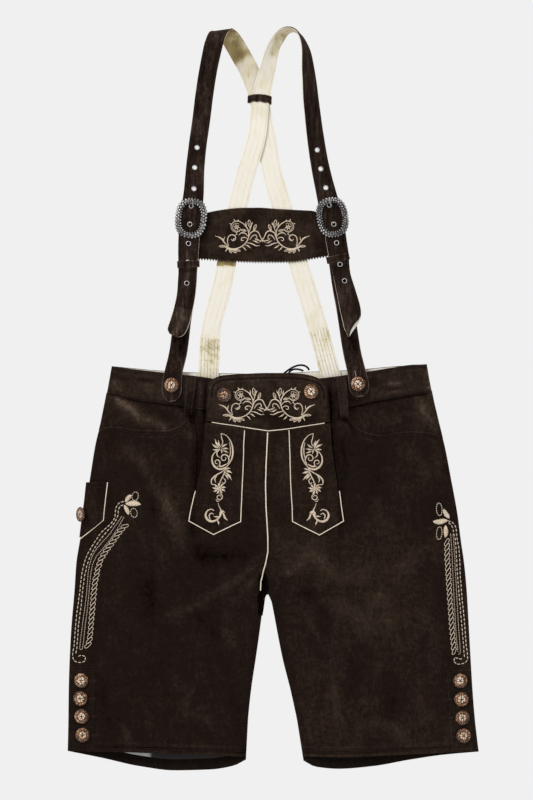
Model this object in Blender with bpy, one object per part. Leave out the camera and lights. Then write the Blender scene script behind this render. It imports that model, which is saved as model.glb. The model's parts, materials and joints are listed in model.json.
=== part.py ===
"""Lederhosen with H-shaped braces, laid flat on their back.

Frame: +X to the garment's left-hand edge as one looks down on its front, +Y towards the shoulders, +Z up, away from
the surface that the garment lies on. Tables are in millimetres; meshes are made in metres.
The back lies flat on the surface. The front arches over it, so the waist and the legs stay open as flattened tubes.
Each piece that is cut and sewn on is one closed solid, and pieces keep GAP between them.
"""

import math

import bpy
import numpy as np

# ---------------------------------------------------------------- driving dimensions, mm
GAP = 0.3
SUEDE = 1.5  # thickness of the outer leather
LINING = 1.0  # thickness of facings and linings
EDGE_Z = 3.3  # outer face of the front where it meets the back at the side seam
CROTCH_Y = -277.5
SLIT_Y = -131.0  # where the flap slits end, under the shields
PIPING = 2.3  # width of the cream piping
LAY = 1.8  # one layer of suede with its gap
SEWN = 0.7  # what is sewn on stands this far off, so that facets of different sizes stay apart

BUTTON_R, BUTTON_H = 10.3, 3.2
STRAP_TAB = 2.4  # the lower strap is doubled leather

FOLD_R = 23.0  # left shoulder fold: bend radius,
FOLD_AXIS = 7.5  # tilt of the fold line from X, degrees,
FOLD_HELIX = 24.0  # and the angle at which the strap runs round it
FOLD_TOP_Y = 537.6  # highest point of the fold, along its own normal


def table(columns, *rows):
    """Named columns from rows."""
    return {name: np.array([row[i] for row in rows], float) for i, name in enumerate(columns.split())}


def smooth(t):
    t = np.clip(t, 0.0, 1.0)
    return t * t * (3 - 2 * t)


def hermite(xs, ys, x):
    """Smooth curve through (xs, ys), xs rising."""
    x = min(max(x, xs[0]), xs[-1])
    k = min(max(int(np.searchsorted(xs, x)) - 1, 0), len(xs) - 2)
    d = np.diff(ys) / np.diff(xs)

    def slope(i):
        if i == 0:
            return d[0]
        if i == len(xs) - 1:
            return d[-1]
        return 0.0 if d[i - 1] * d[i] <= 0 else 2 * d[i - 1] * d[i] / (d[i - 1] + d[i])

    h = xs[k + 1] - xs[k]
    t = (x - xs[k]) / h
    return float(
        (2 * t**3 - 3 * t**2 + 1) * ys[k]
        + (t**3 - 2 * t**2 + t) * h * slope(k)
        + (-2 * t**3 + 3 * t**2) * ys[k + 1]
        + (t**3 - t**2) * h * slope(k + 1)
    )


def at(tab, column, y, key="y"):
    order = np.argsort(tab[key])
    return hermite(tab[key][order], tab[column][order], y)


# ---------------------------------------------------------------- the shorts' outline
OUTLINE = table(
    "y left right crown",
    (50, -233.0, 223.5, 12),
    (27, -237.0, 228.5, 12),
    (3, -241.5, 232.0, 13),
    (-20, -247.0, 237.0, 14),
    (-43, -251.5, 243.0, 14),
    (-66, -257.0, 249.5, 15),
    (-112, -264.5, 258.5, 16),
    (-170, -273.5, 269.0, 16),
    (-205, -279.5, 273.5, 16),
    (-240, -285.0, 278.5, 15),
    (-277, -287.5, 282.0, 15),
    (-345, -293.0, 286.0, 17),
    (-422, -296.0, 290.5, 18),
    (-466, -296.5, 294.0, 17),
    (-513, -297.5, 299.5, 15),
)
CENTRE_SEAM = table(
    "y x",
    (40, -8.0),
    (-47, -7.0),
    (-78, -8.5),
    (-124, -10.0),
    (-159, -9.5),
    (-194, -7.0),
    (-217, -6.5),
    (-240, -10.0),
    (-252, -12.5),
    (-277.5, -12.0),
)
INSEAM = table(
    "y left right",
    (-277.5, -12.0, -10.5),
    (-286.5, -12.5, -3.5),
    (-309.5, -15.0, 1.5),
    (-344.5, -19.5, 8.0),
    (-379, -24.5, 15.0),
    (-422.5, -31.0, 26.0),
    (-466, -35.5, 35.5),
    (-513, -38.5, 45.0),
)
FRONT_HEM = table(
    "share left right",  # share of the leg's width from the outer seam
    (0.0, -511.5, -511.5),
    (0.3, -512.5, -514.5),
    (0.55, -514.5, -517.5),
    (0.8, -517.0, -520.0),
    (1.0, -520.5, -520.0),
)
BACK_HEM = table(
    "share left right",
    (0.0, -512.0, -513.0),
    (0.2, -522.5, -517.5),
    (0.4, -534.0, -525.0),
    (0.6, -540.3, -534.0),
    (0.8, -539.0, -538.0),
    (0.93, -533.5, -535.0),
    (1.0, -524.5, -526.0),
)
# The largest folds of the front, each a soft ridge (+) or trough (-) along a line.
FOLDS = table(
    "x0 y0 x1 y1 half_width height",
    (-232, -12, -150, -40, 11, 2.2),
    (-214, -72, -134, -206, 16, 3.4),
    (-134, -206, -88, -240, 15, 2.6),
    (-130, -226, -14, -226, 12, -3.4),
    (-20, -246, -110, -290, 14, 2.8),
    (-128, -40, -114, -120, 9, 1.8),
    (50, -340, 74, -445, 9, -2.4),
    (190, -70, 238, -150, 18, 1.8),
    (40, -215, 130, -262, 17, 2.2),
    (-190, -330, -120, -470, 26, 2.0),
    (150, -300, 205, -430, 28, 2.0),
)


def outer_left(y):
    return at(OUTLINE, "left", y)


def outer_right(y):
    return at(OUTLINE, "right", y)


def centre_x(y):
    return at(CENTRE_SEAM, "x", y)


def inner_left(y):
    return at(INSEAM, "left", y) if y < CROTCH_Y else centre_x(y) - 0.25


def inner_right(y):
    return at(INSEAM, "right", y) if y < CROTCH_Y else centre_x(y) + 0.25


def lens(share, power):
    return 1 - min(1.0, abs(2 * share - 1)) ** power


def front_z(x, y):
    """Height of the front's outer face."""
    left, right = outer_left(y), outer_right(y)
    if x < centre_x(y):
        inner, outer = inner_left(y), left
    else:
        inner, outer = inner_right(y), right
    leg = lens(min(max((x - outer) / (inner - outer), 0), 1), 2.6)
    torso = lens(min(max((x - left) / (right - left), 0), 1), 3.0)
    w = float(smooth((y - CROTCH_Y) / 75.0))
    form = (1 - w) * leg + w * torso
    z = EDGE_Z + at(OUTLINE, "crown", y) * form
    for x0, y0, x1, y1, half, height in zip(*(FOLDS[c] for c in "x0 y0 x1 y1 half_width height".split())):
        dx, dy = x1 - x0, y1 - y0
        size = dx * dx + dy * dy
        along = ((x - x0) * dx + (y - y0) * dy) / size
        off = abs((x - x0) * dy - (y - y0) * dx) / math.sqrt(size)
        taper = float(smooth((along + 0.18) / 0.4) * smooth((1.18 - along) / 0.4))
        z += height * taper * math.exp(-((off / half) ** 2)) * min(1.0, 2.2 * form)
    return z


def edge_share(x, y):
    """0 at the side seams, 1 a little way in."""
    return float(smooth(min(x - outer_left(y), outer_right(y) - x) / 14.0))


def band_z(x, y):
    """Height of the front waistband's outer face, which lies over the panel's top edge."""
    return EDGE_Z + (front_z(x, y) + LAY - EDGE_Z) * edge_share(x, y)


def under_z(x, y):
    """Height of the outer face of a layer that lies under the front."""
    return max(EDGE_Z, front_z(x, y) - LAY - 0.1)


def flap_z(x, y):
    """The flap lies over the waistband, and comes down to the front where the slits end."""
    return front_z(x, y) + (2 * LAY + 0.6) * float(smooth((y - SLIT_Y) / 100.0))


# ---------------------------------------------------------------- mesh makers
def material(name, colour, roughness, metallic=0.0):
    made = bpy.data.materials.new(name)
    made.use_nodes = True
    shader = made.node_tree.nodes["Principled BSDF"]
    shader.inputs["Base Color"].default_value = (*colour, 1)
    shader.inputs["Roughness"].default_value = roughness
    shader.inputs["Metallic"].default_value = metallic
    return made


def add(name, points, faces, mat, smooth_shade=True):
    mesh = bpy.data.meshes.new(name)
    mesh.from_pydata([tuple(float(c) * 0.001 for c in p) for p in points], [], faces)
    mesh.update()
    mesh.materials.append(mat)
    if smooth_shade:
        mesh.shade_smooth()
        mesh.set_sharp_from_angle(angle=math.radians(40))
    made = bpy.data.objects.new(name, mesh)
    bpy.context.scene.collection.objects.link(made)
    return made


def cloth(name, patches, thick, mat):
    """A closed wall under one or more grids of (x, y, z) points of its outer face. Grids that share points are one piece."""
    index, tops, quads = {}, [], []

    def number(p):
        key = tuple(int(round(c * 1000)) for c in p)
        if key not in index:
            index[key] = len(tops)
            tops.append(p)
        return index[key]

    for grid in patches:
        rows, cols = len(grid), len(grid[0])
        for i in range(rows - 1):
            for j in range(cols - 1):
                corners = [grid[i][j], grid[i][j + 1], grid[i + 1][j + 1], grid[i + 1][j]]
                area = sum(
                    corners[k][0] * corners[(k + 1) % 4][1] - corners[(k + 1) % 4][0] * corners[k][1] for k in range(4)
                )
                ids = [number(c) for c in (corners if area > 0 else corners[::-1])]
                quads.append([v for k, v in enumerate(ids) if v != ids[k - 1]])
    count = len(tops)
    points = tops + [(x, y, z - thick) for x, y, z in tops]
    faces = [list(q) for q in quads] + [[v + count for v in reversed(q)] for q in quads]
    edges = {}
    for q in quads:
        for k, v in enumerate(q):
            edges[(v, q[(k + 1) % len(q)])] = True
    for a, b in edges:
        if (b, a) not in edges:
            faces.append([b, a, a + count, b + count])
    return add(name, points, faces, mat)


def grid_between(low, high, across, along, height):
    """Grid of points between two curves, each a function of a share 0 to 1 giving (x, y)."""
    rows = []
    for v in np.linspace(0, 1, along + 1):
        row = []
        for u in np.linspace(0, 1, across + 1):
            (xa, ya), (xb, yb) = low(u), high(u)
            x, y = xa + (xb - xa) * v, ya + (yb - ya) * v
            row.append((x, y, height(x, y)))
        rows.append(row)
    return rows


def line(*points):
    """A smooth curve through points, as a function of a share 0 to 1 of its length."""
    p = np.array(points, float)
    s = np.concatenate([[0], np.cumsum(np.hypot(*np.diff(p, axis=0).T))])
    s /= s[-1]

    def find(u):
        return hermite(s, p[:, 0], u), hermite(s, p[:, 1], u)

    return find


def strip(name, path, width, height, thick, mat):
    """A narrow strip centred on a path over a surface, mitred at its corners."""
    p = np.array(path, float)
    rows = []
    for i, here in enumerate(p):
        back = here - p[i - 1] if i else p[1] - here
        on = p[i + 1] - here if i < len(p) - 1 else here - p[i - 1]
        back, on = back / np.hypot(*back), on / np.hypot(*on)
        n = np.array([-(back + on)[1], (back + on)[0]])
        n /= np.hypot(*n)
        n /= max(0.5, float(n @ np.array([-on[1], on[0]])))
        a, b = here + n * width / 2, here - n * width / 2
        rows.append([(a[0], a[1], height(*a)), (b[0], b[1], height(*b))])
    return cloth(name, [rows], thick, mat)


def spaced(points, step):
    """Points every step along a polyline, its corners kept."""
    out = [points[0]]
    for (xa, ya), (xb, yb) in zip(points, points[1:]):
        n = max(1, round(math.hypot(xb - xa, yb - ya) / step))
        out += [(xa + (xb - xa) * k / n, ya + (yb - ya) * k / n) for k in range(1, n + 1)]
    return out


# ---------------------------------------------------------------- ribbons: straps and keepers
def spline(points, per):
    """Catmull-Rom curve through 3-D points, with per steps to a span."""
    p = np.array(points, float)
    p = np.vstack([2 * p[0] - p[1], p, 2 * p[-1] - p[-2]])
    out = []
    for i in range(1, len(p) - 2):
        for t in np.linspace(0, 1, per, endpoint=False):
            out.append(
                0.5
                * (
                    2 * p[i]
                    + (p[i + 1] - p[i - 1]) * t
                    + (2 * p[i - 1] - 5 * p[i] + 4 * p[i + 1] - p[i + 2]) * t**2
                    + (3 * p[i] - p[i - 1] - 3 * p[i + 1] + p[i + 2]) * t**3
                )
            )
    out.append(p[-2])
    return np.array(out)


def thin(left, right, tolerance=0.12):
    """Leaves out the stations that both edges pass straight through."""
    both = np.hstack([left, right])
    keep, start = [0], 0
    while start < len(both) - 1:
        end = start + 1
        while end + 1 < len(both):
            span = both[end + 1] - both[start]
            s = np.linspace(0, 1, end + 2 - start)[1:-1, None]
            between = both[start + 1 : end + 1]
            # Compare with the chord at the share that suits each station best.
            share = ((between - both[start]) @ span)[:, None] / (span @ span)
            if np.abs(between - (both[start] + share * span)).max() > tolerance or len(s) > 7:
                break
            end += 1
        keep.append(end)
        start = end
    return left[keep], right[keep]


def faces_up(left, right):
    """Unit normals of the face between two edge curves."""
    normal = np.cross(right - left, np.gradient((left + right) / 2, axis=0))
    return normal / np.linalg.norm(normal, axis=1)[:, None]


def ribbon(name, left, right, normals, low, high, mat):
    """A wall between two edge curves, from low to high along its face's normal. Both faces use the same diagonals."""
    points, faces = [], []
    for a, b, n in zip(left, right, normals):
        points += [a + n * high, b + n * high, b + n * low, a + n * low]
    for i in range(len(left) - 1):
        k = 4 * i
        faces += [[k, k + 1, k + 5], [k, k + 5, k + 4], [k + 3, k + 6, k + 2], [k + 3, k + 7, k + 6]]
        faces += [[k + 1, k + 2, k + 6, k + 5], [k + 3, k, k + 4, k + 7]]
    faces += [[3, 2, 1, 0], [len(points) - 4 + j for j in range(4)]]
    return add(name, points, faces, mat)


def edges_of(stations):
    """Left and right edge points from rows of x, y, z of the right edge, heading and lean in degrees, width."""
    left, right = [], []
    for x, y, z, heading, lean, width in zip(*(stations[c] for c in "x y z heading lean width".split())):
        h, q = math.radians(heading), math.radians(lean)
        side = np.array([-math.sin(h), math.cos(h), 0]) * math.cos(q) * width / 2
        c = np.array([x, y, z + 0.07])
        rise = np.array([0, 0, math.sin(q) * width])
        left.append(c + side + rise)
        right.append(c - side)
    return left, right


def with_headings(stations):
    """Fills the heading column from the path itself."""
    x, y = stations["x"], stations["y"]
    stations["heading"] = np.degrees(np.unwrap(np.arctan2(np.gradient(y), np.gradient(x))))
    return stations


def laid_on(stations, surface, lift, above):
    """Sets height and lean so that stations on this side of a line lie on a surface."""
    for i, (x, y, width) in enumerate(zip(stations["x"], stations["y"], stations["width"])):
        if y > above:
            continue
        us = np.linspace(-0.5, 0.5, 7) * max(width, 20)
        zs = np.array([surface(x + u, y) for u in us])
        slope, level = np.polyfit(us, zs, 1)
        level += float((zs - (slope * us + level)).max())
        stations["z"][i] = level + slope * width / 2 + lift
        stations["lean"][i] = -math.degrees(math.asin(slope))
    return stations


# ---------------------------------------------------------------- start
for old in list(bpy.data.objects):
    bpy.data.objects.remove(old, do_unlink=True)

suede = material("suede", (0.028, 0.017, 0.012), 0.85)
suede_inner = material("suede_inner", (0.02, 0.013, 0.01), 0.9)
cream = material("cream_lining", (0.80, 0.74, 0.58), 0.7)
pale = material("pale_lining", (0.62, 0.60, 0.58), 0.75)
piping_mat = material("cream_piping", (0.72, 0.62, 0.45), 0.6)
horn = material("horn", (0.25, 0.12, 0.06), 0.45)
silver = material("antique_silver", (0.45, 0.44, 0.43), 0.4, 1.0)
lace_mat = material("lace", (0.012, 0.009, 0.008), 0.6)

# ---------------------------------------------------------------- back of the shorts, flat on the surface
BACK_TOP = table(
    "x y", (-233.5, 47.0), (-163, 40.5), (-125, 38.3), (-98, 37.2), (-40, 36.2), (-8, 36.0), (18, 37.0), (45, 38.5),
    (83, 39.8), (135, 43.0), (174, 46.5), (224, 50.0),
)
BAND_DEEP, FACING_DEEP = 38.0, 36.0
LACE_GAP_TOP, LACE_GAP_FOOT = 14.0, 3.0  # the laced opening at the centre back


def back_top(x):
    return at(BACK_TOP, "y", x, "x")


def flat(z):
    return lambda x, y: z


def back_leg(name, side):
    outer = outer_left if side < 0 else outer_right
    inner = inner_left if side < 0 else inner_right
    key = "left" if side < 0 else "right"
    ys = [-466, -422, -345, CROTCH_Y, -217, -112, -40]
    shares = np.linspace(0, 1, 9)
    rows = [[]]
    for s in shares:
        y = at(BACK_HEM, key, s, "share")
        rows[0].append((outer(-513) + (inner(-513) - outer(-513)) * s, y, SUEDE))
    for y in ys:
        rows.append([(outer(y) + (inner(y) - outer(y)) * s, y, SUEDE) for s in shares])
    top = []
    for s in shares:
        x = outer(5) + (centre_x(0) + 0.4 * side - outer(5)) * s
        top.append((x, back_top(x) - BAND_DEEP - GAP, SUEDE))
    rows.append(top)
    cloth(name, [rows], SUEDE, suede)


back_leg("back_leg_left", -1)
back_leg("back_leg_right", 1)


def back_band(name, side, deep, z, thick, inset, drop, mat):
    outer = outer_left if side < 0 else outer_right

    def low(u):
        x0 = outer(back_top(side * 230) - deep) - side * inset
        x1 = centre_x(0) + side * (LACE_GAP_FOOT / 2 + inset / 2)
        x = x0 + (x1 - x0) * u
        return x, back_top(x) - deep

    def high(u):
        x0 = outer(47) - side * inset
        x1 = centre_x(30) + side * (LACE_GAP_TOP / 2 + inset / 2)
        x = x0 + (x1 - x0) * u
        return x, back_top(x) - drop

    cloth(name, [grid_between(low, high, 9, 1, flat(z))], thick, mat)


FACING_Z = SUEDE + GAP + LINING
for word, side in (("left", -1), ("right", 1)):
    back_band(f"back_waistband_{word}", side, BAND_DEEP, SUEDE, SUEDE, 0.0, 0.0, suede)
    back_band(f"back_facing_{word}", side, FACING_DEEP, FACING_Z, LINING, 11.0, 0.8, cream)


def back_lining(name, side):
    outer = outer_left if side < 0 else outer_right
    inner = inner_left if side < 0 else inner_right
    key = "left" if side < 0 else "right"

    def shares(y):
        """Clear of the side seam, and further in beside the hip facings."""
        return np.linspace(0.03 + 0.075 * float(smooth((y + 130) / 40)), 0.95, 7)

    rows = [[]]
    for s in shares(-505):
        rows[0].append(
            (outer(-505) + (inner(-505) - outer(-505)) * s, at(BACK_HEM, key, s, "share") + 15.0 + 2 * s, FACING_Z)
        )
    for y in (-480, -422, -345, CROTCH_Y, -205, -130, -90):
        rows.append([(outer(y) + (inner(y) - outer(y)) * s, y, FACING_Z) for s in shares(y)])
    top = back_top(-8) - FACING_DEEP - 3.0
    rows.append([(outer(0) + (centre_x(0) - outer(0)) * s, top, FACING_Z) for s in shares(0)])
    cloth(name, [rows], LINING, pale)


back_lining("back_lining_left", -1)
back_lining("back_lining_right", 1)

# ---------------------------------------------------------------- front of the shorts
SLIT = table(
    "y left_hip left_flap right_flap right_hip",  # the slits beside the flap, each between two edges
    (-2, -119.0, -95.2, 82.4, 84.6),
    (-17, -118.0, -95.2, 82.7, 84.9),
    (-46, -111.5, -97.0, 84.0, 86.2),
    (-75, -110.0, -100.0, 86.3, 88.4),
    (-104, -111.0, -104.5, 90.3, 92.3),
    (SLIT_Y, -113.0, -109.3, 94.6, 96.4),
)
POCKET_LEFT = ((-252.2, -45.5), (-236.5, -40.5), (-217, -41.5), (-200.5, -45), (-175.5, -45.7), (-157, -46),
               (-144.5, -43.5), (-134, -38.5), (-126, -30), (-121, -18), (-119.2, -7))
POCKET_RIGHT = ((247.6, -58), (235.5, -51), (221, -48.5), (199.5, -47.5), (177.5, -49.5), (159.5, -53),
                (141.5, -50.5), (127, -44.5), (116, -36.5), (108.5, -27.5), (98, -12), (84.8, -6))
V_SEAM = table(
    "x y", (-110, -31.5), (-88, -34.5), (-40.5, -41.5), (-7, -47), (24, -43.8), (75.5, -35.5), (100, -32.5),
)


def v_seam(x):
    """The flap band's lower seam: two straight runs that meet at the centre."""
    return float(np.interp(x, V_SEAM["x"], V_SEAM["y"]))


def front_leg(name, side):
    """Leg and half the flap in one cut, parted by the slit."""
    outer = outer_left if side < 0 else outer_right
    inner = inner_left if side < 0 else inner_right
    key = "left" if side < 0 else "right"
    hip_edge = "left_hip" if side < 0 else "right_hip"
    flap_edge = "left_flap" if side < 0 else "right_flap"
    pocket = line(*(POCKET_LEFT if side < 0 else POCKET_RIGHT))
    n_hip, n_flap = 9, 5
    span = inner(SLIT_Y) - outer(SLIT_Y)
    hip_share = (at(SLIT, hip_edge, SLIT_Y) - outer(SLIT_Y)) / span
    slit_share = (at(SLIT, flap_edge, SLIT_Y) - outer(SLIT_Y)) / span

    def shares(y):
        """Column positions across the leg; the slit's own column widens below it."""
        wide = float(smooth((SLIT_Y - y) / 60.0))
        flap = slit_share + wide * (hip_share + (1 - hip_share) / 6 - slit_share)
        return np.concatenate([np.linspace(0, hip_share, n_hip + 1), np.linspace(flap, 1, n_flap + 1)])

    lower = []
    cols = shares(-513)
    lower.append([])
    for s in cols:
        x = outer(-513) + (inner(-513) - outer(-513)) * s
        y = at(FRONT_HEM, key, s, "share")
        lower[0].append((x, y, front_z(x, -513)))
    for y in (-490, -455, -415, -375, -335, -300, CROTCH_Y, -258, -240, -222, -204, -180, -156, SLIT_Y):
        row = []
        for s in shares(y):
            x = outer(y) + (inner(y) - outer(y)) * s
            row.append((x, y, front_z(x, y)))
        lower.append(row)

    def patch(bottom_shares, top, edge0, edge1, height, steps):
        """From the row at the slit's foot up to a top curve, its two side columns following their edges."""
        count = len(bottom_shares)
        rows = []
        for i in range(steps + 1):
            v = i / steps
            row = []
            for j, s in enumerate(bottom_shares):
                u = j / (count - 1)
                tx, ty = top(u)
                bx = outer(SLIT_Y) + span * s
                y = SLIT_Y + (ty - SLIT_Y) * v
                x = bx + (tx - bx) * v
                ends = []
                for edge, uu, ss in ((edge0, 0.0, bottom_shares[0]), (edge1, 1.0, bottom_shares[-1])):
                    ex, ey = top(uu)
                    yy = SLIT_Y + (ey - SLIT_Y) * v
                    b = outer(SLIT_Y) + span * ss
                    ends.append(edge(yy) - (b + (ex - b) * v))
                x += ends[0] * (1 - u) + ends[1] * u
                row.append((x, y, height(x, y)))
            rows.append(row)
        rows[0] = [lower[-1][(0 if len(bottom_shares) == n_hip + 1 else n_hip + 1) + j] for j in range(count)]
        return rows

    cols = shares(SLIT_Y)
    hip = patch(
        cols[: n_hip + 1], lambda u: pocket(u), lambda y: outer(y), lambda y: at(SLIT, hip_edge, y), front_z, 4
    )

    def flap_top(u):
        x0 = at(SLIT, flap_edge, -34)
        x = x0 + (centre_x(-47) + 0.25 * side - x0) * u
        return x, v_seam(x) - 1.5

    flap = patch(cols[n_hip + 1 :], flap_top, lambda y: at(SLIT, flap_edge, y), inner, flap_z, 5)
    cloth(name, [lower, hip, flap], SUEDE, suede)


front_leg("front_leg_left", -1)
front_leg("front_leg_right", 1)

SEAM_LEFT = ((-239.6, 8), (-224, 6), (-209.5, 0.5), (-195.5, -3), (-173.5, -5), (-152, -8), (-128.5, -11.5),
             (-111, -14.5), (-96.5, -16), (-50, -18))
SEAM_RIGHT = ((231.6, 9), (205, 6), (174.5, 0), (144.5, -5), (113, -11), (97, -14.5), (83.5, -15), (35, -17))
TOP_LEFT = ((-233.3, 46.5), (-199.5, 42.5), (-162, 38.2), (-126.5, 34.2), (-107.5, 32.2), (-83.5, 28.5), (-50, 24))
TOP_RIGHT = ((223.6, 49.5), (205, 49.2), (174.5, 45), (136.5, 38.7), (106.5, 34.2), (83.5, 31), (35, 26))
for word, seam, top in (("left", SEAM_LEFT, TOP_LEFT), ("right", SEAM_RIGHT, TOP_RIGHT)):
    cloth(f"front_waistband_{word}", [grid_between(line(*seam), line(*top), 10, 2, band_z)], SUEDE, suede)


def hip_facing(name, seam, pocket, side):
    """The layer above the pocket edge: it runs up under the waistband and down behind the panel, clear of the side seam there."""
    count = 9
    seam, pocket = line(*seam[:7]), line(*pocket[:9])
    rows_up, rows, rows_down = [], [], []
    for j in range(count + 1):
        u = j / count
        sx, sy = seam(u)
        px, py = pocket(u)
        rows.append([(sx, sy - 0.5), (sx + (px - sx) * 0.5, sy - 0.5 + (py + 0.6 - sy + 0.5) * 0.5), (px, py + 0.6)])
        rows_up.append([(sx, sy + (2.0 if j < 3 else 6.0)), (sx, sy - 0.5)])
        rows_down.append([(px, py + 0.6), (px, py - 14.0)])
    put = lambda grid: [[(x, y, under_z(x, y)) for x, y in row] for row in grid]
    cloth(name, [put(rows), put(rows_up[1:]), put(rows_down[1:])], SUEDE, suede)


hip_facing("hip_facing_left", SEAM_LEFT, POCKET_LEFT, -1)
hip_facing("hip_facing_right", SEAM_RIGHT, POCKET_RIGHT, 1)

# Underlap: closes the front behind the flap, and shows in its slits.
cloth(
    "front_underlap",
    [
        grid_between(
            lambda u: (-122 + 226 * u, -150 - 6 * math.sin(math.pi * u)),
            lambda u: (-114 + 196 * u, -6 - 8 * math.sin(math.pi * u)),
            10,
            5,
            lambda x, y: front_z(x, y) - LAY - 0.6,
        )
    ],
    SUEDE,
    suede_inner,
)

# ---------------------------------------------------------------- flap band, shields and piping
FLAP_TOP = ((-95.2, 2), (-94.6, 14), (-92, 22), (-87.5, 27), (-82, 30.5), (-74, 33.3), (-56, 35), (-37.5, 36),
            (-8, 37.1), (17.5, 37), (40, 36.2), (56, 33.3), (69.5, 28), (76.5, 21.5), (80.8, 12), (82.4, 2))


def flap_band():
    top = line(*FLAP_TOP)

    def low(u):
        x = -96.2 + (83.4 + 96.2) * u
        return x, v_seam(x) + 1.5

    lower = grid_between(
        low, lambda u: (at(SLIT, "left_flap", -17) + (at(SLIT, "right_flap", -17) - at(SLIT, "left_flap", -17)) * u,
                        2.0), 14, 1, flap_z,
    )

    def high(u):
        return top(u)

    # The rounded top: rows shrink towards the crown line of the outline.
    mid = []
    for j in range(15):
        u = j / 14
        x, y = lower[1][j][0], 2.0
        tx, ty = top(u)
        mid.append((x, y, tx, ty))
    rows = []
    for v in (0.0, 0.5, 1.0):
        row = []
        for x, y, tx, ty in mid:
            px, py = x + (tx - x) * v, y + (ty - y) * v
            row.append((px, py, flap_z(px, py)))
        rows.append(row)
    rows[0] = lower[1]
    cloth("flap_band", [lower, rows[0:2], rows[1:3]], SUEDE, suede)


flap_band()


def on_flap(x, y):
    """Outer face of the layer sewn on the flap and the front below it."""
    return flap_z(x, y) if y > SLIT_Y else front_z(x, y)


SHIELD = table(
    "v outer_l outer_r inner_l inner_r",  # the shields' side edges, by height
    (-40, -96.6, 83.6, -41.8, 25.2),
    (-66, -99.2, 85.4, -43.2, 26.2),
    (-95, -103.0, 89.0, -43.8, 27.0),
    (-131, -109.5, 95.0, -45.6, 28.4),
    (-159, -116.4, 98.6, -46.8, 30.0),
    (-176, -119.6, 101.4, -47.8, 30.6),
)
SHIELD_TIP = {"left": (-85.5, -195.2), "right": (68.0, -195.8)}
SHIELD_THICK = 1.2


def shield(word):
    key = word[0]
    out = lambda y: at(SHIELD, f"outer_{key}", y, "v")
    inn = lambda y: at(SHIELD, f"inner_{key}", y, "v")
    tip = SHIELD_TIP[word]
    lift = lambda x, y: on_flap(x, y) + SEWN + SHIELD_THICK
    columns = np.linspace(0, 1, 7)
    rows = []
    low = -176.5
    for y in (low, -159, -145, -131, -110, -88, -66):
        row = [(out(y) + (inn(y) - out(y)) * s, y) for s in columns]
        rows.append([(x, yy, lift(x, yy)) for x, yy in row])
    top = []
    for s in columns:
        x = out(-42) + (inn(-42) - out(-42)) * s
        y = v_seam(x) - 1.6
        top.append((x, y, lift(x, y)))
    rows.append(top)
    point = []
    share = (tip[0] - out(low)) / (inn(low) - out(low))
    for s, (x, y, z) in zip(columns, rows[0]):
        rise = s / share if s <= share else (1 - s) / (1 - share)
        yy = low + (tip[1] - low) * rise
        point.append((x, yy, lift(x, yy)))
    cloth(f"shield_{word}", [[point, rows[0]], rows], SHIELD_THICK, suede)


shield("left")
shield("right")


def piping_height(x, y):
    return on_flap(x, y) + SEWN + 1.3


HALF = PIPING / 2 + GAP + 0.1
for word, sign in (("left", -1), ("right", 1)):
    key = word[0]
    tip = SHIELD_TIP[word]
    run = [(at(SHIELD, f"outer_{key}", y, "v") + sign * HALF, y) for y in (SLIT_Y - 3, -145, -159, -177.5)]
    run.append((tip[0], tip[1] - HALF * 1.15))
    run += [(at(SHIELD, f"inner_{key}", y, "v") - sign * HALF, y) for y in (-178, -159, -131, -110, -88, -66, -46)]
    strip(f"piping_shield_{word}", run, PIPING, piping_height, 1.3, piping_mat)

strip(
    "piping_flap",
    [(x, v_seam(x)) for x in (-88, -66, -44, -26, -7, 8, 24, 42, 58, 75.5)],
    PIPING,
    lambda x, y: flap_z(x, y) + 0.2,
    1.4,
    piping_mat,
)
strip(
    "piping_centre",
    [(centre_x(y), y) for y in (-49.2, -66, -83, -99, -115, -131, -156, -180, -204, -222, -240, -258, -276)],
    PIPING,
    piping_height,
    1.3,
    piping_mat,
)

# ---------------------------------------------------------------- knife pocket, plackets, belt loops
KNIFE_OUTER = ((-270.6, -121.5), (-273.6, -150), (-277.2, -176), (-280.8, -203))
KNIFE_INNER = ((-241.0, -121.5), (-243.8, -145.5), (-247.0, -175), (-280.2, -201.5))
KNIFE_LIFT = 4.2  # it bulges a little over what it holds


def knife_z(x, y):
    """The pocket stands off the side seam and overhangs it a little."""
    inside = max(x, outer_left(y) + 1.0)
    bulge = KNIFE_LIFT * float(smooth((-110 - y) / 20) * smooth((y + 205) / 30) * smooth((-240 - x) / 14))
    return front_z(inside, y) + LAY + bulge


def knife_pocket():
    rows = []
    for y in (-121.5, -136, -150, -163, -175):
        x0 = float(np.interp(-y, [-p[1] for p in KNIFE_OUTER], [p[0] for p in KNIFE_OUTER]))
        x1 = float(np.interp(-y, [121.5, 145.5, 175], [-241.0, -243.8, -247.0]))
        rows.append([(x0 + (x1 - x0) * u, y, 0) for u in np.linspace(0, 1, 5)])
    last = []
    for u, (x, y, _) in zip(np.linspace(0, 1, 5), rows[-1]):
        x0, x1 = -280.6, -247.0
        px = x0 + (x1 - x0) * u
        last.append((px, -175.6 - 26.4 * (1 - u), 0))
    rows.append(last)
    grid = [[(x, y, knife_z(x, y)) for x, y, _ in row] for row in rows]
    cloth("knife_pocket", [grid], SUEDE, suede)


knife_pocket()
strip(
    "piping_knife_pocket",
    [(-239.4, -121.5), (-240.8, -134), (-242.2, -145.5), (-243.9, -160), (-245.4, -176.4), (-256.8, -186.2),
     (-268.2, -195.2), (-279.6, -204.2)],
    PIPING,
    lambda x, y: front_z(max(x, outer_left(y) + 1), y) + LAY - 0.2,
    1.3,
    piping_mat,
)


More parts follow.
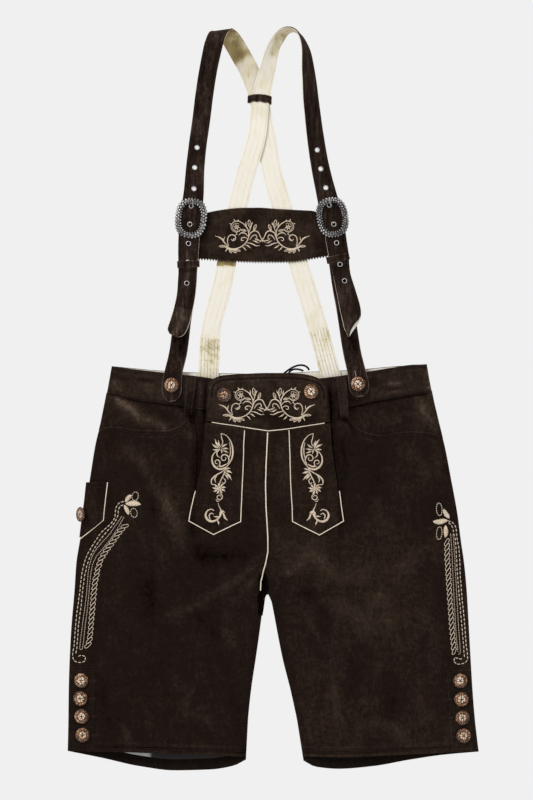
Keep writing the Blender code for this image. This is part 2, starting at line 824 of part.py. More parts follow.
def placket(name, side):
    outer = outer_left if side < 0 else outer_right

    def low(u):
        x = outer(-509) - side * (1.2 + 37.5 * u)
        return x, -509.5

    def high(u):
        x = outer(-394) - side * (1.2 + (37.0 if side < 0 else 35.5) * u)
        return x, -394.0

    cloth(name, [grid_between(low, high, 3, 4, lambda x, y: front_z(x, y) + LAY - 0.3)], 1.2, suede)


placket("placket_left", -1)
placket("placket_right", 1)

LOOPS = {
    "left": ((-125.3, -109.8, 31.0), (-128.4, -116.6, -23.0)),
    "right": ((92.3, 106.4, 30.5), (98.4, 110.8, -28.5)),
}
LOOP_STAND = 5.8  # a belt runs under it


def belt_loop(word):
    (xa, xb, ya), (xc, xd, yc) = LOOPS[word]
    rows = []
    for v in np.linspace(0, 1, 9):
        y = ya + (yc - ya) * v
        x0, x1 = xa + (xc - xa) * v, xb + (xd - xb) * v
        stand = LOOP_STAND * float(smooth(v / 0.22) * smooth((1 - v) / 0.22))
        under = max(band_z(x, y) for x in (x0, x1)) if y > -16 else max(front_z(x, y) for x in (x0, x1)) + LAY * 1.0
        rows.append([(x, y, under + GAP + SUEDE + 0.2 + stand) for x in (x0, x1)])
    cloth(f"belt_loop_{word}", [rows], SUEDE, suede)


belt_loop("left")
belt_loop("right")

# ---------------------------------------------------------------- braces
UP, DOWN = GAP / 2 + SUEDE, GAP / 2 + LINING  # face and lining, each side of the strap's middle


TAB_LIFT = SEWN + STRAP_TAB / 2


LOWER_LEFT = laid_on(with_headings(
    table(
        "x y z lean width",
        (-144.6, -4.4, 0, 0, 8),
        (-145.2, -1.5, 0, 0, 17),
        (-145.8, 4, 0, 0, 25),
        (-146, 12, 0, 0, 29.5),
        (-145.4, 25, 0, 0, 28.5),
        (-142.6, 41.5, 17.2, -3, 26),
        (-137.2, 64.5, 11.2, -2, 26),
        (-134, 87.5, 5.0, 0, 26),
        (-131.4, 111, 2.2, 0, 26),
        (-128.2, 134, 1.3, 0, 26),
        (-125.5, 157.5, 1.6, 0, 26),
        (-123.5, 178, 2.7, 0, 26),
        (-122, 200, 3.0, 0, 26),
        (-121, 227, 3.0, 0, 26),
        (-119.6, 255, 3.0, 0, 24),
    )
), band_z, TAB_LIFT, 36)
LOWER_RIGHT = laid_on(with_headings(
    table(
        "x y z lean width",
        (127.4, 2.6, 0, 0, 8),
        (127.0, 5.4, 0, 0, 17),
        (126.4, 10, 0, 0, 25),
        (125.4, 18, 0, 0, 29.5),
        (123.6, 30, 0, 0, 28),
        (120.8, 43, 16.4, 3, 26.5),
        (115.6, 66, 10.4, 2, 26),
        (112, 88, 5.0, 0, 26),
        (108.8, 111, 2.2, 0, 26),
        (105.2, 134, 1.3, 0, 26),
        (100.8, 157.5, 1.6, 0, 26),
        (97.6, 178, 2.7, 0, 26),
        (94.6, 200, 3.0, 0, 26),
        (91.4, 227, 3.0, 0, 26),
        (88.6, 255, 3.0, 0, 24),
    )
), band_z, TAB_LIFT, 36)
for word, stations in (("left", LOWER_LEFT), ("right", LOWER_RIGHT)):
    a, b = edges_of(stations)
    a, b = thin(spline(a, 2), spline(b, 2))
    ribbon(f"lower_strap_{word}", a, b, faces_up(a, b), -STRAP_TAB / 2, STRAP_TAB / 2, suede)

# Front runs of the two straps, from the free end over the buckle's bar and up.
FRONT_LEFT = table(
    "x y z lean width",
    (-143.0, 89.4, 8.2, 0, 12),
    (-141.6, 93.0, 7.9, 0, 21),
    (-138.2, 99.5, 7.2, 0, 25),
    (-134.0, 112, 5.8, 0, 26),
    (-129.4, 130, 4.6, 0, 25.5),
    (-125.4, 150, 4.4, 0, 25),
    (-123.2, 174, 5.1, 0, 25.5),
    (-122.2, 196, 5.65, 0, 25.5),
    (-121, 227, 5.7, 0, 26),
    (-118.2, 261.5, 5.9, 0, 26),
    (-115.4, 285, 4.4, 0, 26),
    (-114, 306, 1.9, 0, 25.8),
    (-112.4, 335, 1.2, 0, 25.8),
    (-109, 366, 1.25, 0, 25.8),
    (-105.6, 389.5, 1.65, 0, 26),
    (-102.4, 412.5, 4.6, 0, 26),
    (-99.4, 435.5, 14.4, 0, 26),
    (-95.6, 459, 28.2, 0, 26),
    (-91.2, 482, 40.6, 0, 26),
)
REAR_RIGHT_SIDE = table(
    "x y z lean width",  # the left strap, after the crossing
    (-44, 495, 1.65, 180, 28.4),
    (-36.5, 481.5, 1.65, 180, 28.4),
    (-30, 467.5, 1.65, 180, 28.4),
    (-24.8, 452, 2.1, 180, 28),
    (-20.6, 440, 3.1, 180, 28),
    (-17.8, 427, 3.15, 180, 27.6),
    (-14.4, 410, 1.75, 180, 27),
    (-11, 389.5, 1.65, 180, 27),
    (-7, 366, 1.65, 180, 27.5),
    (-3.5, 343, 1.65, 180, 28),
    (1.5, 319.5, 1.65, 180, 28.4),
    (13, 280.5, 1.65, 180, 29),
    (25.4, 237, 1.65, 180, 29),
    (38, 195, 1.65, 180, 28.4),
    (46.4, 167, 1.65, 180, 28.4),
    (55, 140, 1.65, 180, 28.6),
    (65.4, 104, 1.65, 180, 28.6),
    (74.2, 72, 2.0, 180, 28.6),
    (82.2, 42, 4.7, 180, 29),
    (87.5, 22, 5.0, 180, 29),
)
FRONT_RIGHT = table(
    "x y z lean width",
    (112.4, 89.4, 8.2, 0, 5),
    (114.6, 97, 7.6, 4, 12),
    (115.8, 106, 6.7, 6, 19),
    (115.6, 117, 5.6, 5, 24.5),
    (112.8, 133, 4.7, 2, 26),
    (107.4, 156, 4.4, 0, 26),
    (101.6, 180, 5.2, 0, 26),
    (97.6, 200, 5.65, 0, 26),
    (92.4, 227, 5.7, 0, 26),
    (86.4, 262, 5.9, 0, 26),
    (80.2, 286, 4.4, 0, 26),
    (75.6, 307, 1.9, 0, 26),
    (70.2, 332, 1.2, 4, 26),
    (65.6, 357, 1.15, 12, 26),
    (60.8, 389.5, 1.15, 23, 26),
    (58, 412.5, 1.15, 28, 26),
    (55.4, 435.5, 1.1, 32, 26),
    (53.4, 459, 1.0, 40, 26),
    (51, 482, 0.9, 49.5, 26),
    (49.4, 498, 0.8, 59, 26),
    (47.4, 508.5, 0.8, 67, 26),
    (43.8, 519, 0.8, 76, 26),
    (39.6, 527, 0.8, 84, 26),
    (32.8, 533, 0.9, 92, 26),
    (25.4, 534.4, 1.0, 102, 26),
    (18, 532, 1.1, 114, 26),
    (11, 525, 1.3, 124, 26),
    (3.4, 514, 1.4, 131, 26),
    (-0.8, 504.5, 1.5, 137, 26),
    (-3.8, 493, 1.6, 145, 26),
    (-6.8, 480, 1.8, 151, 26),
    (-10.6, 466, 2.4, 157, 26),
    (-14.2, 451, 5.3, 168, 26),
    (-17.2, 436, 6.45, 180, 26),
    (-18.2, 424, 6.4, 180, 26),
    (-19.2, 410, 5.0, 180, 26),
    (-21.2, 389.5, 4.75, 180, 26.4),
    (-26.2, 366, 4.75, 180, 27),
    (-33.6, 343, 4.5, 180, 27.4),
    (-40.6, 319.5, 2.4, 180, 27.4),
    (-46.4, 296.5, 1.65, 180, 27.4),
    (-59.6, 237, 1.65, 180, 27.6),
    (-67.6, 192, 1.65, 180, 27.6),
    (-71.8, 169, 1.65, 180, 28),
    (-78.6, 143, 1.65, 180, 28),
    (-86.4, 114, 1.65, 180, 27.4),
    (-90.2, 90.5, 1.65, 180, 28.6),
    (-91.4, 69, 2.0, 180, 29),
    (-92.4, 41, 4.7, 180, 29),
    (-93.4, 20, 5.0, 180, 29),
)


def fold_stations(count=9):
    """The left strap round its shoulder fold: a flat strip wound at a slant on a round edge, so it keeps its width."""
    tilt, helix = math.radians(FOLD_AXIS), math.radians(FOLD_HELIX)
    axis = np.array([math.cos(tilt), math.sin(tilt)])
    up = np.array([-math.sin(tilt), math.cos(tilt)])
    centre_q, low = FOLD_TOP_Y - FOLD_R, GAP / 2 + SUEDE + 0.25
    start_a = -18.4

    def place(a, t):
        """t runs over the profile: level on top, half round, then level on the surface."""
        if t < 0:
            q, z = centre_q + t, low + 2 * FOLD_R
        elif t < math.pi * FOLD_R:
            q, z = centre_q + FOLD_R * math.sin(t / FOLD_R), low + FOLD_R * (1 + math.cos(t / FOLD_R))
        else:
            q, z = centre_q - (t - math.pi * FOLD_R), low
        return np.array([*(axis * a + up * q), z])

    left, right = [], []
    for t in np.linspace(0, math.pi * FOLD_R, count):
        width = 26 + 2.4 * float(smooth(t / (math.pi * FOLD_R)))
        a = start_a + t * math.tan(helix)
        half = width / math.cos(helix) / 2
        left.append(place(a - half, t))
        right.append(place(a + half, t))
    return left, right


def brace(word, left, right, cuts):
    """One strap: a lining in one length, and its leather in the stretches that the cuts, numbers of stations, part."""
    left, right, per = spline(left, 3), spline(right, 3), 3
    ends = [0, *(per * cut for cut, _ in cuts), len(left) - 1]
    parts = [thin(left[i : j + 1], right[i : j + 1]) for i, j in zip(ends, ends[1:])]
    a = np.vstack([parts[0][0]] + [p[0][1:] for p in parts[1:]])
    b = np.vstack([parts[0][1]] + [p[1][1:] for p in parts[1:]])
    up = faces_up(a, b)
    ribbon(f"strap_{word}_lining", a, b, up, -DOWN, -GAP / 2, cream)
    start = 0
    for (pa, _), stretch in zip(parts, ["", *(f"_{name}" for _, name in cuts)]):
        rows = slice(start, start + len(pa))
        la, lb = a[rows].copy(), b[rows].copy()
        if start:
            share = 1.5 * GAP / np.linalg.norm(la[1] + lb[1] - la[0] - lb[0]) * 2
            la[0], lb[0] = la[0] + (la[1] - la[0]) * share, lb[0] + (lb[1] - lb[0]) * share
        ribbon(f"strap_{word}{stretch}", la, lb, up[rows], GAP / 2, UP, suede)
        start += len(pa) - 1


a0, b0 = edges_of(with_headings(FRONT_LEFT))
a1, b1 = fold_stations()
a2, b2 = edges_of(with_headings(REAR_RIGHT_SIDE))
brace("left", a0 + a1 + a2, b0 + b1 + b2, [(len(a0), "shoulder"), (len(a0) + len(a1) - 1, "rear")])
a3, b3 = edges_of(with_headings(FRONT_RIGHT))
brace("right", a3, b3, [(23, "rear")])


def keeper(name, x, y, angle, half_width, low, high, deep, thick=1.3, bow=0.0):
    """A leather band round the straps: a flattened ring, its axis along the straps."""
    outer, inner = [], []
    corners = []
    n = 4
    for cx, cz, start in ((1, 1, 0), (-1, 1, 90), (-1, -1, 180), (1, -1, 270)):
        for k in range(n):
            corners.append((cx, cz, math.radians(start + 90 * k / (n - 1))))
    mid, tall = (low + high) / 2, (high - low) / 2
    ca, sa = math.cos(math.radians(angle)), math.sin(math.radians(angle))
    points = []
    for end in (-1, 1):
        for grow in (thick, 0.0):
            for cx, cz, turn in corners:
                r = 1.0 + grow
                u = cx * (half_width - 1.0) + r * math.cos(turn)
                z = mid + cz * (tall - 1.0) + r * math.sin(turn)
                v = end * deep / 2 - bow * (u / half_width) ** 2
                points.append((x + u * ca - v * sa, y + u * sa + v * ca, z))
    m = len(corners)
    faces = []
    for k in range(m):
        j = (k + 1) % m
        a, b, c, d = k, m + k, 2 * m + k, 3 * m + k
        e, f, g, h = j, m + j, 2 * m + j, 3 * m + j
        faces += [[a, c, g, e], [b, f, h, d], [a, e, f, b], [c, d, h, g]]
    add(name, points, faces, suede)


STACK_TOP = 5.65 + UP + 2 * GAP  # over the free end where it lies on the lower strap
keeper("keeper_left", -122.1, 195.2, 2.5, 15.0, 1.5, STACK_TOP, 9.6)
keeper("keeper_right", 95.0, 203.6, 12.0, 15.6, 1.5, STACK_TOP, 9.8)
keeper("keeper_rear", -18.6, 433.4, -2.0, 16.4, 1.2, 6.45 + DOWN + 2 * GAP, 8.4, 1.2, 2.4)

# Crosspiece: it rides over both rear straps, and its ends go under the front straps.
CROSS = table(
    "x top low z",
    (-117, 266.5, 202.8, 1.5),
    (-104, 268.4, 202.6, 1.6),
    (-94, 270.6, 202.2, 3.0),
    (-84, 272.6, 201.2, 4.7),
    (-66, 275.4, 200.0, 5.0),
    (-47, 277.0, 198.8, 5.0),
    (-20, 277.5, 198.0, 4.9),
    (7, 275.6, 198.0, 4.9),
    (30, 274.4, 198.8, 5.0),
    (46, 273.6, 201.0, 5.0),
    (57, 273.0, 203.0, 4.7),
    (66, 270.8, 204.6, 3.0),
    (75, 268.0, 206.0, 1.6),
    (87, 264.0, 208.0, 1.5),
)


def crosspiece():
    rows = []
    xs = [-117, -109, -103, -96, -90, -84, -70, -55, -38, -20, 0, 20, 38, 50, 57, 63, 69, 75, 81, 87]
    for x in xs:
        top, low, z = (at(CROSS, c, x, "x") for c in ("top", "low", "z"))
        rows.append([(x, low + (top - low) * s, z) for s in (0, 0.5, 1)])
    cloth("crosspiece", [rows], SUEDE, suede)


crosspiece()


# ---------------------------------------------------------------- hardware
def lathe(name, profile, sides, mat, place):
    """A turned piece from (radius, height) rows, then moved by place. A radius of 0 closes it."""
    points, faces, rings = [], [], []
    for r, h in profile:
        if r == 0:
            rings.append([len(points)])
            points.append((0, 0, h))
        else:
            rings.append(list(range(len(points), len(points) + sides)))
            points += [(r * math.cos(2 * math.pi * k / sides), r * math.sin(2 * math.pi * k / sides), h)
                       for k in range(sides)]
    for low, high in zip(rings, rings[1:]):
        for k in range(sides):
            j = (k + 1) % sides
            if len(low) == 1:
                faces.append([low[0], high[k], high[j]][::-1])
            elif len(high) == 1:
                faces.append([low[k], low[j], high[0]])
            else:
                faces.append([low[k], low[j], high[j], high[k]])
    return add(name, [place(p) for p in points], faces, mat)


BUTTON = ((0, 0.0), (8.6, 0.0), (10.0, 0.8), (BUTTON_R, 2.0), (9.4, BUTTON_H), (7.2, 2.9), (5.6, 2.2), (0, 2.2))


def seat(x, y, surface, radius, clear=0.35):
    """A frame for a disc that rests on a curved surface: its centre and its three axes."""
    spots = [(0.0, 0.0)] + [
        (r * math.cos(k * math.pi / 4), r * math.sin(k * math.pi / 4)) for r in (radius * 0.5, radius) for k in range(8)
    ]
    a = np.array([[u, v, 1.0] for u, v in spots])
    z = np.array([surface(x + u, y + v) for u, v in spots])
    (gx, gy, z0), *_ = np.linalg.lstsq(a, z, rcond=None)
    lift = max(zz - (gx * u + gy * v + z0) for (u, v), zz in zip(spots, z))
    n = np.array([-gx, -gy, 1.0])
    n /= np.linalg.norm(n)
    ax = np.array([1, 0, gx])
    ax /= np.linalg.norm(ax)
    ay = np.cross(n, ax)
    centre = np.array([x, y, z0 + lift + clear / n[2]])
    return centre, ax, ay, n


def button(name, x, y, surface):
    centre, ax, ay, n = seat(x, y, surface, BUTTON_R)
    lathe(name, BUTTON, 14, horn, lambda p: centre + ax * p[0] + ay * p[1] + n * p[2])


button("button_flap_left", -70.0, 5.0, flap_z)
button("button_flap_right", 56.0, 10.0, flap_z)
button("button_strap_left", -146.2, 19.5, lambda x, y: band_z(x, y) + SEWN + STRAP_TAB + 0.5)
button("button_strap_right", 123.6, 21.0, lambda x, y: band_z(x, y) + SEWN + STRAP_TAB + 0.5)
LEG_BUTTONS = table(
    "left_x left_y right_x right_y",
    (-276.8, -409, 271.6, -409),
    (-278.2, -435, 273.4, -436),
    (-276.4, -461, 275.0, -463),
    (-275.0, -488, 276.6, -489),
)
for k in range(4):
    for word, outer in (("left", outer_left), ("right", outer_right)):
        x, y = LEG_BUTTONS[f"{word}_x"][k], LEG_BUTTONS[f"{word}_y"][k]
        button(f"button_leg_{word}_{k + 1}", x, y, lambda u, v: front_z(u, v) + LAY - 0.2)


def tilted_button():
    """The knife pocket's button sits on its outer edge and faces half sideways."""
    tilt = math.radians(48)
    n = np.array([-math.sin(tilt), 0, math.cos(tilt)])
    ax = np.array([math.cos(tilt), 0, math.sin(tilt)])
    ay = np.array([0, 1.0, 0])
    centre = np.array([-274.2, -168.0, 10.9]) + n * 3.4
    lathe("button_knife_pocket", BUTTON, 14, horn, lambda p: centre + ax * p[0] + ay * p[1] + n * p[2])


tilted_button()

BUCKLE = dict(half_w=23.2, half_h=29.6, open_w=15.2, open_h=21.2, base=7.75, tall=3.9)
BAR_R = 1.3


def oval(half_w, half_h, turn, power=2.5):
    c, s = math.cos(turn), math.sin(turn)
    return (math.copysign(abs(c) ** (2 / power), c) * half_w, math.copysign(abs(s) ** (2 / power), s) * half_h)


def buckle(word, x, y, angle):
    """An oval frame with a bar across it: the bar dips under the strap and is joined to the frame."""
    ca, sa = math.cos(math.radians(angle)), math.sin(math.radians(angle))
    place = lambda u, v, z: (x + u * ca - v * sa, y + u * sa + v * ca, z)
    b, sides = BUCKLE, 28
    section = ((0.0, 0.0), (1.0, 0.0), (1.0, 0.45), (0.72, 0.95), (0.3, 1.0), (0.0, 0.5))
    points = []
    for k in range(sides):
        turn = 2 * math.pi * k / sides
        iu, iv = oval(b["open_w"], b["open_h"], turn)
        ou, ov = oval(b["half_w"], b["half_h"], turn)
        for out, up in section:
            points.append(place(iu + (ou - iu) * out, iv + (ov - iv) * out, b["base"] + b["tall"] * up))
    m = len(section)
    faces = []
    for k in range(sides):
        j = (k + 1) % sides
        for i in range(m):
            n = (i + 1) % m
            faces.append([k * m + i, j * m + i, j * m + n, k * m + n][::-1])
    frame = add(f"buckle_{word}", points, faces, silver)

    path = [(-18.6, 9.4), (-17.6, 7.0), (-15.6, 4.2), (-13.2, 3.05), (0, 3.0), (13.2, 3.05), (15.6, 4.2), (17.6, 7.0),
            (18.6, 9.4)]
    rod, caps, around = [], [], 8
    for i, (u, z) in enumerate(path):
        du = path[min(i + 1, len(path) - 1)][0] - path[max(i - 1, 0)][0]
        dz = path[min(i + 1, len(path) - 1)][1] - path[max(i - 1, 0)][1]
        size = math.hypot(du, dz)
        nu, nz = -dz / size, du / size
        for k in range(around):
            c, s = BAR_R * math.cos(2 * math.pi * k / around), BAR_R * math.sin(2 * math.pi * k / around)
            rod.append(place(u + nu * c, s, z + nz * c))
    for i in range(len(path) - 1):
        for k in range(around):
            j = (k + 1) % around
            caps.append([i * around + k, i * around + j, (i + 1) * around + j, (i + 1) * around + k])
    caps += [list(range(around))[::-1], [(len(path) - 1) * around + k for k in range(around)]]
    bar = add(f"buckle_bar_{word}", rod, [f[::-1] for f in caps], silver)
    bar.hide_render = True
    bar.display_type = "WIRE"
    join = frame.modifiers.new("bar", "BOOLEAN")
    join.operation = "UNION"
    join.object = bar

    # The prong comes up through its hole in the strap and rests on the frame.
    line_points = [(0.6, 15.0, 8.3), (0.5, 18.0, 9.6), (0.3, 20.6, 12.0), (0.1, 24.0, 13.3), (0.0, 26.6, 13.2)]
    prong, faces = [], []
    for i, (u, v, z) in enumerate(line_points):
        for k in range(6):
            c, s = math.cos(math.pi * k / 3), math.sin(math.pi * k / 3)
            prong.append(place(u + 1.15 * c, v - 0.5 * s, z + 0.95 * s))
    for i in range(len(line_points) - 1):
        for k in range(6):
            j = (k + 1) % 6
            faces.append([i * 6 + k, i * 6 + j, (i + 1) * 6 + j, (i + 1) * 6 + k])
    faces += [list(range(6))[::-1], [(len(line_points) - 1) * 6 + k for k in range(6)]]
    add(f"prong_{word}", prong, [f[::-1] for f in faces], silver)


buckle("left", -118.2, 261.6, -6.0)
buckle("right", 86.8, 263.0, 9.5)


# ---------------------------------------------------------------- the back lacing's two free ends
def lace(name, points):
    data = bpy.data.curves.new(name, "CURVE")
    data.dimensions = "3D"
    data.bevel_depth = 0.0011
    data.bevel_resolution = 2
    data.use_fill_caps = True
    run = spline(points, 3)
    poly = data.splines.new("POLY")
    poly.points.add(len(run) - 1)
    for spot, p in zip(poly.points, run):
        spot.co = (*(float(c) * 0.001 for c in p), 1)
    data.materials.append(lace_mat)
    made = bpy.data.objects.new(name, data)
    bpy.context.scene.collection.objects.link(made)


lace("lace_long", [(-19, 21, 4.3), (-10, 20, 4.3), (0, 22.5, 4.5), (9, 29, 5.6), (17.5, 37, 6.9), (24, 42, 6.9),
                   (30, 45.5, 6.2), (37, 48, 4.6), (44, 48.3, 3.0), (50, 45.8, 2.6), (53.5, 41.2, 2.6)])
lace("lace_short", [(-17, 10, 4.3), (-8, 10.5, 4.3), (3, 14, 4.3), (13, 22.5, 4.3), (20, 32, 4.3), (25, 39.0, 4.3),
                    (31, 42.4, 3.8), (38.5, 42.2, 3.2), (45, 40.2, 3.2)])

# ---------------------------------------------------------------- origin: centre of the footprint, on the surface
bpy.context.view_layer.update()
low, high = np.full(3, 1e9), np.full(3, -1e9)
for thing in bpy.context.scene.objects:
    if thing.type != "MESH" or thing.hide_render:
        continue
    spots = np.array([v.co[:] for v in thing.data.vertices])
    low, high = np.minimum(low, spots.min(axis=0)), np.maximum(high, spots.max(axis=0))
shift = (-(low[0] + high[0]) / 2, -(low[1] + high[1]) / 2, -low[2])
for thing in bpy.context.scene.objects:
    if thing.type == "MESH":
        for v in thing.data.vertices:
            v.co.x += shift[0]
            v.co.y += shift[1]
            v.co.z += shift[2]
    elif thing.type == "CURVE":
        for poly in thing.data.splines:
            for spot in poly.points:
                spot.co = (spot.co[0] + shift[0], spot.co[1] + shift[1], spot.co[2] + shift[2], 1)
print("shift mm", [round(c * 1000, 3) for c in shift])
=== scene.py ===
"""Lederhosen on their back on a pale floor, seen from straight above.

Tables are in millimetres in part.py's own frame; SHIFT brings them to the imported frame, and meshes are in metres.
The outer forms repeat part.py's, with finer grids, creases, rounded edges, seams, stitching, embroidery and fittings.
"""

import json
import math

import bpy
import numpy as np
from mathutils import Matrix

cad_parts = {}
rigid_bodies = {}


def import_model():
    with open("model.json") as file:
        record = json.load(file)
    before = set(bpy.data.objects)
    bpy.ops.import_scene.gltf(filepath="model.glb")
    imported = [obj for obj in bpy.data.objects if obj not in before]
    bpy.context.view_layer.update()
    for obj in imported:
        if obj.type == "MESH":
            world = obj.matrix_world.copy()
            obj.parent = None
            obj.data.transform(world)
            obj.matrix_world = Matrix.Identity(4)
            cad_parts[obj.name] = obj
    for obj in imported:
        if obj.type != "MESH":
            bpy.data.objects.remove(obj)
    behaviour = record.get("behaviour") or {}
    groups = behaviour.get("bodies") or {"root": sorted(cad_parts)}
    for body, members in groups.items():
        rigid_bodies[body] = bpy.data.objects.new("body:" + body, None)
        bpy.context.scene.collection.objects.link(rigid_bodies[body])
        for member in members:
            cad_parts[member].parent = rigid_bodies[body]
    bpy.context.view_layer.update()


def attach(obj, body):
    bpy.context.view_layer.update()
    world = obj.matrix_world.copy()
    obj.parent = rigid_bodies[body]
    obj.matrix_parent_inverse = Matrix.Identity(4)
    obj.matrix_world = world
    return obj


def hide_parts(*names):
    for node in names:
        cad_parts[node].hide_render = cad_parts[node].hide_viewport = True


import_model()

SHIFT = np.array([-1.0, 0.645, 0.0])  # part.py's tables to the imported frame, mm
RNG = np.random.default_rng(20)

# ---------------------------------------------------------------- camera, light, floor
scene = bpy.context.scene
scene.view_settings.view_transform = "Standard"
scene.view_settings.look = "None"
scene.view_settings.exposure = 0.0
scene.view_settings.gamma = 1.0

eye = bpy.data.cameras.new("camera")
eye.sensor_fit = "VERTICAL"
eye.sensor_height = 24.0
eye.lens = 24.0 * 5.488 / 1.16
eye.clip_start, eye.clip_end = 0.1, 20.0
camera = bpy.data.objects.new("camera", eye)
camera.location = (-0.0097, -0.0015, 5.5)
scene.collection.objects.link(camera)
scene.camera = camera

world = bpy.data.worlds.new("studio")
world.use_nodes = True
world.node_tree.nodes["Background"].inputs["Color"].default_value = (0.98, 0.99, 1.0, 1)
world.node_tree.nodes["Background"].inputs["Strength"].default_value = 0.52
scene.world = world


def area_light(name, place, aim, size, power, colour=(1, 1, 1)):
    data = bpy.data.lights.new(name, "AREA")
    data.shape = "SQUARE"
    data.size = size
    data.energy = power
    data.color = colour
    made = bpy.data.objects.new(name, data)
    made.location = place
    away = np.array(place, float) - np.array(aim, float)
    away /= np.linalg.norm(away)
    made.rotation_euler = (math.acos(away[2]), 0, math.atan2(away[1], away[0]) + math.pi / 2)
    scene.collection.objects.link(made)
    return made


area_light("key", (-1.9, 2.1, 2.6), (0, 0, 0), 1.5, 66, (1.0, 0.985, 0.96))
area_light("fill", (2.4, -0.6, 2.4), (0, 0, 0), 2.2, 16, (0.96, 0.98, 1.0))

# ---------------------------------------------------------------- node materials


class Graph:
    """Short words for building one material's nodes."""

    def __init__(self, name, **values):
        self.mat = bpy.data.materials.new(name)
        self.mat.use_nodes = True
        self.tree = self.mat.node_tree
        self.shader = self.tree.nodes["Principled BSDF"]
        for key, value in values.items():
            self.set(key.replace("_", " ").title().replace("Ior", "IOR"), value)

    def set(self, socket, value):
        into = self.shader.inputs[socket]
        if hasattr(value, "node"):
            self.tree.links.new(value, into)
        elif hasattr(value, "__len__"):
            into.default_value = (*value, 1.0)
        else:
            into.default_value = value

    def node(self, kind, **settings):
        made = self.tree.nodes.new(kind)
        for key, value in settings.items():
            setattr(made, key, value)
        return made

    def put(self, value, socket):
        if hasattr(value, "node"):
            self.tree.links.new(value, socket)
        else:
            socket.default_value = value

    def space(self, stretch=(1, 1, 1), turn=0.0):
        spot = self.node("ShaderNodeTexCoord")
        move = self.node("ShaderNodeMapping")
        move.inputs["Scale"].default_value = stretch
        move.inputs["Rotation"].default_value = (0, 0, math.radians(turn))
        self.tree.links.new(spot.outputs["Object"], move.inputs["Vector"])
        return move.outputs["Vector"]

    def noise(self, scale, detail=3.0, rough=0.55, stretch=(1, 1, 1), turn=0.0, warp=0.0):
        made = self.node("ShaderNodeTexNoise")
        made.inputs["Scale"].default_value = scale
        made.inputs["Detail"].default_value = detail
        made.inputs["Roughness"].default_value = rough
        made.inputs["Distortion"].default_value = warp
        self.tree.links.new(self.space(stretch, turn), made.inputs["Vector"])
        return made.outputs["Fac"]

    def cells(self, scale, kind="F1", stretch=(1, 1, 1)):
        made = self.node("ShaderNodeTexVoronoi", feature=kind)
        made.inputs["Scale"].default_value = scale
        self.tree.links.new(self.space(stretch), made.inputs["Vector"])
        return made.outputs["Distance"]

    def maths(self, what, a, b=0.0, clamp=False):
        made = self.node("ShaderNodeMath", operation=what, use_clamp=clamp)
        self.put(a, made.inputs[0])
        self.put(b, made.inputs[1])
        return made.outputs[0]

    def weigh(self, *pairs, base=0.0):
        """base plus each value less a half, times its weight."""
        total = base
        for value, weight in pairs:
            part = self.maths("MULTIPLY", self.maths("SUBTRACT", value, 0.5), weight)
            total = self.maths("ADD", part, total)
        return total

    def attribute(self, name):
        return self.node("ShaderNodeAttribute", attribute_name=name).outputs["Fac"]

    def ramp(self, value, *stops):
        made = self.node("ShaderNodeValToRGB")
        bar = made.color_ramp
        while len(bar.elements) < len(stops):
            bar.elements.new(0.5)
        for element, (place, colour) in zip(bar.elements, stops):
            element.position = place
            element.color = (*colour, 1) if hasattr(colour, "__len__") else (colour, colour, colour, 1)
        self.put(value, made.inputs["Fac"])
        return made.outputs["Color"]

    def blend(self, share, a, b):
        made = self.node("ShaderNodeMix", data_type="RGBA")
        self.put(share, made.inputs["Factor"])
        for colour, socket in ((a, made.inputs["A"]), (b, made.inputs["B"])):
            if hasattr(colour, "node"):
                self.tree.links.new(colour, socket)
            else:
                socket.default_value = (*colour, 1)
        return made.outputs["Result"]

    def bump(self, *layers):
        """Each layer is a height and how deep it goes, in millimetres."""
        normal = None
        for height, deep in layers:
            made = self.node("ShaderNodeBump")
            made.inputs["Distance"].default_value = deep * 0.001
            made.inputs["Strength"].default_value = 1.0
            self.tree.links.new(height, made.inputs["Height"])
            if normal is not None:
                self.tree.links.new(normal, made.inputs["Normal"])
            normal = made.outputs["Normal"]
        self.tree.links.new(normal, self.shader.inputs["Normal"])


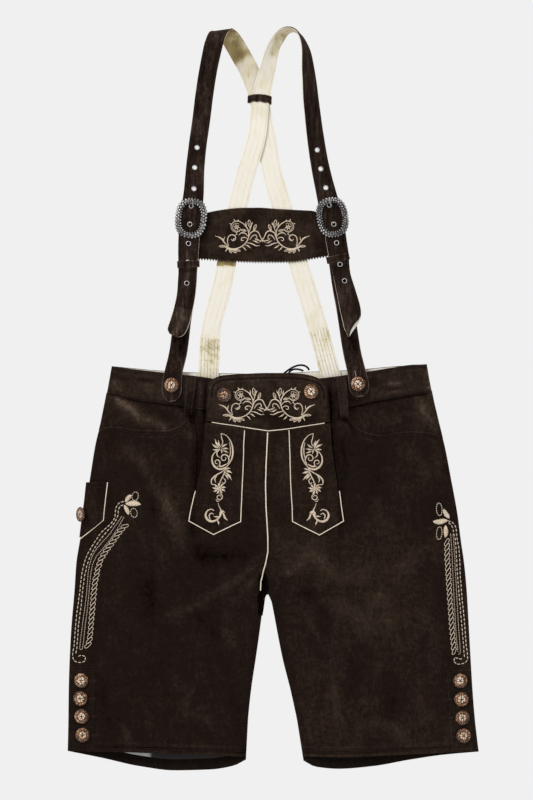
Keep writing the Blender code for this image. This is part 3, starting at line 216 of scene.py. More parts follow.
def suede_like(name, tones, mottle=1.0, turn=18.0, streaks=0.0, sheen=0.10, rim=0.18):
    g = Graph(name, roughness=0.95, specular_ior_level=0.05, sheen_weight=sheen, sheen_roughness=0.6,
              sheen_tint=(0.75, 0.50, 0.38))
    broad = g.noise(7.0, 2.0, 0.5, (1.0, 0.8, 1.0), turn, 0.4)
    patch = g.noise(24.0, 3.0, 0.6, (1.0, 0.62, 1.0), -turn, 0.7)
    brushed = g.noise(75.0, 3.0, 0.65, (1.0, 0.36, 1.0), turn * 1.6, 0.6)
    crossed = g.noise(120.0, 3.0, 0.65, (0.34, 1.0, 1.0), -turn * 1.3, 0.6)
    fleck = g.noise(210.0, 3.0, 0.7, (1.0, 0.7, 1.0), turn)
    pile = g.noise(460.0, 4.0, 0.7, (1.0, 0.75, 1.0), -turn)
    grain = g.noise(1500.0, 2.0, 0.6)
    value = g.weigh((broad, 0.20 * mottle), (patch, 0.26 * mottle), (brushed, 0.40 * mottle), (crossed, 0.34 * mottle),
                    (fleck, 0.62), (pile, 0.5), (grain, 0.22), base=0.46)
    if streaks:
        long_ = g.noise(230.0, 3.0, 0.6, (1.0, 0.07, 1.0), 0.0, 0.3)
        value = g.maths("ADD", value, g.maths("MULTIPLY", g.maths("SUBTRACT", long_, 0.5), streaks))
    # The point attribute read here carries the hide's tone together with painted shade and highlights.
    value = g.maths("ADD", value, g.maths("MULTIPLY", g.attribute("nap"), 0.36))
    value = g.maths("ADD", value, g.maths("MULTIPLY", g.attribute("edge"), rim), clamp=True)
    colour = g.ramp(value, (0.0, tones[0]), (0.46, tones[1]), (0.78, tones[2]), (1.0, tones[3]))
    # No bloom of light in the deepest folds.
    open_ = g.maths("MULTIPLY", value, 3.2, clamp=True)
    g.set("Sheen Weight", g.maths("MULTIPLY", open_, sheen))
    g.set("Specular IOR Level", g.maths("MULTIPLY", open_, 0.05))
    # Here and there the hide is redder, and elsewhere greyer.
    warm = g.noise(34.0, 3.0, 0.6, (1.0, 0.8, 1.0), 40.0, 0.8)
    rust = g.ramp(warm, (0.38, (1.0, 1.0, 1.0)), (0.70, (1.07, 0.97, 0.88)))
    tint = g.node("ShaderNodeMix", data_type="RGBA", blend_type="MULTIPLY")
    tint.inputs["Factor"].default_value = 1.0
    g.tree.links.new(colour, tint.inputs["A"])
    g.tree.links.new(rust, tint.inputs["B"])
    g.set("Base Color", tint.outputs["Result"])
    g.bump((patch, 0.35), (fleck, 0.45), (pile, 0.5), (grain, 0.2))
    return g.mat


suede = suede_like("suede", ((0.0040, 0.0018, 0.0012), (0.0112, 0.0062, 0.0043), (0.0340, 0.0228, 0.0162), (0.094, 0.069, 0.050)))
strap_suede = suede_like("suede_straps", ((0.0040, 0.0020, 0.0014), (0.0150, 0.0086, 0.0062), (0.046, 0.030, 0.0235),
                                          (0.12, 0.088, 0.070)), mottle=0.8, turn=4.0, streaks=1.3, rim=0.40)
inner_suede = suede_like("suede_inner", ((0.0018, 0.0011, 0.0009), (0.0058, 0.0038, 0.0029), (0.014, 0.009, 0.007),
                                         (0.03, 0.022, 0.018)))


def lining_like(name, light, warm, deep, spots=0.5):
    g = Graph(name, roughness=0.62, specular_ior_level=0.3, sheen_weight=0.08)
    cloud = g.noise(14.0, 3.0, 0.55, (1.0, 0.7, 1.0), 12.0, 0.5)
    vein = g.noise(80.0, 4.0, 0.65, (1.0, 0.25, 1.0), 14.0, 0.8)
    fibre = g.noise(330.0, 3.0, 0.7, (1.0, 0.12, 1.0), 8.0, 0.4)
    pore = g.noise(900.0, 2.0, 0.6)
    value = g.weigh((cloud, 0.9 * spots), (vein, 0.8 * spots), (fibre, 0.5 * spots), (pore, 0.16), base=0.66)
    # The point attribute read here carries the lining's tone and stains together with painted shade.
    value = g.maths("ADD", value, g.maths("MULTIPLY", g.attribute("nap"), 0.5), clamp=True)
    g.set("Base Color", g.ramp(value, (0.0, deep[0]), (0.24, deep[1]), (0.46, warm), (0.66, light), (1.0, light)))
    g.bump((vein, 0.3), (pore, 0.12))
    return g.mat


cream_lining = lining_like("cream_lining", (0.97, 0.915, 0.80), (0.87, 0.785, 0.575), ((0.19, 0.135, 0.045), (0.40, 0.31, 0.130)))
pale_lining = lining_like("pale_lining", (0.60, 0.59, 0.58), (0.50, 0.48, 0.46), ((0.017, 0.013, 0.0115), (0.038, 0.031, 0.0275)))


def piping_material():
    g = Graph("piping", roughness=0.55, specular_ior_level=0.35, sheen_weight=0.1)
    worn = g.noise(60.0, 3.0, 0.6, warp=0.4)
    fine = g.noise(1100.0, 2.0, 0.6)
    value = g.weigh((worn, 0.9), (fine, 0.35), base=0.6)
    g.set("Base Color", g.ramp(value, (0.0, (0.60, 0.46, 0.30)), (0.5, (0.94, 0.81, 0.61)), (0.9, (1.0, 0.91, 0.75))))
    g.bump((fine, 0.12))
    return g.mat


piping_cream = piping_material()


def thread_material(name, low, mid, high, sheen=0.35, gloss=0.3):
    g = Graph(name, roughness=0.6, specular_ior_level=gloss, sheen_weight=sheen, sheen_roughness=0.4)
    lot = g.noise(120.0, 3.0, 0.6)
    fibre = g.noise(2600.0, 2.0, 0.6, (1.0, 1.0, 1.0))
    value = g.weigh((lot, 1.1), (fibre, 0.7), base=0.55)
    g.set("Base Color", g.ramp(value, (0.0, low), (0.5, mid), (1.0, high)))
    g.bump((fibre, 0.12))
    return g.mat


thread_cream = thread_material("thread_cream", (0.52, 0.39, 0.27), (0.82, 0.67, 0.51), (1.0, 0.89, 0.74))
thread_brown = thread_material("thread_brown", (0.016, 0.011, 0.008), (0.042, 0.030, 0.023), (0.088, 0.066, 0.052), 0.06, 0.12)
thread_dark = thread_material("thread_dark", (0.004, 0.003, 0.003), (0.010, 0.007, 0.006), (0.03, 0.022, 0.018))
thread_lining = thread_material("thread_lining", (0.44, 0.365, 0.22), (0.60, 0.52, 0.35), (0.76, 0.68, 0.51))
thread_backed = thread_material("thread_backed", (0.20, 0.155, 0.070), (0.38, 0.31, 0.17), (0.58, 0.50, 0.33))
lace_braid = thread_material("lace_braid", (0.003, 0.0026, 0.0026), (0.0065, 0.0053, 0.005), (0.026, 0.021, 0.019), 0.0, 0.08)
# A near-black finish for painted shadow.
dark_inside = thread_material("dark_inside", (0.001, 0.001, 0.001), (0.0022, 0.0018, 0.0018), (0.004, 0.003, 0.003), 0.0, 0.02)


def horn_material():
    """Carved antler: brown rind, pale where it is cut and rubbed, flecked with brown all over."""
    g = Graph("horn", specular_ior_level=0.45)
    carve = g.attribute("carve")
    age = g.noise(240.0, 4.0, 0.65, warp=0.6)
    pits = g.cells(760.0)
    fine = g.noise(1300.0, 2.0, 0.6)
    value = g.maths("ADD", carve, g.weigh((age, 1.25), (fine, 0.4)))
    value = g.maths("ADD", value, g.maths("MULTIPLY", g.maths("SUBTRACT", pits, 0.45), 0.95), clamp=True)
    g.set("Base Color", g.ramp(value, (0.0, (0.009, 0.004, 0.003)), (0.24, (0.072, 0.023, 0.009)),
                               (0.46, (0.28, 0.108, 0.036)), (0.74, (0.66, 0.41, 0.22)), (1.0, (1.0, 0.90, 0.76))))
    g.set("Roughness", g.maths("ADD", g.maths("MULTIPLY", age, 0.25), 0.28))
    g.bump((age, 0.2), (fine, 0.08))
    return g.mat


def silver_material():
    """Old silver: bright on the ridges, black in the hollows."""
    g = Graph("antique_silver", metallic=0.62, specular_ior_level=0.5)
    high = g.attribute("carve")
    tarnish = g.noise(320.0, 4.0, 0.65, warp=0.5)
    fine = g.noise(1600.0, 2.0, 0.6)
    value = g.maths("ADD", high, g.weigh((tarnish, 0.80), (fine, 0.3)), clamp=True)
    g.set("Base Color", g.ramp(value, (0.0, (0.008, 0.007, 0.007)), (0.3, (0.045, 0.041, 0.041)),
                               (0.6, (0.36, 0.34, 0.34)), (1.0, (1.0, 0.97, 0.96))))
    g.set("Roughness", g.maths("SUBTRACT", 0.62, g.maths("MULTIPLY", value, 0.26)))
    g.bump((tarnish, 0.12), (fine, 0.08))
    return g.mat


horn = horn_material()
silver = silver_material()


def floor_material():
    made = bpy.data.materials.new("floor")
    made.use_nodes = True
    tree = made.node_tree
    tree.nodes.remove(tree.nodes["Principled BSDF"])
    glow = tree.nodes.new("ShaderNodeEmission")
    glow.inputs["Color"].default_value = (0.8714, 0.8714, 0.8714, 1)
    glow.inputs["Strength"].default_value = 1.0
    tree.links.new(glow.outputs["Emission"], tree.nodes["Material Output"].inputs["Surface"])
    return made


def make(name, points, faces, mat, values=None, sharp=None):
    """A mesh from part.py's millimetres; values are numbers kept at its points for its material."""
    mesh = bpy.data.meshes.new(name)
    mesh.from_pydata(((np.asarray(points, float) + SHIFT) * 0.001).tolist(), [], faces)
    mesh.update()
    for key, numbers in (values or {}).items():
        layer = mesh.attributes.new(key, "FLOAT", "POINT")
        layer.data.foreach_set("value", np.asarray(numbers, np.float32))
    mesh.materials.append(mat)
    # Faces look outward.
    mesh.calc_loop_triangles()
    corner = np.empty(len(mesh.loop_triangles) * 3, np.int32)
    mesh.loop_triangles.foreach_get("vertices", corner)
    p = np.asarray(points, float)[corner.reshape(-1, 3)]
    if np.einsum("ij,ij->i", p[:, 0], np.cross(p[:, 1], p[:, 2])).sum() < 0:
        mesh.flip_normals()
    mesh.shade_smooth()
    if sharp:
        mesh.set_sharp_from_angle(angle=math.radians(sharp))
    made = bpy.data.objects.new(name, mesh)
    scene.collection.objects.link(made)
    return made


floor = make("floor", [(-3000, -3000, -0.05), (3000, -3000, -0.05), (3000, 3000, -0.05), (-3000, 3000, -0.05)],
             [[0, 1, 2, 3]], floor_material())


def settle(piece, slot, *nodes):
    """Every piece lies still with the garment and stands for its CAD nodes; slot is not used."""
    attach(piece, "root")
    if nodes:
        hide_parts(*nodes)
    return piece

# ---------------------------------------------------------------- part.py's dimensions and curves
GAP, SUEDE, LINING, EDGE_Z = 0.3, 1.5, 1.0, 3.3
CROTCH_Y, SLIT_Y = -277.5, -131.0
PIPING, LAY, SEWN = 2.3, 1.8, 0.7
BUTTON_R, BUTTON_H = 10.3, 3.2
STRAP_TAB = 2.4
FOLD_R, FOLD_AXIS, FOLD_HELIX, FOLD_TOP_Y = 23.0, 7.5, 24.0, 537.6
UP, DOWN = GAP / 2 + SUEDE, GAP / 2 + LINING


def table(columns, *rows):
    return {name: np.array([row[i] for row in rows], float) for i, name in enumerate(columns.split())}


def smooth(t):
    t = np.clip(t, 0.0, 1.0)
    return t * t * (3 - 2 * t)


def hermite(xs, ys, x):
    xs, ys = np.asarray(xs, float), np.asarray(ys, float)
    x = np.clip(np.asarray(x, float), xs[0], xs[-1])
    k = np.clip(np.searchsorted(xs, x) - 1, 0, len(xs) - 2)
    d = np.diff(ys) / np.diff(xs)
    slope = np.concatenate([[d[0]], np.zeros(len(xs) - 2), [d[-1]]])
    same = d[:-1] * d[1:] > 0
    slope[1:-1][same] = 2 * d[:-1][same] * d[1:][same] / (d[:-1][same] + d[1:][same])
    h = xs[k + 1] - xs[k]
    t = (x - xs[k]) / h
    return (
        (2 * t**3 - 3 * t**2 + 1) * ys[k]
        + (t**3 - 2 * t**2 + t) * h * slope[k]
        + (-2 * t**3 + 3 * t**2) * ys[k + 1]
        + (t**3 - t**2) * h * slope[k + 1]
    )


def at(tab, column, y, key="y"):
    order = np.argsort(tab[key])
    return hermite(tab[key][order], tab[column][order], y)


OUTLINE = table(
    "y left right crown",
    (50, -233.0, 223.5, 12), (27, -237.0, 228.5, 12), (3, -241.5, 232.0, 13), (-20, -247.0, 237.0, 14),
    (-43, -251.5, 243.0, 14), (-66, -257.0, 249.5, 15), (-112, -264.5, 258.5, 16), (-170, -273.5, 269.0, 16),
    (-205, -279.5, 273.5, 16), (-240, -285.0, 278.5, 15), (-277, -287.5, 282.0, 15), (-345, -293.0, 286.0, 17),
    (-422, -296.0, 290.5, 18), (-466, -296.5, 294.0, 17), (-513, -297.5, 299.5, 15),
)
CENTRE_SEAM = table(
    "y x", (40, -8.0), (-47, -7.0), (-78, -8.5), (-124, -10.0), (-159, -9.5), (-194, -7.0), (-217, -6.5),
    (-240, -10.0), (-252, -12.5), (-277.5, -12.0),
)
INSEAM = table(
    "y left right", (-277.5, -12.0, -10.5), (-286.5, -12.5, -3.5), (-309.5, -15.0, 1.5), (-344.5, -19.5, 8.0),
    (-379, -24.5, 15.0), (-422.5, -31.0, 26.0), (-466, -35.5, 35.5), (-513, -38.5, 45.0),
)
FRONT_HEM = table(
    "share left right", (0.0, -511.5, -511.5), (0.3, -512.5, -514.5), (0.55, -514.5, -517.5), (0.8, -517.0, -520.0),
    (1.0, -520.5, -520.0),
)
BACK_HEM = table(
    "share left right", (0.0, -512.0, -513.0), (0.2, -522.5, -517.5), (0.4, -534.0, -525.0), (0.6, -540.3, -534.0),
    (0.8, -539.0, -538.0), (0.93, -533.5, -535.0), (1.0, -524.5, -526.0),
)
FOLDS = table(
    "x0 y0 x1 y1 half_width height",
    (-232, -12, -150, -40, 11, 2.2), (-214, -72, -134, -206, 16, 3.4), (-134, -206, -88, -240, 15, 2.6),
    (-130, -226, -14, -226, 12, -3.4), (-20, -246, -110, -290, 14, 2.8), (-128, -40, -114, -120, 9, 1.8),
    (50, -340, 74, -445, 9, -2.4), (190, -70, 238, -150, 18, 1.8), (40, -215, 130, -262, 17, 2.2),
    (-190, -330, -120, -470, 26, 2.0), (150, -300, 205, -430, 28, 2.0),
)
# Finer creases, from one end to the other with a bow to their left; each is a soft ridge (+) or trough (-).
CREASES = table(
    "x0 y0 x1 y1 bow half_width height",
    (-222, -4, -168, -26, 4, 4.5, 0.9), (-205, -30, -140, -46, -5, 5, 0.8), (-228, -34, -196, -40, 2, 4, -0.6),
    (-236, -62, -190, -120, 6, 6, 0.9), (-190, -66, -150, -140, -5, 7, 1.0), (-168, -92, -136, -170, 4, 5, -0.9),
    (-246, -96, -214, -150, 3, 5, -0.7), (-150, -150, -120, -214, 6, 5, 1.1), (-112, -222, -24, -206, -8, 7, 1.2),
    (-140, -244, -40, -238, 7, 6, -1.3), (-96, -262, -22, -232, 5, 6, 1.0), (-60, -286, -18, -256, 3, 5, -0.8),
    (-128, -300, -60, -272, 6, 7, 0.8), (-168, -268, -100, -258, -5, 8, -0.7), (-204, -236, -150, -268, 4, 7, 0.7),
    (-232, -280, -190, -330, 5, 8, 0.6), (-110, -330, -60, -318, -4, 8, 0.6), (-84, -356, -46, -392, 4, 7, -0.5),
    (-150, -352, -126, -420, -6, 9, 0.5), (-222, -372, -206, -446, 4, 8, -0.5), (-112, -402, -88, -470, 5, 9, 0.6),
    (-250, -430, -236, -500, -3, 6, 0.4), (-180, -440, -160, -500, 4, 8, -0.5), (-70, -430, -52, -500, 3, 8, 0.5),
    (-34, -120, -14, -196, 2, 5, 0.6), (-26, -60, -20, -110, -2, 5, 0.4), (-120, -196, -52, -214, -6, 6, -0.7),
    (2, -70, 14, -150, 3, 6, 0.5), (-4, -170, 12, -232, -3, 6, 0.7), (0, -246, 44, -226, -5, 6, 1.0),
    (6, -268, 62, -246, 6, 7, -0.9), (20, -292, 96, -272, -6, 8, 0.8), (110, -214, 176, -250, 7, 9, 0.7),
    (120, -60, 142, -130, -4, 7, 0.6), (160, -66, 178, -128, 4, 8, -0.5), (206, -62, 226, -112, 3, 6, -0.6),
    (96, -150, 116, -206, 4, 6, -0.6), (228, -160, 244, -232, -3, 7, 0.6), (184, -156, 206, -226, 5, 8, 0.5),
    (54, -318, 78, -388, 3, 4, -0.9), (64, -322, 90, -390, 3, 5, 0.9), (74, -396, 86, -480, 2, 5, -0.7),
    (88, -400, 98, -470, -2, 6, 0.5), (132, -306, 154, -380, 6, 9, -0.5), (166, -330, 176, -420, -5, 9, 0.6),
    (120, -420, 128, -500, 3, 8, 0.5), (214, -320, 232, -400, 4, 8, 0.5), (188, -440, 198, -506, -3, 8, -0.5),
    (148, -456, 156, -508, 3, 7, 0.4), (236, -430, 240, -500, 3, 6, -0.4), (60, -500, 110, -506, -2, 4, 0.5),
    (-260, -506, -160, -508, 1.5, 4, 0.5), (-150, -508, -60, -512, -1.5, 4, 0.4), (120, -508, 240, -507, 1.5, 4, 0.5),
    (18, -330, 34, -400, 2, 6, 0.5), (-36, -330, -46, -410, -3, 6, -0.5),
)
# Where the hide is brushed up light (+) or down dark (-), with painted highlights on fold crests and painted shade (-)
# in fold troughs, beside the flap, under the belt loops, along the waist seams and in the crotch.
NAP_AND_SHADE = table(
    "x0 y0 x1 y1 bow half_width value",
    (-231, 0, -193, -30, 4, 7.5, 0.75), (-193, -30, -152, -47, 4, 7, 0.6), (-205, 22, -160, 8, 2, 5, 0.25),
    (-214, -74, -176, -128, 8, 10, 0.6), (-176, -128, -134, -206, 8, 11, 0.62), (-134, -206, -118, -236, 2, 9, 0.4),
    (-122, -46, -112, -62, 0, 7, 0.55), (-196, -100, -170, -176, 5, 12, -0.35), (-246, -120, -236, -190, 2, 9, -0.25),
    (-136, -218, -22, -219, -8, 14, -0.42), (-128, -236, -60, -238, 6, 10, -0.15), (-24, -238, -96, -290, 4, 8, 0.50),
    (-96, -290, -170, -322, 3, 10, 0.35), (-30, -262, -54, -300, 0, 6, 0.35), (-18, -250, -34, -274, 0, 4, 0.4),
    (-190, -250, -180, -330, 6, 14, -0.30), (-110, -310, -80, -350, 5, 10, -0.30), (-100, -372, -60, -400, 6, 10, -0.25),
    (-80, -330, -50, -380, 6, 8, 0.25), (-150, -400, -118, -440, 4, 9, 0.2), (-120, -452, -80, -480, 4, 9, 0.22),
    (-222, -470, -206, -500, 3, 5, 0.35), (-250, -400, -240, -500, 2, 8, -0.2), (-60, -420, -50, -490, 2, 9, -0.2),
    (-90, -60, -70, -110, 4, 9, -0.25), (-44, -150, -30, -200, 3, 10, -0.2), (-24, -80, -18, -150, 0, 8, 0.2),
    (10, -70, 14, -150, 2, 12, 0.30), (0, -180, 14, -236, 2, 9, 0.25), (60, -30, 0, -36, 4, 8, -0.3),
    (-8, 24, -40, 24, 3, 7, 0.22), (10, 24, 50, 20, -3, 7, 0.22), (6, -252, 46, -236, -5, 7, 0.45),
    (40, -222, 96, -262, 6, 12, 0.45), (96, -262, 150, -240, -5, 11, 0.35), (36, -280, 60, -292, 4, 9, -0.45),
    (92, -300, 140, -330, 5, 12, 0.30), (150, -282, 170, -330, 5, 13, 0.32), (182, -266, 206, -220, 4, 14, 0.22),
    (52, -320, 66, -352, 3, 5, 0.30), (74, -300, 70, -340, 3, 9, -0.28), (110, -360, 118, -440, 4, 14, -0.25),
    (166, -400, 170, -470, 4, 14, -0.3), (140, -470, 190, -486, 5, 9, 0.35), (84, -410, 96, -480, 3, 8, 0.25),
    (128, -70, 150, -140, 5, 13, -0.2), (182, -64, 230, -118, 5, 12, 0.28), (150, -150, 156, -200, 4, 14, 0.2),
    (100, -60, 106, -120, 1, 6, -0.35), (-104, -40, -108, -122, 1, 6, -0.35), (-118, 10, -116, -30, 0, 6, -0.35),
    (88, 10, 90, -30, 0, 6, -0.4), (112, 10, 116, -30, 0, 7, -0.2), (236, -250, 262, -430, 6, 14, -0.22),
    (-262, -260, -268, -400, 3, 12, -0.15), (206, -420, 222, -500, 2, 10, 0.15), (-60, -506, -150, -500, 3, 5, 0.2),
    (-96.5, 20, -99, -30, 0, 3.2, -0.9), (82, 20, 85, -30, 0, 3.6, -0.9), (-126, -16, -113, -32, 0, 5, -0.5), (-182, -14, -142, -31, 2, 8, -0.35), (-195, 28, -170, 25, 0, 2.5, -0.5),
    (-234, 26, -220, 13, 0, 6, 0.4), (-235, 6.5, -190, -4.8, 0, 2.2, -0.7), (-190, -4.8, -130, -12, 0, 2.2, -0.7),
    (114, -14, 154, -3.8, 0, 2.2, -0.7), (154, -3.8, 232, 9.2, 0, 2.2, -0.7),
    (-140, 12, -127, -20, 0, 7, -0.45), (95, -27, 107, -31, 0, 4, -0.9), (107, -30, 118, -50, 2, 3, -0.6),
    (-38, -25, 22, -27, 2, 5, -0.45), (163, 21, 188, 22.5, 0, 4, 0.55),
    (163, 9.4, 198, 11, 0, 2.2, 0.5), (221, 40, 228.5, 8, 0, 5, 0.4), (144, 31, 147, 17, 0, 8, -0.3), (120, -21, 198, -12, 2, 9, -0.32),
    (188, -31, 204, -32.5, 0, 5, -0.35), (212, -4, 238.5, -47, 0, 9, 0.42), (238.5, -67, 243, -113, 0, 6, 0.3),
    (114, 2, 128, -5, -2, 4, -0.55), (-14.5, -256, -11, -279, 0, 4.2, -3.2), (-16.6, -280, -17.4, -311, 0, 2.4, -2.6),
)


def outer_left(y):
    return at(OUTLINE, "left", y)


def outer_right(y):
    return at(OUTLINE, "right", y)


def centre_x(y):
    return at(CENTRE_SEAM, "x", y)


def inner_left(y):
    y = np.asarray(y, float)
    return np.where(y < CROTCH_Y, at(INSEAM, "left", y), centre_x(y) - 0.25)


def inner_right(y):
    y = np.asarray(y, float)
    return np.where(y < CROTCH_Y, at(INSEAM, "right", y), centre_x(y) + 0.25)


def lens(share, power):
    return 1 - np.minimum(1.0, np.abs(2 * np.clip(share, 0, 1) - 1)) ** power


def strokes(tab, column, x, y):
    """Sum of soft strokes, each along a bowed line."""
    total = np.zeros(np.shape(x))
    for x0, y0, x1, y1, bow, half, high in zip(*(tab[c] for c in ("x0", "y0", "x1", "y1", "bow", "half_width", column))):
        dx, dy = x1 - x0, y1 - y0
        size = math.hypot(dx, dy)
        along = ((x - x0) * dx + (y - y0) * dy) / size**2
        off = (-(x - x0) * dy + (y - y0) * dx) / size - bow * 4 * np.clip(along * (1 - along), -0.3, 1)
        total = total + high * smooth((along + 0.25) / 0.5) * smooth((1.25 - along) / 0.5) * np.exp(-((off / half) ** 2))
    return total


def ripple(x, y, seed, size):
    """Smooth unevenness between about -1 and 1, the same at the same place."""
    draw = np.random.default_rng(seed)
    total = np.zeros(np.shape(x))
    for _ in range(7):
        turn, phase, scale = draw.uniform(0, math.pi), draw.uniform(0, 6.28), draw.uniform(0.6, 1.7)
        total = total + np.sin((x * math.cos(turn) + y * math.sin(turn)) * 6.28 * scale / size + phase)
    return total / 3.6


def front_z(x, y):
    """Height of the front's outer face."""
    x, y = np.broadcast_arrays(np.asarray(x, float), np.asarray(y, float))
    left, right = outer_left(y), outer_right(y)
    on_left = x < centre_x(y)
    inner = np.where(on_left, inner_left(y), inner_right(y))
    outer = np.where(on_left, left, right)
    leg = lens((x - outer) / (inner - outer), 2.6)
    torso = lens((x - left) / (right - left), 3.0)
    w = smooth((y - CROTCH_Y) / 75.0)
    form = (1 - w) * leg + w * torso
    z = EDGE_Z + at(OUTLINE, "crown", y) * form
    soft = np.minimum(1.0, 2.2 * form)
    for x0, y0, x1, y1, half, high in zip(*(FOLDS[c] for c in "x0 y0 x1 y1 half_width height".split())):
        dx, dy = x1 - x0, y1 - y0
        size = dx * dx + dy * dy
        along = ((x - x0) * dx + (y - y0) * dy) / size
        off = np.abs((x - x0) * dy - (y - y0) * dx) / math.sqrt(size)
        z = z + high * smooth((along + 0.18) / 0.4) * smooth((1.18 - along) / 0.4) * np.exp(-((off / half) ** 2)) * soft
    fine = strokes(CREASES, "height", x, y) + 0.22 * ripple(x, y, 5, 60) + 0.12 * ripple(x, y, 8, 24)
    return z + np.clip(fine, -1.9, 1.9) * np.minimum(1.0, 2.6 * form)


SLIT = table(
    "y left_hip left_flap right_flap right_hip",
    (-2, -119.0, -95.2, 82.4, 84.6), (-17, -118.0, -95.2, 82.7, 84.9), (-46, -111.5, -97.0, 84.0, 86.2),
    (-75, -110.0, -100.0, 86.3, 88.4), (-104, -111.0, -104.5, 90.3, 92.3), (SLIT_Y, -113.0, -109.3, 94.6, 96.4),
)


def nap_and_shade_at(x, y):
    """How light the hide lies, with painted shade and highlights: the strokes above over broad differences, for the
    right leg and the waist are the lighter.
    """
    right, waist = smooth((x + 14) / 50), smooth((y + 62) / 50)
    broad = 0.17 * right * smooth((-150 - y) / 70) + 0.36 * waist - 0.08 * (1 - right) * smooth((-200 - y) / 80)
    broad = broad - 0.16 * smooth((x - 84) / 30) * smooth((-34 - y) / 26) * smooth((y + 210) / 60)
    # Painted shadow beside the slits, painted shade along the inside legs, and a little painted shade round the
    # outside.
    for name, way in (("left_hip", -1), ("right_hip", 1)):
        off = (x - at(SLIT, name, np.clip(y, -206, 0))) * way
        beside = smooth((y + 208) / 12) * smooth((-24 - y) / 10)
        broad = broad - 0.72 * beside * smooth((off + 3) / 3) * smooth((11 - off) / 9)
    inner = np.minimum(np.abs(x - inner_left(np.minimum(y, -290))), np.abs(x - inner_right(np.minimum(y, -290))))
    broad = broad - 0.26 * smooth((14 - inner) / 12) * smooth((-276 - y) / 30)
    broad = broad - 0.14 * smooth((9 - np.minimum(x - outer_left(y), outer_right(y) - x)) / 9) * smooth((-60 - y) / 20)
    drawn = strokes(NAP_AND_SHADE, "value", x, y)
    return drawn * np.where(drawn > 0, 1.3, 1.7) + broad


def edge_share(x, y):
    return smooth(np.minimum(x - outer_left(y), outer_right(y) - x) / 14.0)


def band_z(x, y):
    return EDGE_Z + (front_z(x, y) + LAY - EDGE_Z) * edge_share(x, y)


def under_z(x, y):
    return np.maximum(EDGE_Z, front_z(x, y) - LAY - 0.1)


def flap_z(x, y):
    return front_z(x, y) + (2 * LAY + 0.6) * smooth((np.asarray(y, float) - SLIT_Y) / 100.0)


def on_flap(x, y):
    return np.where(np.asarray(y) > SLIT_Y, flap_z(x, y), front_z(x, y))


def smooth_path(points, per=8):
    """Catmull-Rom curve through points of any dimension."""
    p = np.array(points, float)
    p = np.vstack([2 * p[0] - p[1], p, 2 * p[-1] - p[-2]])
    t = np.linspace(0, 1, per, endpoint=False)[:, None]
    out = [
        0.5 * (2 * p[i] + (p[i + 1] - p[i - 1]) * t + (2 * p[i - 1] - 5 * p[i] + 4 * p[i + 1] - p[i + 2]) * t**2
               + (3 * p[i] - p[i - 1] - 3 * p[i + 1] + p[i + 2]) * t**3)
        for i in range(1, len(p) - 2)
    ]
    return np.vstack([*out, p[-2]])


def even(path, step, ends=True):
    """Points at even distances along a polyline."""
    p = np.asarray(path, float)
    s = np.concatenate([[0], np.cumsum(np.linalg.norm(np.diff(p, axis=0), axis=1))])
    n = max(1, round(s[-1] / step))
    marks = np.linspace(0, s[-1], n + 1)
    return np.stack([np.interp(marks, s, p[:, k]) for k in range(p.shape[1])], 1)


def line(*points):
    """A smooth curve through points, as a function of shares of its length, giving x and y arrays."""
    p = np.array(points, float)
    s = np.concatenate([[0], np.cumsum(np.hypot(*np.diff(p, axis=0).T))])
    s /= s[-1]
    return lambda u: (hermite(s, p[:, 0], u), hermite(s, p[:, 1], u))


def off_path(x, y, path):
    """Distance of each place from a polyline."""
    p = np.asarray(path, float)
    best = np.full(np.shape(x), 1e9)
    for (xa, ya), (xb, yb) in zip(p, p[1:]):
        dx, dy = xb - xa, yb - ya
        t = np.clip(((x - xa) * dx + (y - ya) * dy) / max(dx * dx + dy * dy, 1e-9), 0, 1)
        best = np.minimum(best, np.hypot(x - xa - t * dx, y - ya - t * dy))
    return best


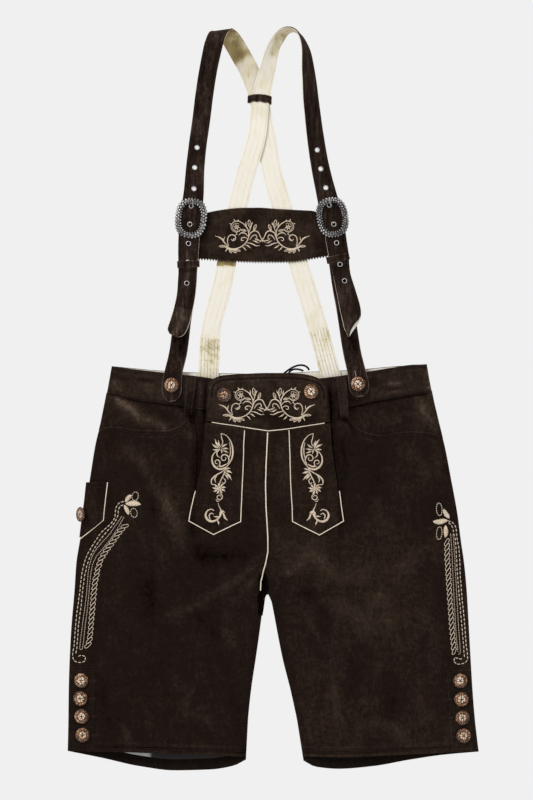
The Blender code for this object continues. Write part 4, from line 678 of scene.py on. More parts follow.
def shell(name, patches, thick, mat, round_by=0.5, nap=0.0, dips=(), values=None, nap_and_shade_scale=1.0):
    """A closed wall under one or more grids of its outer face, with rounded edges. dips are (path, half width, depth)."""
    every = np.vstack([np.asarray(p, float).reshape(-1, 3) for p in patches])
    keys = np.round(every * 500).astype(np.int64)
    _, first, inverse = np.unique(keys, axis=0, return_index=True, return_inverse=True)
    inverse, tops = inverse.reshape(-1), every[first]
    quads, start = [], 0
    for p in patches:
        r, c = np.shape(p)[:2]
        ids = inverse[start : start + r * c].reshape(r, c)
        start += r * c
        q = np.stack([ids[:-1, :-1], ids[:-1, 1:], ids[1:, 1:], ids[1:, :-1]], -1).reshape(-1, 4)
        x, y = tops[q][..., 0], tops[q][..., 1]
        area = (x * np.roll(y, -1, 1) - np.roll(x, -1, 1) * y).sum(1)
        q[area < 0] = q[area < 0][:, ::-1]
        quads.append(q[np.abs(area) > 1e-7])
    quads = np.vstack(quads)
    n = len(tops)
    a, b = quads.reshape(-1), np.roll(quads, -1, axis=1).reshape(-1)
    a, b = a[a != b], b[a != b]
    rim = ~np.isin(a * n + b, b * n + a)
    a, b = a[rim], b[rim]
    d = (tops[b] - tops[a])[:, :2]
    d /= np.maximum(np.linalg.norm(d, axis=1), 1e-9)[:, None]
    inward = np.zeros((n, 2))
    for ends in (a, b):
        np.add.at(inward, ends, np.stack([-d[:, 1], d[:, 0]], 1))
    border = np.unique(np.concatenate([a, b]))
    long = np.linalg.norm(inward[border], axis=1)
    inward[border] /= np.maximum(long * np.maximum(long / 2, 0.6), 1e-9)[:, None]
    place = np.full(n, -1)
    place[border] = np.arange(len(border))
    r = min(round_by, thick * 0.5)
    lifted = tops.copy()
    for path, half, deep in dips:
        lifted[:, 2] -= deep * np.exp(-((off_path(tops[:, 0], tops[:, 1], path) / half) ** 2))
    low = tops.copy()
    low[:, 2] -= thick
    edge_points = tops[border]
    top, bottom = lifted.copy(), low
    inset = np.zeros((n, 3))
    inset[border, :2] = inward[border] * r
    top, bottom = top + inset, bottom + inset
    rings = []
    for out, down in ((0.29, 0.29 * r), (0.0, r), (0.0, thick - r)):
        ring = edge_points.copy()
        ring[:, :2] += inward[border] * r * out
        ring[:, 2] -= down
        rings.append(ring)
    points = np.vstack([top, bottom, *rings])
    faces = [list(q) if len(set(q)) == 4 else [v for k, v in enumerate(q) if v != q[k - 1]] for q in quads.tolist()]
    faces += [[v + n for v in reversed(f)] for f in faces]
    chain = [lambda v: v, *(lambda v, k=k: 2 * n + k * len(border) + place[v] for k in range(3)), lambda v: v + n]
    for upper, lower in zip(chain, chain[1:]):
        faces += np.stack([upper(b), upper(a), lower(a), lower(b)], 1).tolist()
    marks = np.zeros(len(points))
    marks[2 * n :] = 1.0
    marks[border] = 0.55
    ground = nap_and_shade_at(points[:, 0], points[:, 1]) * nap_and_shade_scale + nap
    # Painted shade in a sewn groove, and a painted highlight on the ridge beside it.
    for path, half, deep in dips:
        off = off_path(points[:, 0], points[:, 1], path)
        ground = ground + deep * (0.9 * np.exp(-(((off - half * 2.1) / half) ** 2)) - 2.6 * np.exp(-((off / half) ** 2)))
    kept = {"nap": ground, "edge": marks}
    kept.update({key: rule(points) for key, rule in (values or {}).items()})
    return make(name, points, faces, mat, kept)


def grid_between(low, high, across, along, height):
    u, v = np.linspace(0, 1, across + 1), np.linspace(0, 1, along + 1)[:, None]
    (xa, ya), (xb, yb) = low(u), high(u)
    x, y = xa + (xb - xa) * v, ya + (yb - ya) * v
    return np.stack([x, y, height(x, y)], -1)


# ---------------------------------------------------------------- thread
def threads(name, starts, ends, radius, mat, up=None, arch=0.35, sides=4):
    """Stitches joined in one mesh: each dives in at both ends and stands up between them."""
    a, b = np.asarray(starts, float), np.asarray(ends, float)
    n = len(a)
    up = np.tile([0.0, 0.0, 1.0], (n, 1)) if up is None else np.asarray(up, float)
    radius = np.broadcast_to(np.asarray(radius, float), n)
    along = b - a
    size = np.linalg.norm(along, axis=1)[:, None]
    along = along / np.maximum(size, 1e-6)
    side = np.cross(up, along)
    side /= np.maximum(np.linalg.norm(side, axis=1), 1e-9)[:, None]
    rise = np.cross(along, side)
    profile = ((0.0, 0.5, -0.5), (0.24, 1.0, 0.7), (0.76, 1.0, 0.7), (1.0, 0.5, -0.5))
    turns = np.arange(sides) * 2 * math.pi / sides
    rings = []
    for t, fat, high in profile:
        centre = a + (b - a) * t + rise * (radius * arch * 2 * high)[:, None]
        ring = centre[:, None, :] + (side[:, None, :] * np.cos(turns)[None, :, None]
                                     + rise[:, None, :] * np.sin(turns)[None, :, None]) * (radius * fat)[:, None, None]
        rings.append(ring)
    points = np.stack(rings, 1).reshape(-1, 3)
    k, m = np.arange(sides), len(profile)
    j = (k + 1) % sides
    one = np.concatenate([np.stack([i * sides + k, i * sides + j, (i + 1) * sides + j, (i + 1) * sides + k], 1)
                          for i in range(m - 1)])
    every = (one[None] + (np.arange(n) * m * sides)[:, None, None]).reshape(-1, 4).tolist()
    first, last = k[::-1], (m - 1) * sides + k
    caps = (np.stack([first, last])[None] + (np.arange(n) * m * sides)[:, None, None]).reshape(-1, sides).tolist()
    return make(name, points, every + caps, mat)


def seam(path, pitch, long, height, jitter=0.06, lift=0.12):
    """Starts and ends of running stitches along a path over a surface."""
    p = even(np.asarray(path, float), pitch)
    heading = np.diff(p, axis=0)
    heading /= np.linalg.norm(heading, axis=1)[:, None]
    mid = (p[:-1] + p[1:]) / 2 + RNG.normal(0, jitter, (len(p) - 1, 2))
    a, b = mid - heading * long / 2, mid + heading * long / 2
    put = lambda q: np.stack([q[:, 0], q[:, 1], height(q[:, 0], q[:, 1]) + lift], 1)
    return put(a), put(b)


class Stitches:
    """Collects stitches of one kind, and makes one mesh of them."""

    def __init__(self):
        self.a, self.b, self.up, self.r = [], [], [], []

    def put(self, a, b, radius, up=None):
        self.a.append(a)
        self.b.append(b)
        self.up.append(np.tile([0.0, 0.0, 1.0], (len(a), 1)) if up is None else up)
        self.r.append(np.broadcast_to(np.asarray(radius, float), len(a)))

    def seam(self, path, pitch, long, radius, height, **more):
        self.put(*seam(path, pitch, long, height, **more), radius)

    def mesh(self, name, mat, slot, **more):
        made = threads(name, np.vstack(self.a), np.vstack(self.b), np.concatenate(self.r), mat, np.vstack(self.up), **more)
        return settle(made, slot)

# ---------------------------------------------------------------- the shorts' back
BACK_TOP = table(
    "x y", (-233.5, 47.0), (-163, 40.5), (-125, 38.3), (-98, 37.2), (-40, 36.2), (-8, 36.0), (18, 37.0), (45, 38.5),
    (83, 39.8), (135, 43.0), (174, 46.5), (224, 50.0),
)
BAND_DEEP, FACING_DEEP = 38.0, 36.0
LACE_GAP_TOP, LACE_GAP_FOOT = 14.0, 3.0
FACING_Z = SUEDE + GAP + LINING


def back_top(x):
    return at(BACK_TOP, "y", x, "x")


def resample(rows, count):
    """More rows between given rows of points, along smooth curves."""
    rows = np.array(rows, float)
    s = np.concatenate([[0], np.cumsum(np.linalg.norm(np.diff(rows, axis=0), axis=2).mean(1))])
    marks = np.linspace(0, s[-1], count)
    out = np.empty((count, *rows.shape[1:]))
    for k in range(rows.shape[2]):
        for j in range(rows.shape[1]):
            out[:, j, k] = np.interp(marks, s, rows[:, j, k])
    return out


def back_leg(word, side):
    outer, inner = (outer_left, inner_left) if side < 0 else (outer_right, inner_right)
    shares = np.linspace(0, 1, 41)
    base = np.stack([outer(-513) + (inner(-513) - outer(-513)) * shares, at(BACK_HEM, word, shares, "share")], 1)
    rows = [base]
    for y in (*np.arange(-466, CROTCH_Y - 5, 22.0), CROTCH_Y, -247, -217, -165, -112, -76, -40):
        rows.append(np.stack([outer(y) + (inner(y) - outer(y)) * shares, np.full(41, float(y))], 1))
    x = outer(5) + (centre_x(0) + 0.4 * side - outer(5)) * shares
    rows.append(np.stack([x, back_top(x) - BAND_DEEP - GAP], 1))
    grid = resample(rows, 56)
    z = SUEDE + 0.0 * grid[..., 0]
    grid = np.dstack([grid, z])
    piece = shell(f"back_leg_{word}_cloth", [grid], SUEDE, inner_suede, nap=0.0, nap_and_shade_scale=0.0)
    return settle(piece, "suede_inner", f"back_leg_{word}")


def back_band(word, side, deep, z, thick, inset, drop, mat, kind, slot):
    outer = outer_left if side < 0 else outer_right

    def low(u):
        x0 = outer(back_top(side * 230) - deep) - side * inset
        x1 = centre_x(0) + side * (LACE_GAP_FOOT / 2 + inset / 2)
        x = x0 + (x1 - x0) * u
        return x, back_top(x) - deep

    def high(u):
        x0 = outer(47) - side * inset
        x1 = centre_x(30) + side * (LACE_GAP_TOP / 2 + inset / 2)
        x = x0 + (x1 - x0) * u
        return x, back_top(x) - drop

    grid = grid_between(low, high, 64, 8, lambda x, y: z + 0.0 * x)
    wave = lambda p: 0.25 * ripple(p[:, 0], p[:, 1], 31, 30)
    piece = shell(f"{kind}_{word}_cloth", [grid], thick, mat, nap_and_shade_scale=0.0, values={"nap": wave})
    return settle(piece, slot, f"{kind}_{word}")


def back_lining(word, side):
    outer, inner = (outer_left, inner_left) if side < 0 else (outer_right, inner_right)

    def shares(y):
        return np.linspace(0.03 + 0.075 * float(smooth((y + 130) / 40)), 0.95, 41)

    s = shares(-505)
    rows = [np.stack([outer(-505) + (inner(-505) - outer(-505)) * s, at(BACK_HEM, word, s, "share") + 15.0 + 2 * s], 1)]
    for y in (-480, -450, -422, -380, -345, -310, CROTCH_Y, -240, -205, -165, -130, -110, -90, -60):
        s = shares(y)
        rows.append(np.stack([outer(y) + (inner(y) - outer(y)) * s, np.full(41, float(y))], 1))
    s = shares(0)
    top = float(back_top(-8)) - FACING_DEEP - 3.0
    rows.append(np.stack([outer(0) + (centre_x(0) - outer(0)) * s, np.full(41, top)], 1))
    grid = resample(rows, 44)
    grid = np.dstack([grid, FACING_Z + 0.0 * grid[..., 0]])
    # Painted shade: the lining is darkened from about x = -184 inwards, where it lies deep inside the legs.
    piece = shell(f"back_lining_{word}_cloth", [grid], LINING, pale_lining, nap_and_shade_scale=0.0,
                  values={"nap": lambda p: 0.2 * ripple(p[:, 0], p[:, 1], 33, 50) - 1.5 * smooth((p[:, 0] + 184) / 18)})
    return settle(piece, "pale_lining", f"back_lining_{word}")


backs = {}
for word, side in (("left", -1), ("right", 1)):
    backs[f"leg_{word}"] = back_leg(word, side)
    backs[f"band_{word}"] = back_band(word, side, BAND_DEEP, SUEDE, SUEDE, 0.0, 0.0, suede, "back_waistband", "suede")
    backs[f"facing_{word}"] = back_band(word, side, FACING_DEEP, FACING_Z, LINING, 11.0, 0.8, cream_lining,
                                        "back_facing", "cream_lining")
    backs[f"lining_{word}"] = back_lining(word, side)

# ---------------------------------------------------------------- the shorts' front
POCKET = {
    "left": ((-252.2, -45.5), (-236.5, -40.5), (-217, -41.5), (-200.5, -45), (-175.5, -45.7), (-157, -46),
             (-144.5, -43.5), (-134, -38.5), (-126, -30), (-121, -18), (-119.2, -7)),
    "right": ((247.6, -58), (235.5, -51), (221, -48.5), (199.5, -47.5), (177.5, -49.5), (159.5, -53),
              (141.5, -50.5), (127, -44.5), (116, -36.5), (108.5, -27.5), (98, -12), (84.8, -6)),
}
V_SEAM = table("x y", (-110, -31.5), (-88, -34.5), (-40.5, -41.5), (-7, -47), (24, -43.8), (75.5, -35.5), (100, -32.5))
BAND_SEAM = {
    "left": ((-239.6, 8), (-224, 6), (-209.5, 0.5), (-195.5, -3), (-173.5, -5), (-152, -8), (-128.5, -11.5),
             (-111, -14.5), (-96.5, -16), (-50, -18)),
    "right": ((231.6, 9), (205, 6), (174.5, 0), (144.5, -5), (113, -11), (97, -14.5), (83.5, -15), (35, -17)),
}
BAND_TOP = {
    "left": ((-233.3, 46.5), (-199.5, 42.5), (-162, 38.2), (-126.5, 34.2), (-107.5, 32.2), (-83.5, 28.5), (-50, 24)),
    "right": ((223.6, 49.5), (205, 49.2), (174.5, 45), (136.5, 38.7), (106.5, 34.2), (83.5, 31), (35, 26)),
}


def v_seam(x):
    return np.interp(x, V_SEAM["x"], V_SEAM["y"])


def sample(path, count=60):
    x, y = path(np.linspace(0, 1, count))
    return np.stack([x, y], 1)


def inset_path(path, by):
    """The same path moved to its left by a distance."""
    p = np.asarray(path, float)
    d = np.gradient(p, axis=0)
    d /= np.linalg.norm(d, axis=1)[:, None]
    return p + np.stack([-d[:, 1], d[:, 0]], 1) * by


brown, cream_sewn, dark_sewn, lining_sewn = Stitches(), Stitches(), Stitches(), Stitches()
N_HIP, N_FLAP = 46, 32
front = {}


def hem_line(word, up):
    """A line along the front hem, a little above it."""
    outer, inner = (outer_left, inner_left) if word == "left" else (outer_right, inner_right)
    s = np.linspace(0.004, 0.996, 60)
    x = outer(-513) + (inner(-513) - outer(-513)) * s
    return np.stack([x, at(FRONT_HEM, word, s, "share") + up], 1)


def front_leg(word, side):
    """Leg and half the flap in one cut, parted by the slit."""
    outer, inner = (outer_left, inner_left) if side < 0 else (outer_right, inner_right)
    hip_edge, flap_edge = f"{word}_hip", f"{word}_flap"
    pocket = line(*POCKET[word])
    span = float(inner(SLIT_Y) - outer(SLIT_Y))
    hip_share = float((at(SLIT, hip_edge, SLIT_Y) - outer(SLIT_Y)) / span)
    slit_share = float((at(SLIT, flap_edge, SLIT_Y) - outer(SLIT_Y)) / span)

    def shares(y):
        wide = float(smooth((SLIT_Y - y) / 60.0))
        flap = slit_share + wide * 0.012
        return np.concatenate([np.linspace(0, hip_share, N_HIP + 1), np.linspace(flap, 1, N_FLAP + 1)])

    cols = shares(-513)
    x0 = outer(-513) + (inner(-513) - outer(-513)) * cols
    hem = at(FRONT_HEM, word, cols, "share")
    lower = []
    for v in np.linspace(0, 1, 10):
        y = hem + (-490 - hem) * v
        x = x0 if v == 0 else outer(y) + (inner(y) - outer(y)) * cols
        lower.append(np.stack([x, y, front_z(x, np.maximum(y, -513))], 1))
    for y in np.linspace(-490, SLIT_Y, 118)[1:]:
        c = shares(y)
        x = outer(y) + (inner(y) - outer(y)) * c
        lower.append(np.stack([x, np.full_like(x, y), front_z(x, y)], 1))
    lower = np.array(lower)

    def patch(bottom, first, top, edge0, edge1, height, steps):
        count = len(bottom)
        u = np.linspace(0, 1, count)
        tx, ty = top(u)
        bx = outer(SLIT_Y) + span * bottom
        rows = [lower[-1][first : first + count]]
        for i in range(1, steps + 1):
            v = i / steps
            y = SLIT_Y + (ty - SLIT_Y) * v
            x = bx + (tx - bx) * v
            moves = []
            for edge, k in ((edge0, 0), (edge1, -1)):
                yy = SLIT_Y + (ty[k] - SLIT_Y) * v
                moves.append(float(edge(yy)) - (bx[k] + (tx[k] - bx[k]) * v))
            x = x + moves[0] * (1 - u) + moves[1] * u
            rows.append(np.stack([x, y, height(x, y)], 1))
        return np.array(rows)

    cols = shares(SLIT_Y)
    hip = patch(cols[: N_HIP + 1], 0, pocket, outer, lambda y: at(SLIT, hip_edge, y), front_z, 34)

    def flap_top(u):
        x1 = at(SLIT, flap_edge, -34)
        x = x1 + (centre_x(-47) + 0.25 * side - x1) * u
        return x, v_seam(x) - 1.5

    flap = patch(cols[N_HIP + 1 :], N_HIP + 1, flap_top, lambda y: at(SLIT, flap_edge, y), inner, flap_z, 32)
    edge_down = inset_path(sample(pocket), -5.2 if side < 0 else 5.2)
    edge_down = edge_down[edge_down[:, 0] < -124] if side < 0 else edge_down[edge_down[:, 0] > 96]
    dips = [(edge_down, 1.7, 0.30), (hem_line(word, 7.2), 1.8, 0.34), (hem_line(word, 9.2), 1.8, 0.25)]
    piece = shell(f"front_leg_{word}_cloth", [lower, hip, flap], SUEDE, suede, dips=dips)
    top = lambda x, y: front_z(x, np.maximum(y, -513))
    brown.seam(edge_down, 3.1, 2.3, 0.26, lambda x, y: top(x, y) - 0.26)
    for up in (7.2, 9.6):
        brown.seam(hem_line(word, up), 3.2, 2.4, 0.25, lambda x, y: top(x, y) - 0.28)
    return settle(piece, "suede", f"front_leg_{word}")


front["leg_left"] = front_leg("left", -1)
front["leg_right"] = front_leg("right", 1)

for word in ("left", "right"):
    seam_at, top_at = sample(line(*BAND_SEAM[word])), sample(line(*BAND_TOP[word]))
    sign = 1 if word == "left" else -1
    low_row, high_row = inset_path(seam_at, 3.2 * sign), inset_path(top_at, -3.4 * sign)
    piece = shell(
        f"front_waistband_{word}_cloth",
        [grid_between(line(*BAND_SEAM[word]), line(*BAND_TOP[word]), 74, 18, band_z)],
        SUEDE, suede, dips=[(low_row, 1.5, 0.22), (high_row, 1.6, 0.24)], nap=0.04,
    )
    front[f"band_{word}"] = settle(piece, "suede", f"front_waistband_{word}")
    for row in (low_row, high_row):
        keep = row[(row[:, 0] < -96) | (row[:, 0] > 84)]
        brown.seam(keep, 3.1, 2.3, 0.25, lambda x, y: band_z(x, y) - 0.2)


def hip_facing(word):
    """The cloth that shows in the pocket's mouth, carried on under the belt loop."""
    count = 66
    u = np.linspace(0, 1, count + 1)
    if word == "left":
        above, below = (*BAND_SEAM[word][:7], (-112.0, -14.4)), (*POCKET[word][:10], (-116.0, -25.0))
    else:
        above, below = (*BAND_SEAM[word][:5], (98.5, -14.4)), (*POCKET[word][:10], (99.5, -15.6))
    sx, sy = line(*above)(u)
    px, py = line(*below)(u)
    rise = np.interp(u, [0, 2 / 9, 3 / 9, 1], [2.0, 2.0, 6.0, 6.0])
    v = np.linspace(0, 1, 14)[:, None]
    main = np.dstack([sx + (px - sx) * v, sy - 0.5 + (py + 0.6 - sy + 0.5) * v])
    up = np.dstack([sx + 0 * v[:4], (sy - 0.5) + rise * np.linspace(0, 1, 4)[:, None]])
    down = np.dstack([px + 0 * v[:6], (py + 0.6) - 14.6 * np.linspace(0, 1, 6)[:, None]])
    put = lambda g: np.dstack([g, under_z(g[..., 0], g[..., 1])])
    piece = shell(f"hip_facing_{word}_cloth", [put(main), put(up), put(down)], SUEDE, suede, nap=0.06)
    return settle(piece, "suede", f"hip_facing_{word}")


front["hip_left"], front["hip_right"] = hip_facing("left"), hip_facing("right")

# Painted shade: the underlap is set darker than the legs, as it lies in the slit's shadow.
underlap = shell(
    "front_underlap_cloth",
    [grid_between(lambda u: (-122 + 226 * u, -150 - 6 * np.sin(math.pi * u)),
                  lambda u: (-114 + 196 * u, -6 - 8 * np.sin(math.pi * u)), 60, 34,
                  lambda x, y: front_z(x, y) - LAY - 0.6)],
    SUEDE, suede, nap=-0.22,
)
front["underlap"] = settle(underlap, "suede_inner", "front_underlap")

FLAP_TOP = ((-95.2, 2), (-94.6, 14), (-92, 22), (-87.5, 27), (-82, 30.5), (-74, 33.3), (-56, 35), (-37.5, 36),
            (-8, 37.1), (17.5, 37), (40, 36.2), (56, 33.3), (69.5, 28), (76.5, 21.5), (80.8, 12), (82.4, 2))


def flap_band():
    top = line(*FLAP_TOP)
    n = 84
    u = np.linspace(0, 1, n + 1)
    left, right = at(SLIT, "left_flap", -17), at(SLIT, "right_flap", -17)
    low_x = -96.2 + (83.4 + 96.2) * u
    mid_x = left + (right - left) * u
    v = np.linspace(0, 1, 19)[:, None]
    low_y = v_seam(low_x) + 1.5
    lower = np.dstack([low_x + (mid_x - low_x) * v, low_y + (2.0 - low_y) * v])
    tx, ty = top(u)
    w = np.linspace(0, 1, 34)[:, None]
    upper = np.dstack([mid_x + (tx - mid_x) * w, 2.0 + (ty - 2.0) * w])
    put = lambda g: np.dstack([g, flap_z(g[..., 0], g[..., 1])])
    inner_row = inset_path(sample(top, 90), -7.2)
    low_row = np.stack([np.linspace(-93, 80, 40), v_seam(np.linspace(-93, 80, 40)) + 4.6], 1)
    piece = shell("flap_band_cloth", [put(lower), put(upper)], SUEDE, suede, nap=0.10,
                  dips=[(inner_row, 1.25, 0.48), (low_row, 1.4, 0.18)])
    for row, step in ((inner_row[3:-3], 3.0), (low_row, 3.0)):
        brown.seam(row, step, 2.2, 0.25, lambda x, y: flap_z(x, y) - 0.22)
    return settle(piece, "suede", "flap_band")


front["flap_band"] = flap_band()

SHIELD = table(
    "v outer_l outer_r inner_l inner_r",
    (-40, -96.6, 83.6, -41.8, 25.2), (-66, -99.2, 85.4, -43.2, 26.2), (-95, -103.0, 89.0, -43.8, 27.0),
    (-131, -109.5, 95.0, -45.6, 28.4), (-159, -116.4, 98.6, -46.8, 30.0), (-176, -119.6, 101.4, -47.8, 30.6),
)
SHIELD_TIP = {"left": (-85.5, -195.2), "right": (68.0, -195.8)}
SHIELD_THICK = 1.2


def shield(word):
    key = word[0]
    out = lambda y: at(SHIELD, f"outer_{key}", y, "v")
    inn = lambda y: at(SHIELD, f"inner_{key}", y, "v")
    tip = SHIELD_TIP[word]
    lift = lambda x, y: on_flap(x, y) + SEWN + SHIELD_THICK
    s = np.linspace(0, 1, 31)
    low = -176.5
    x_top = out(-42) + (inn(-42) - out(-42)) * s
    y_top = v_seam(x_top) - 1.6
    rows = []
    for y in np.linspace(low, -66, 44):
        rows.append(np.stack([out(y) + (inn(y) - out(y)) * s, np.full(31, y)], 1))
    for w in np.linspace(0, 1, 11)[1:]:
        base_x = out(-66) + (inn(-66) - out(-66)) * s
        rows.append(np.stack([base_x + (x_top - base_x) * w, -66 + (y_top + 66) * w], 1))
    rows = np.array(rows)
    share = float((tip[0] - out(low)) / (inn(low) - out(low)))
    near = int(np.argmin(np.abs(s - share)))
    point = []
    for w in np.linspace(0, 1, 8):
        rise = np.where(s <= share, s / share, (1 - s) / (1 - share))
        rise[near] = 1.0
        x = rows[0][:, 0].copy()
        x[near] = x[near] + (tip[0] - x[near]) * w
        point.append(np.stack([x, low + (tip[1] - low) * rise * w], 1))
    point = np.array(point[::-1])
    put = lambda g: np.dstack([g, lift(g[..., 0], g[..., 1])])
    cross = np.stack([np.linspace(float(out(-149.5)) + 1, float(inn(-149.5)) - 1, 20), np.full(20, -149.5)], 1)
    piece = shell(f"shield_{word}_cloth", [put(point), put(rows)], SHIELD_THICK, suede, nap=0.06,
                  dips=[(cross, 1.4, 0.30)])
    brown.seam(cross, 2.9, 2.1, 0.24, lambda x, y: lift(x, y) - 0.24)
    return settle(piece, "suede", f"shield_{word}")


front["shield_left"], front["shield_right"] = shield("left"), shield("right")


def welt(name, path, width, height, thick, node, uneven=0.10, part=0.58):
    """A rounded leather piping: half round above, flat below, a little uneven as hand-laid piping is."""
    corner = np.asarray(path, float)
    p = even(corner, 1.6)
    # Pull the even points back on to the corners, so that they stay crisp.
    for c in corner[1:-1]:
        k = int(np.argmin(np.hypot(*(p - c).T)))
        p[k] = c
    s = np.concatenate([[0], np.cumsum(np.hypot(*np.diff(p, axis=0).T))])
    back, on = np.empty_like(p), np.empty_like(p)
    step = np.diff(p, axis=0)
    step /= np.hypot(*step.T)[:, None]
    back[1:], on[:-1] = step, step
    back[0], on[-1] = step[0], step[-1]
    n = np.stack([-(back + on)[:, 1], (back + on)[:, 0]], 1)
    n /= np.hypot(*n.T)[:, None]
    n /= np.maximum(0.55, (n * np.stack([-on[:, 1], on[:, 0]], 1)).sum(1))[:, None]
    wide = part * width * (1 + uneven * ripple(s, 0 * s, len(name), 19) * 0.5) / 2
    p = p + n * (0.16 * ripple(s, 0 * s, len(name) + 3, 33))[:, None]
    turns = np.linspace(0, math.pi, 9)
    across, high = np.cos(turns), np.sin(turns) ** 0.8
    top = height(p[:, 0], p[:, 1])
    points = np.empty((len(p), 11, 3))
    for i, (c, h) in enumerate(zip(across, high)):
        points[:, i, :2] = p + n * (wide * c)[:, None]
        points[:, i, 2] = top - thick * 0.55 * (1 - h)
    for i, c in ((9, -0.9), (10, 0.9)):
        points[:, i, :2] = p + n * (wide * c)[:, None]
        points[:, i, 2] = top - thick
    m, k = 11, np.arange(11)
    j = (k + 1) % m
    rows = np.arange(len(p) - 1)[:, None] * m
    quads = np.stack([rows + k, rows + j, rows + m + j, rows + m + k], -1).reshape(-1, 4)[:, ::-1].tolist()
    caps = [k.tolist(), ((len(p) - 1) * m + k[::-1]).tolist()]
    return settle(make(name, points.reshape(-1, 3), quads + caps, piping_cream), "cream_piping", node)


def piping_height(x, y):
    return on_flap(x, y) + SEWN + 1.3


HALF = PIPING / 2 + GAP + 0.1
for word, sign in (("left", -1), ("right", 1)):
    key, tip = word[0], SHIELD_TIP[word]
    run = [(float(at(SHIELD, f"outer_{key}", y, "v")) + sign * HALF, y) for y in (SLIT_Y - 3, -145, -159, -177.5)]
    run.append((tip[0], tip[1] - HALF * 1.15))
    run += [(float(at(SHIELD, f"inner_{key}", y, "v")) - sign * HALF, y) for y in (-178, -159, -131, -110, -88, -66, -46)]
    front[f"piping_shield_{word}"] = welt(f"shield_welt_{word}", run, PIPING, piping_height, 1.3, f"piping_shield_{word}")
front["piping_flap"] = welt("flap_welt", [(x, float(v_seam(x))) for x in (-88, -66, -44, -26, -7, 8, 24, 42, 58, 75.5)],
                            PIPING, lambda x, y: flap_z(x, y) + 0.2, 1.4, "piping_flap")
# The centre seam's piping leans off the seam at its foot.
lean = lambda y: float(np.interp(-y, (238, 250, 258, 266, 279), (0, 0.8, 2.3, 4.6, 5.4)))
front["piping_centre"] = welt(
    "centre_welt",
    [(float(centre_x(y)) - lean(y), y) for y in (-49.2, -66, -83, -99, -115, -131, -156, -180, -204, -222, -240, -250, -258, -266, -279)],
    PIPING, piping_height, 1.3, "piping_centre", part=0.74,
)


def crotch_gusset():
    """A near-black sheet of painted shadow in the crotch, which shows a little where the legs part."""
    foot = np.array([(-17.8, -316), (-14.4, -315.4), (-12.9, -306.6), (-11.5, -296.5), (-10.6, -289.2), (-8.8, -285.4), (-5.8, -284.0),
                     (-3.0, -284.8), (-1.6, -287.0)])
    share = np.linspace(0, 1, len(foot))
    low = lambda u: (np.interp(u, share, foot[:, 0]), np.interp(u, share, foot[:, 1]))
    high = lambda u: (-20.3 + 18.1 * u, -263.0 + 0 * u)
    grid = grid_between(low, high, 24, 12, lambda x, y: 2.65 + 0.0 * x)
    return settle(shell("crotch_gusset", [grid], 0.9, dark_inside, round_by=0.3), "suede_inner")


front["gusset"] = crotch_gusset()

# ---------------------------------------------------------------- knife pocket, plackets, belt loops
KNIFE_OUTER = ((-270.6, -121.5), (-273.6, -150), (-277.2, -176), (-280.8, -203))
KNIFE_LIFT = 4.2


def knife_z(x, y):
    inside = np.maximum(x, outer_left(y) + 1.0)
    bulge = KNIFE_LIFT * smooth((-110 - y) / 20) * smooth((y + 205) / 30) * smooth((-240 - x) / 14)
    return front_z(inside, y) + LAY + bulge


def knife_pocket():
    u = np.linspace(0, 1, 16)
    rows = []
    for y in (*np.linspace(-121.5, -175, 24),):
        x0 = float(np.interp(-y, [-p[1] for p in KNIFE_OUTER], [p[0] for p in KNIFE_OUTER]))
        x1 = float(np.interp(-y, [121.5, 145.5, 175], [-241.0, -243.8, -247.0]))
        rows.append(np.stack([x0 + (x1 - x0) * u, np.full(16, y)], 1))
    end = np.stack([-280.6 + (-247.0 + 280.6) * u, -175.6 - 26.4 * (1 - u)], 1)
    for w in np.linspace(0, 1, 11)[1:]:
        rows.append(rows[23] + (end - rows[23]) * w)
    grid = np.array(rows)
    grid = np.dstack([grid, knife_z(grid[..., 0], grid[..., 1])])
    mouth = np.stack([np.linspace(-270, -242, 12), np.full(12, -125.2)], 1)
    piece = shell("knife_pocket_cloth", [grid], SUEDE, suede, nap=0.08, dips=[(mouth, 1.4, 0.25)])
    brown.seam(mouth, 2.9, 2.1, 0.24, lambda x, y: knife_z(x, y) - 0.2)
    return settle(piece, "suede", "knife_pocket")


front["knife_pocket"] = knife_pocket()
front["piping_knife"] = welt(
    "knife_pocket_welt",
    [(-239.4, -121.5), (-240.8, -134), (-242.2, -145.5), (-243.9, -160), (-245.4, -176.4), (-256.8, -186.2),
     (-268.2, -195.2), (-279.6, -204.2)],
    PIPING, lambda x, y: front_z(np.maximum(x, outer_left(y) + 1), y) + LAY - 0.2, 1.3, "piping_knife_pocket",
)


def placket(word, side):
    outer = outer_left if side < 0 else outer_right
    wide = 37.0 if side < 0 else 35.5

    def low(u):
        return outer(-509) - side * (1.2 + 37.5 * u), -509.5 + 0 * u

    def high(u):
        return outer(-394) - side * (1.2 + wide * u), -394.0 + 0 * u

    top = lambda x, y: front_z(x, y) + LAY - 0.3
    v = np.linspace(0.02, 0.98, 30)
    inner_row = np.stack([
        (outer(-509) - side * 35.6) * (1 - v) + (outer(-394) - side * (wide - 2.2)) * v, -509.5 + 115.5 * v], 1)
    u = np.linspace(0.04, 0.94, 14)
    head = np.stack([outer(-394) - side * (1.2 + wide * u), np.full(14, -397.0)], 1)
    piece = shell(f"placket_{word}_cloth", [grid_between(low, high, 16, 46, top)], 1.2, suede, nap=-0.05,
                  dips=[(inner_row, 1.4, 0.2), (head, 1.3, 0.15)])
    for row in (inner_row, head):
        brown.seam(row, 3.0, 2.2, 0.22, lambda x, y: top(x, y) - 0.18)
    return settle(piece, "suede", f"placket_{word}")


front["placket_left"], front["placket_right"] = placket("left", -1), placket("right", 1)

LOOPS = {
    "left": ((-125.3, -109.8, 31.0), (-128.4, -116.6, -23.0)),
    "right": ((92.3, 106.4, 30.5), (98.4, 110.8, -28.5)),
}
LOOP_STAND = 5.8


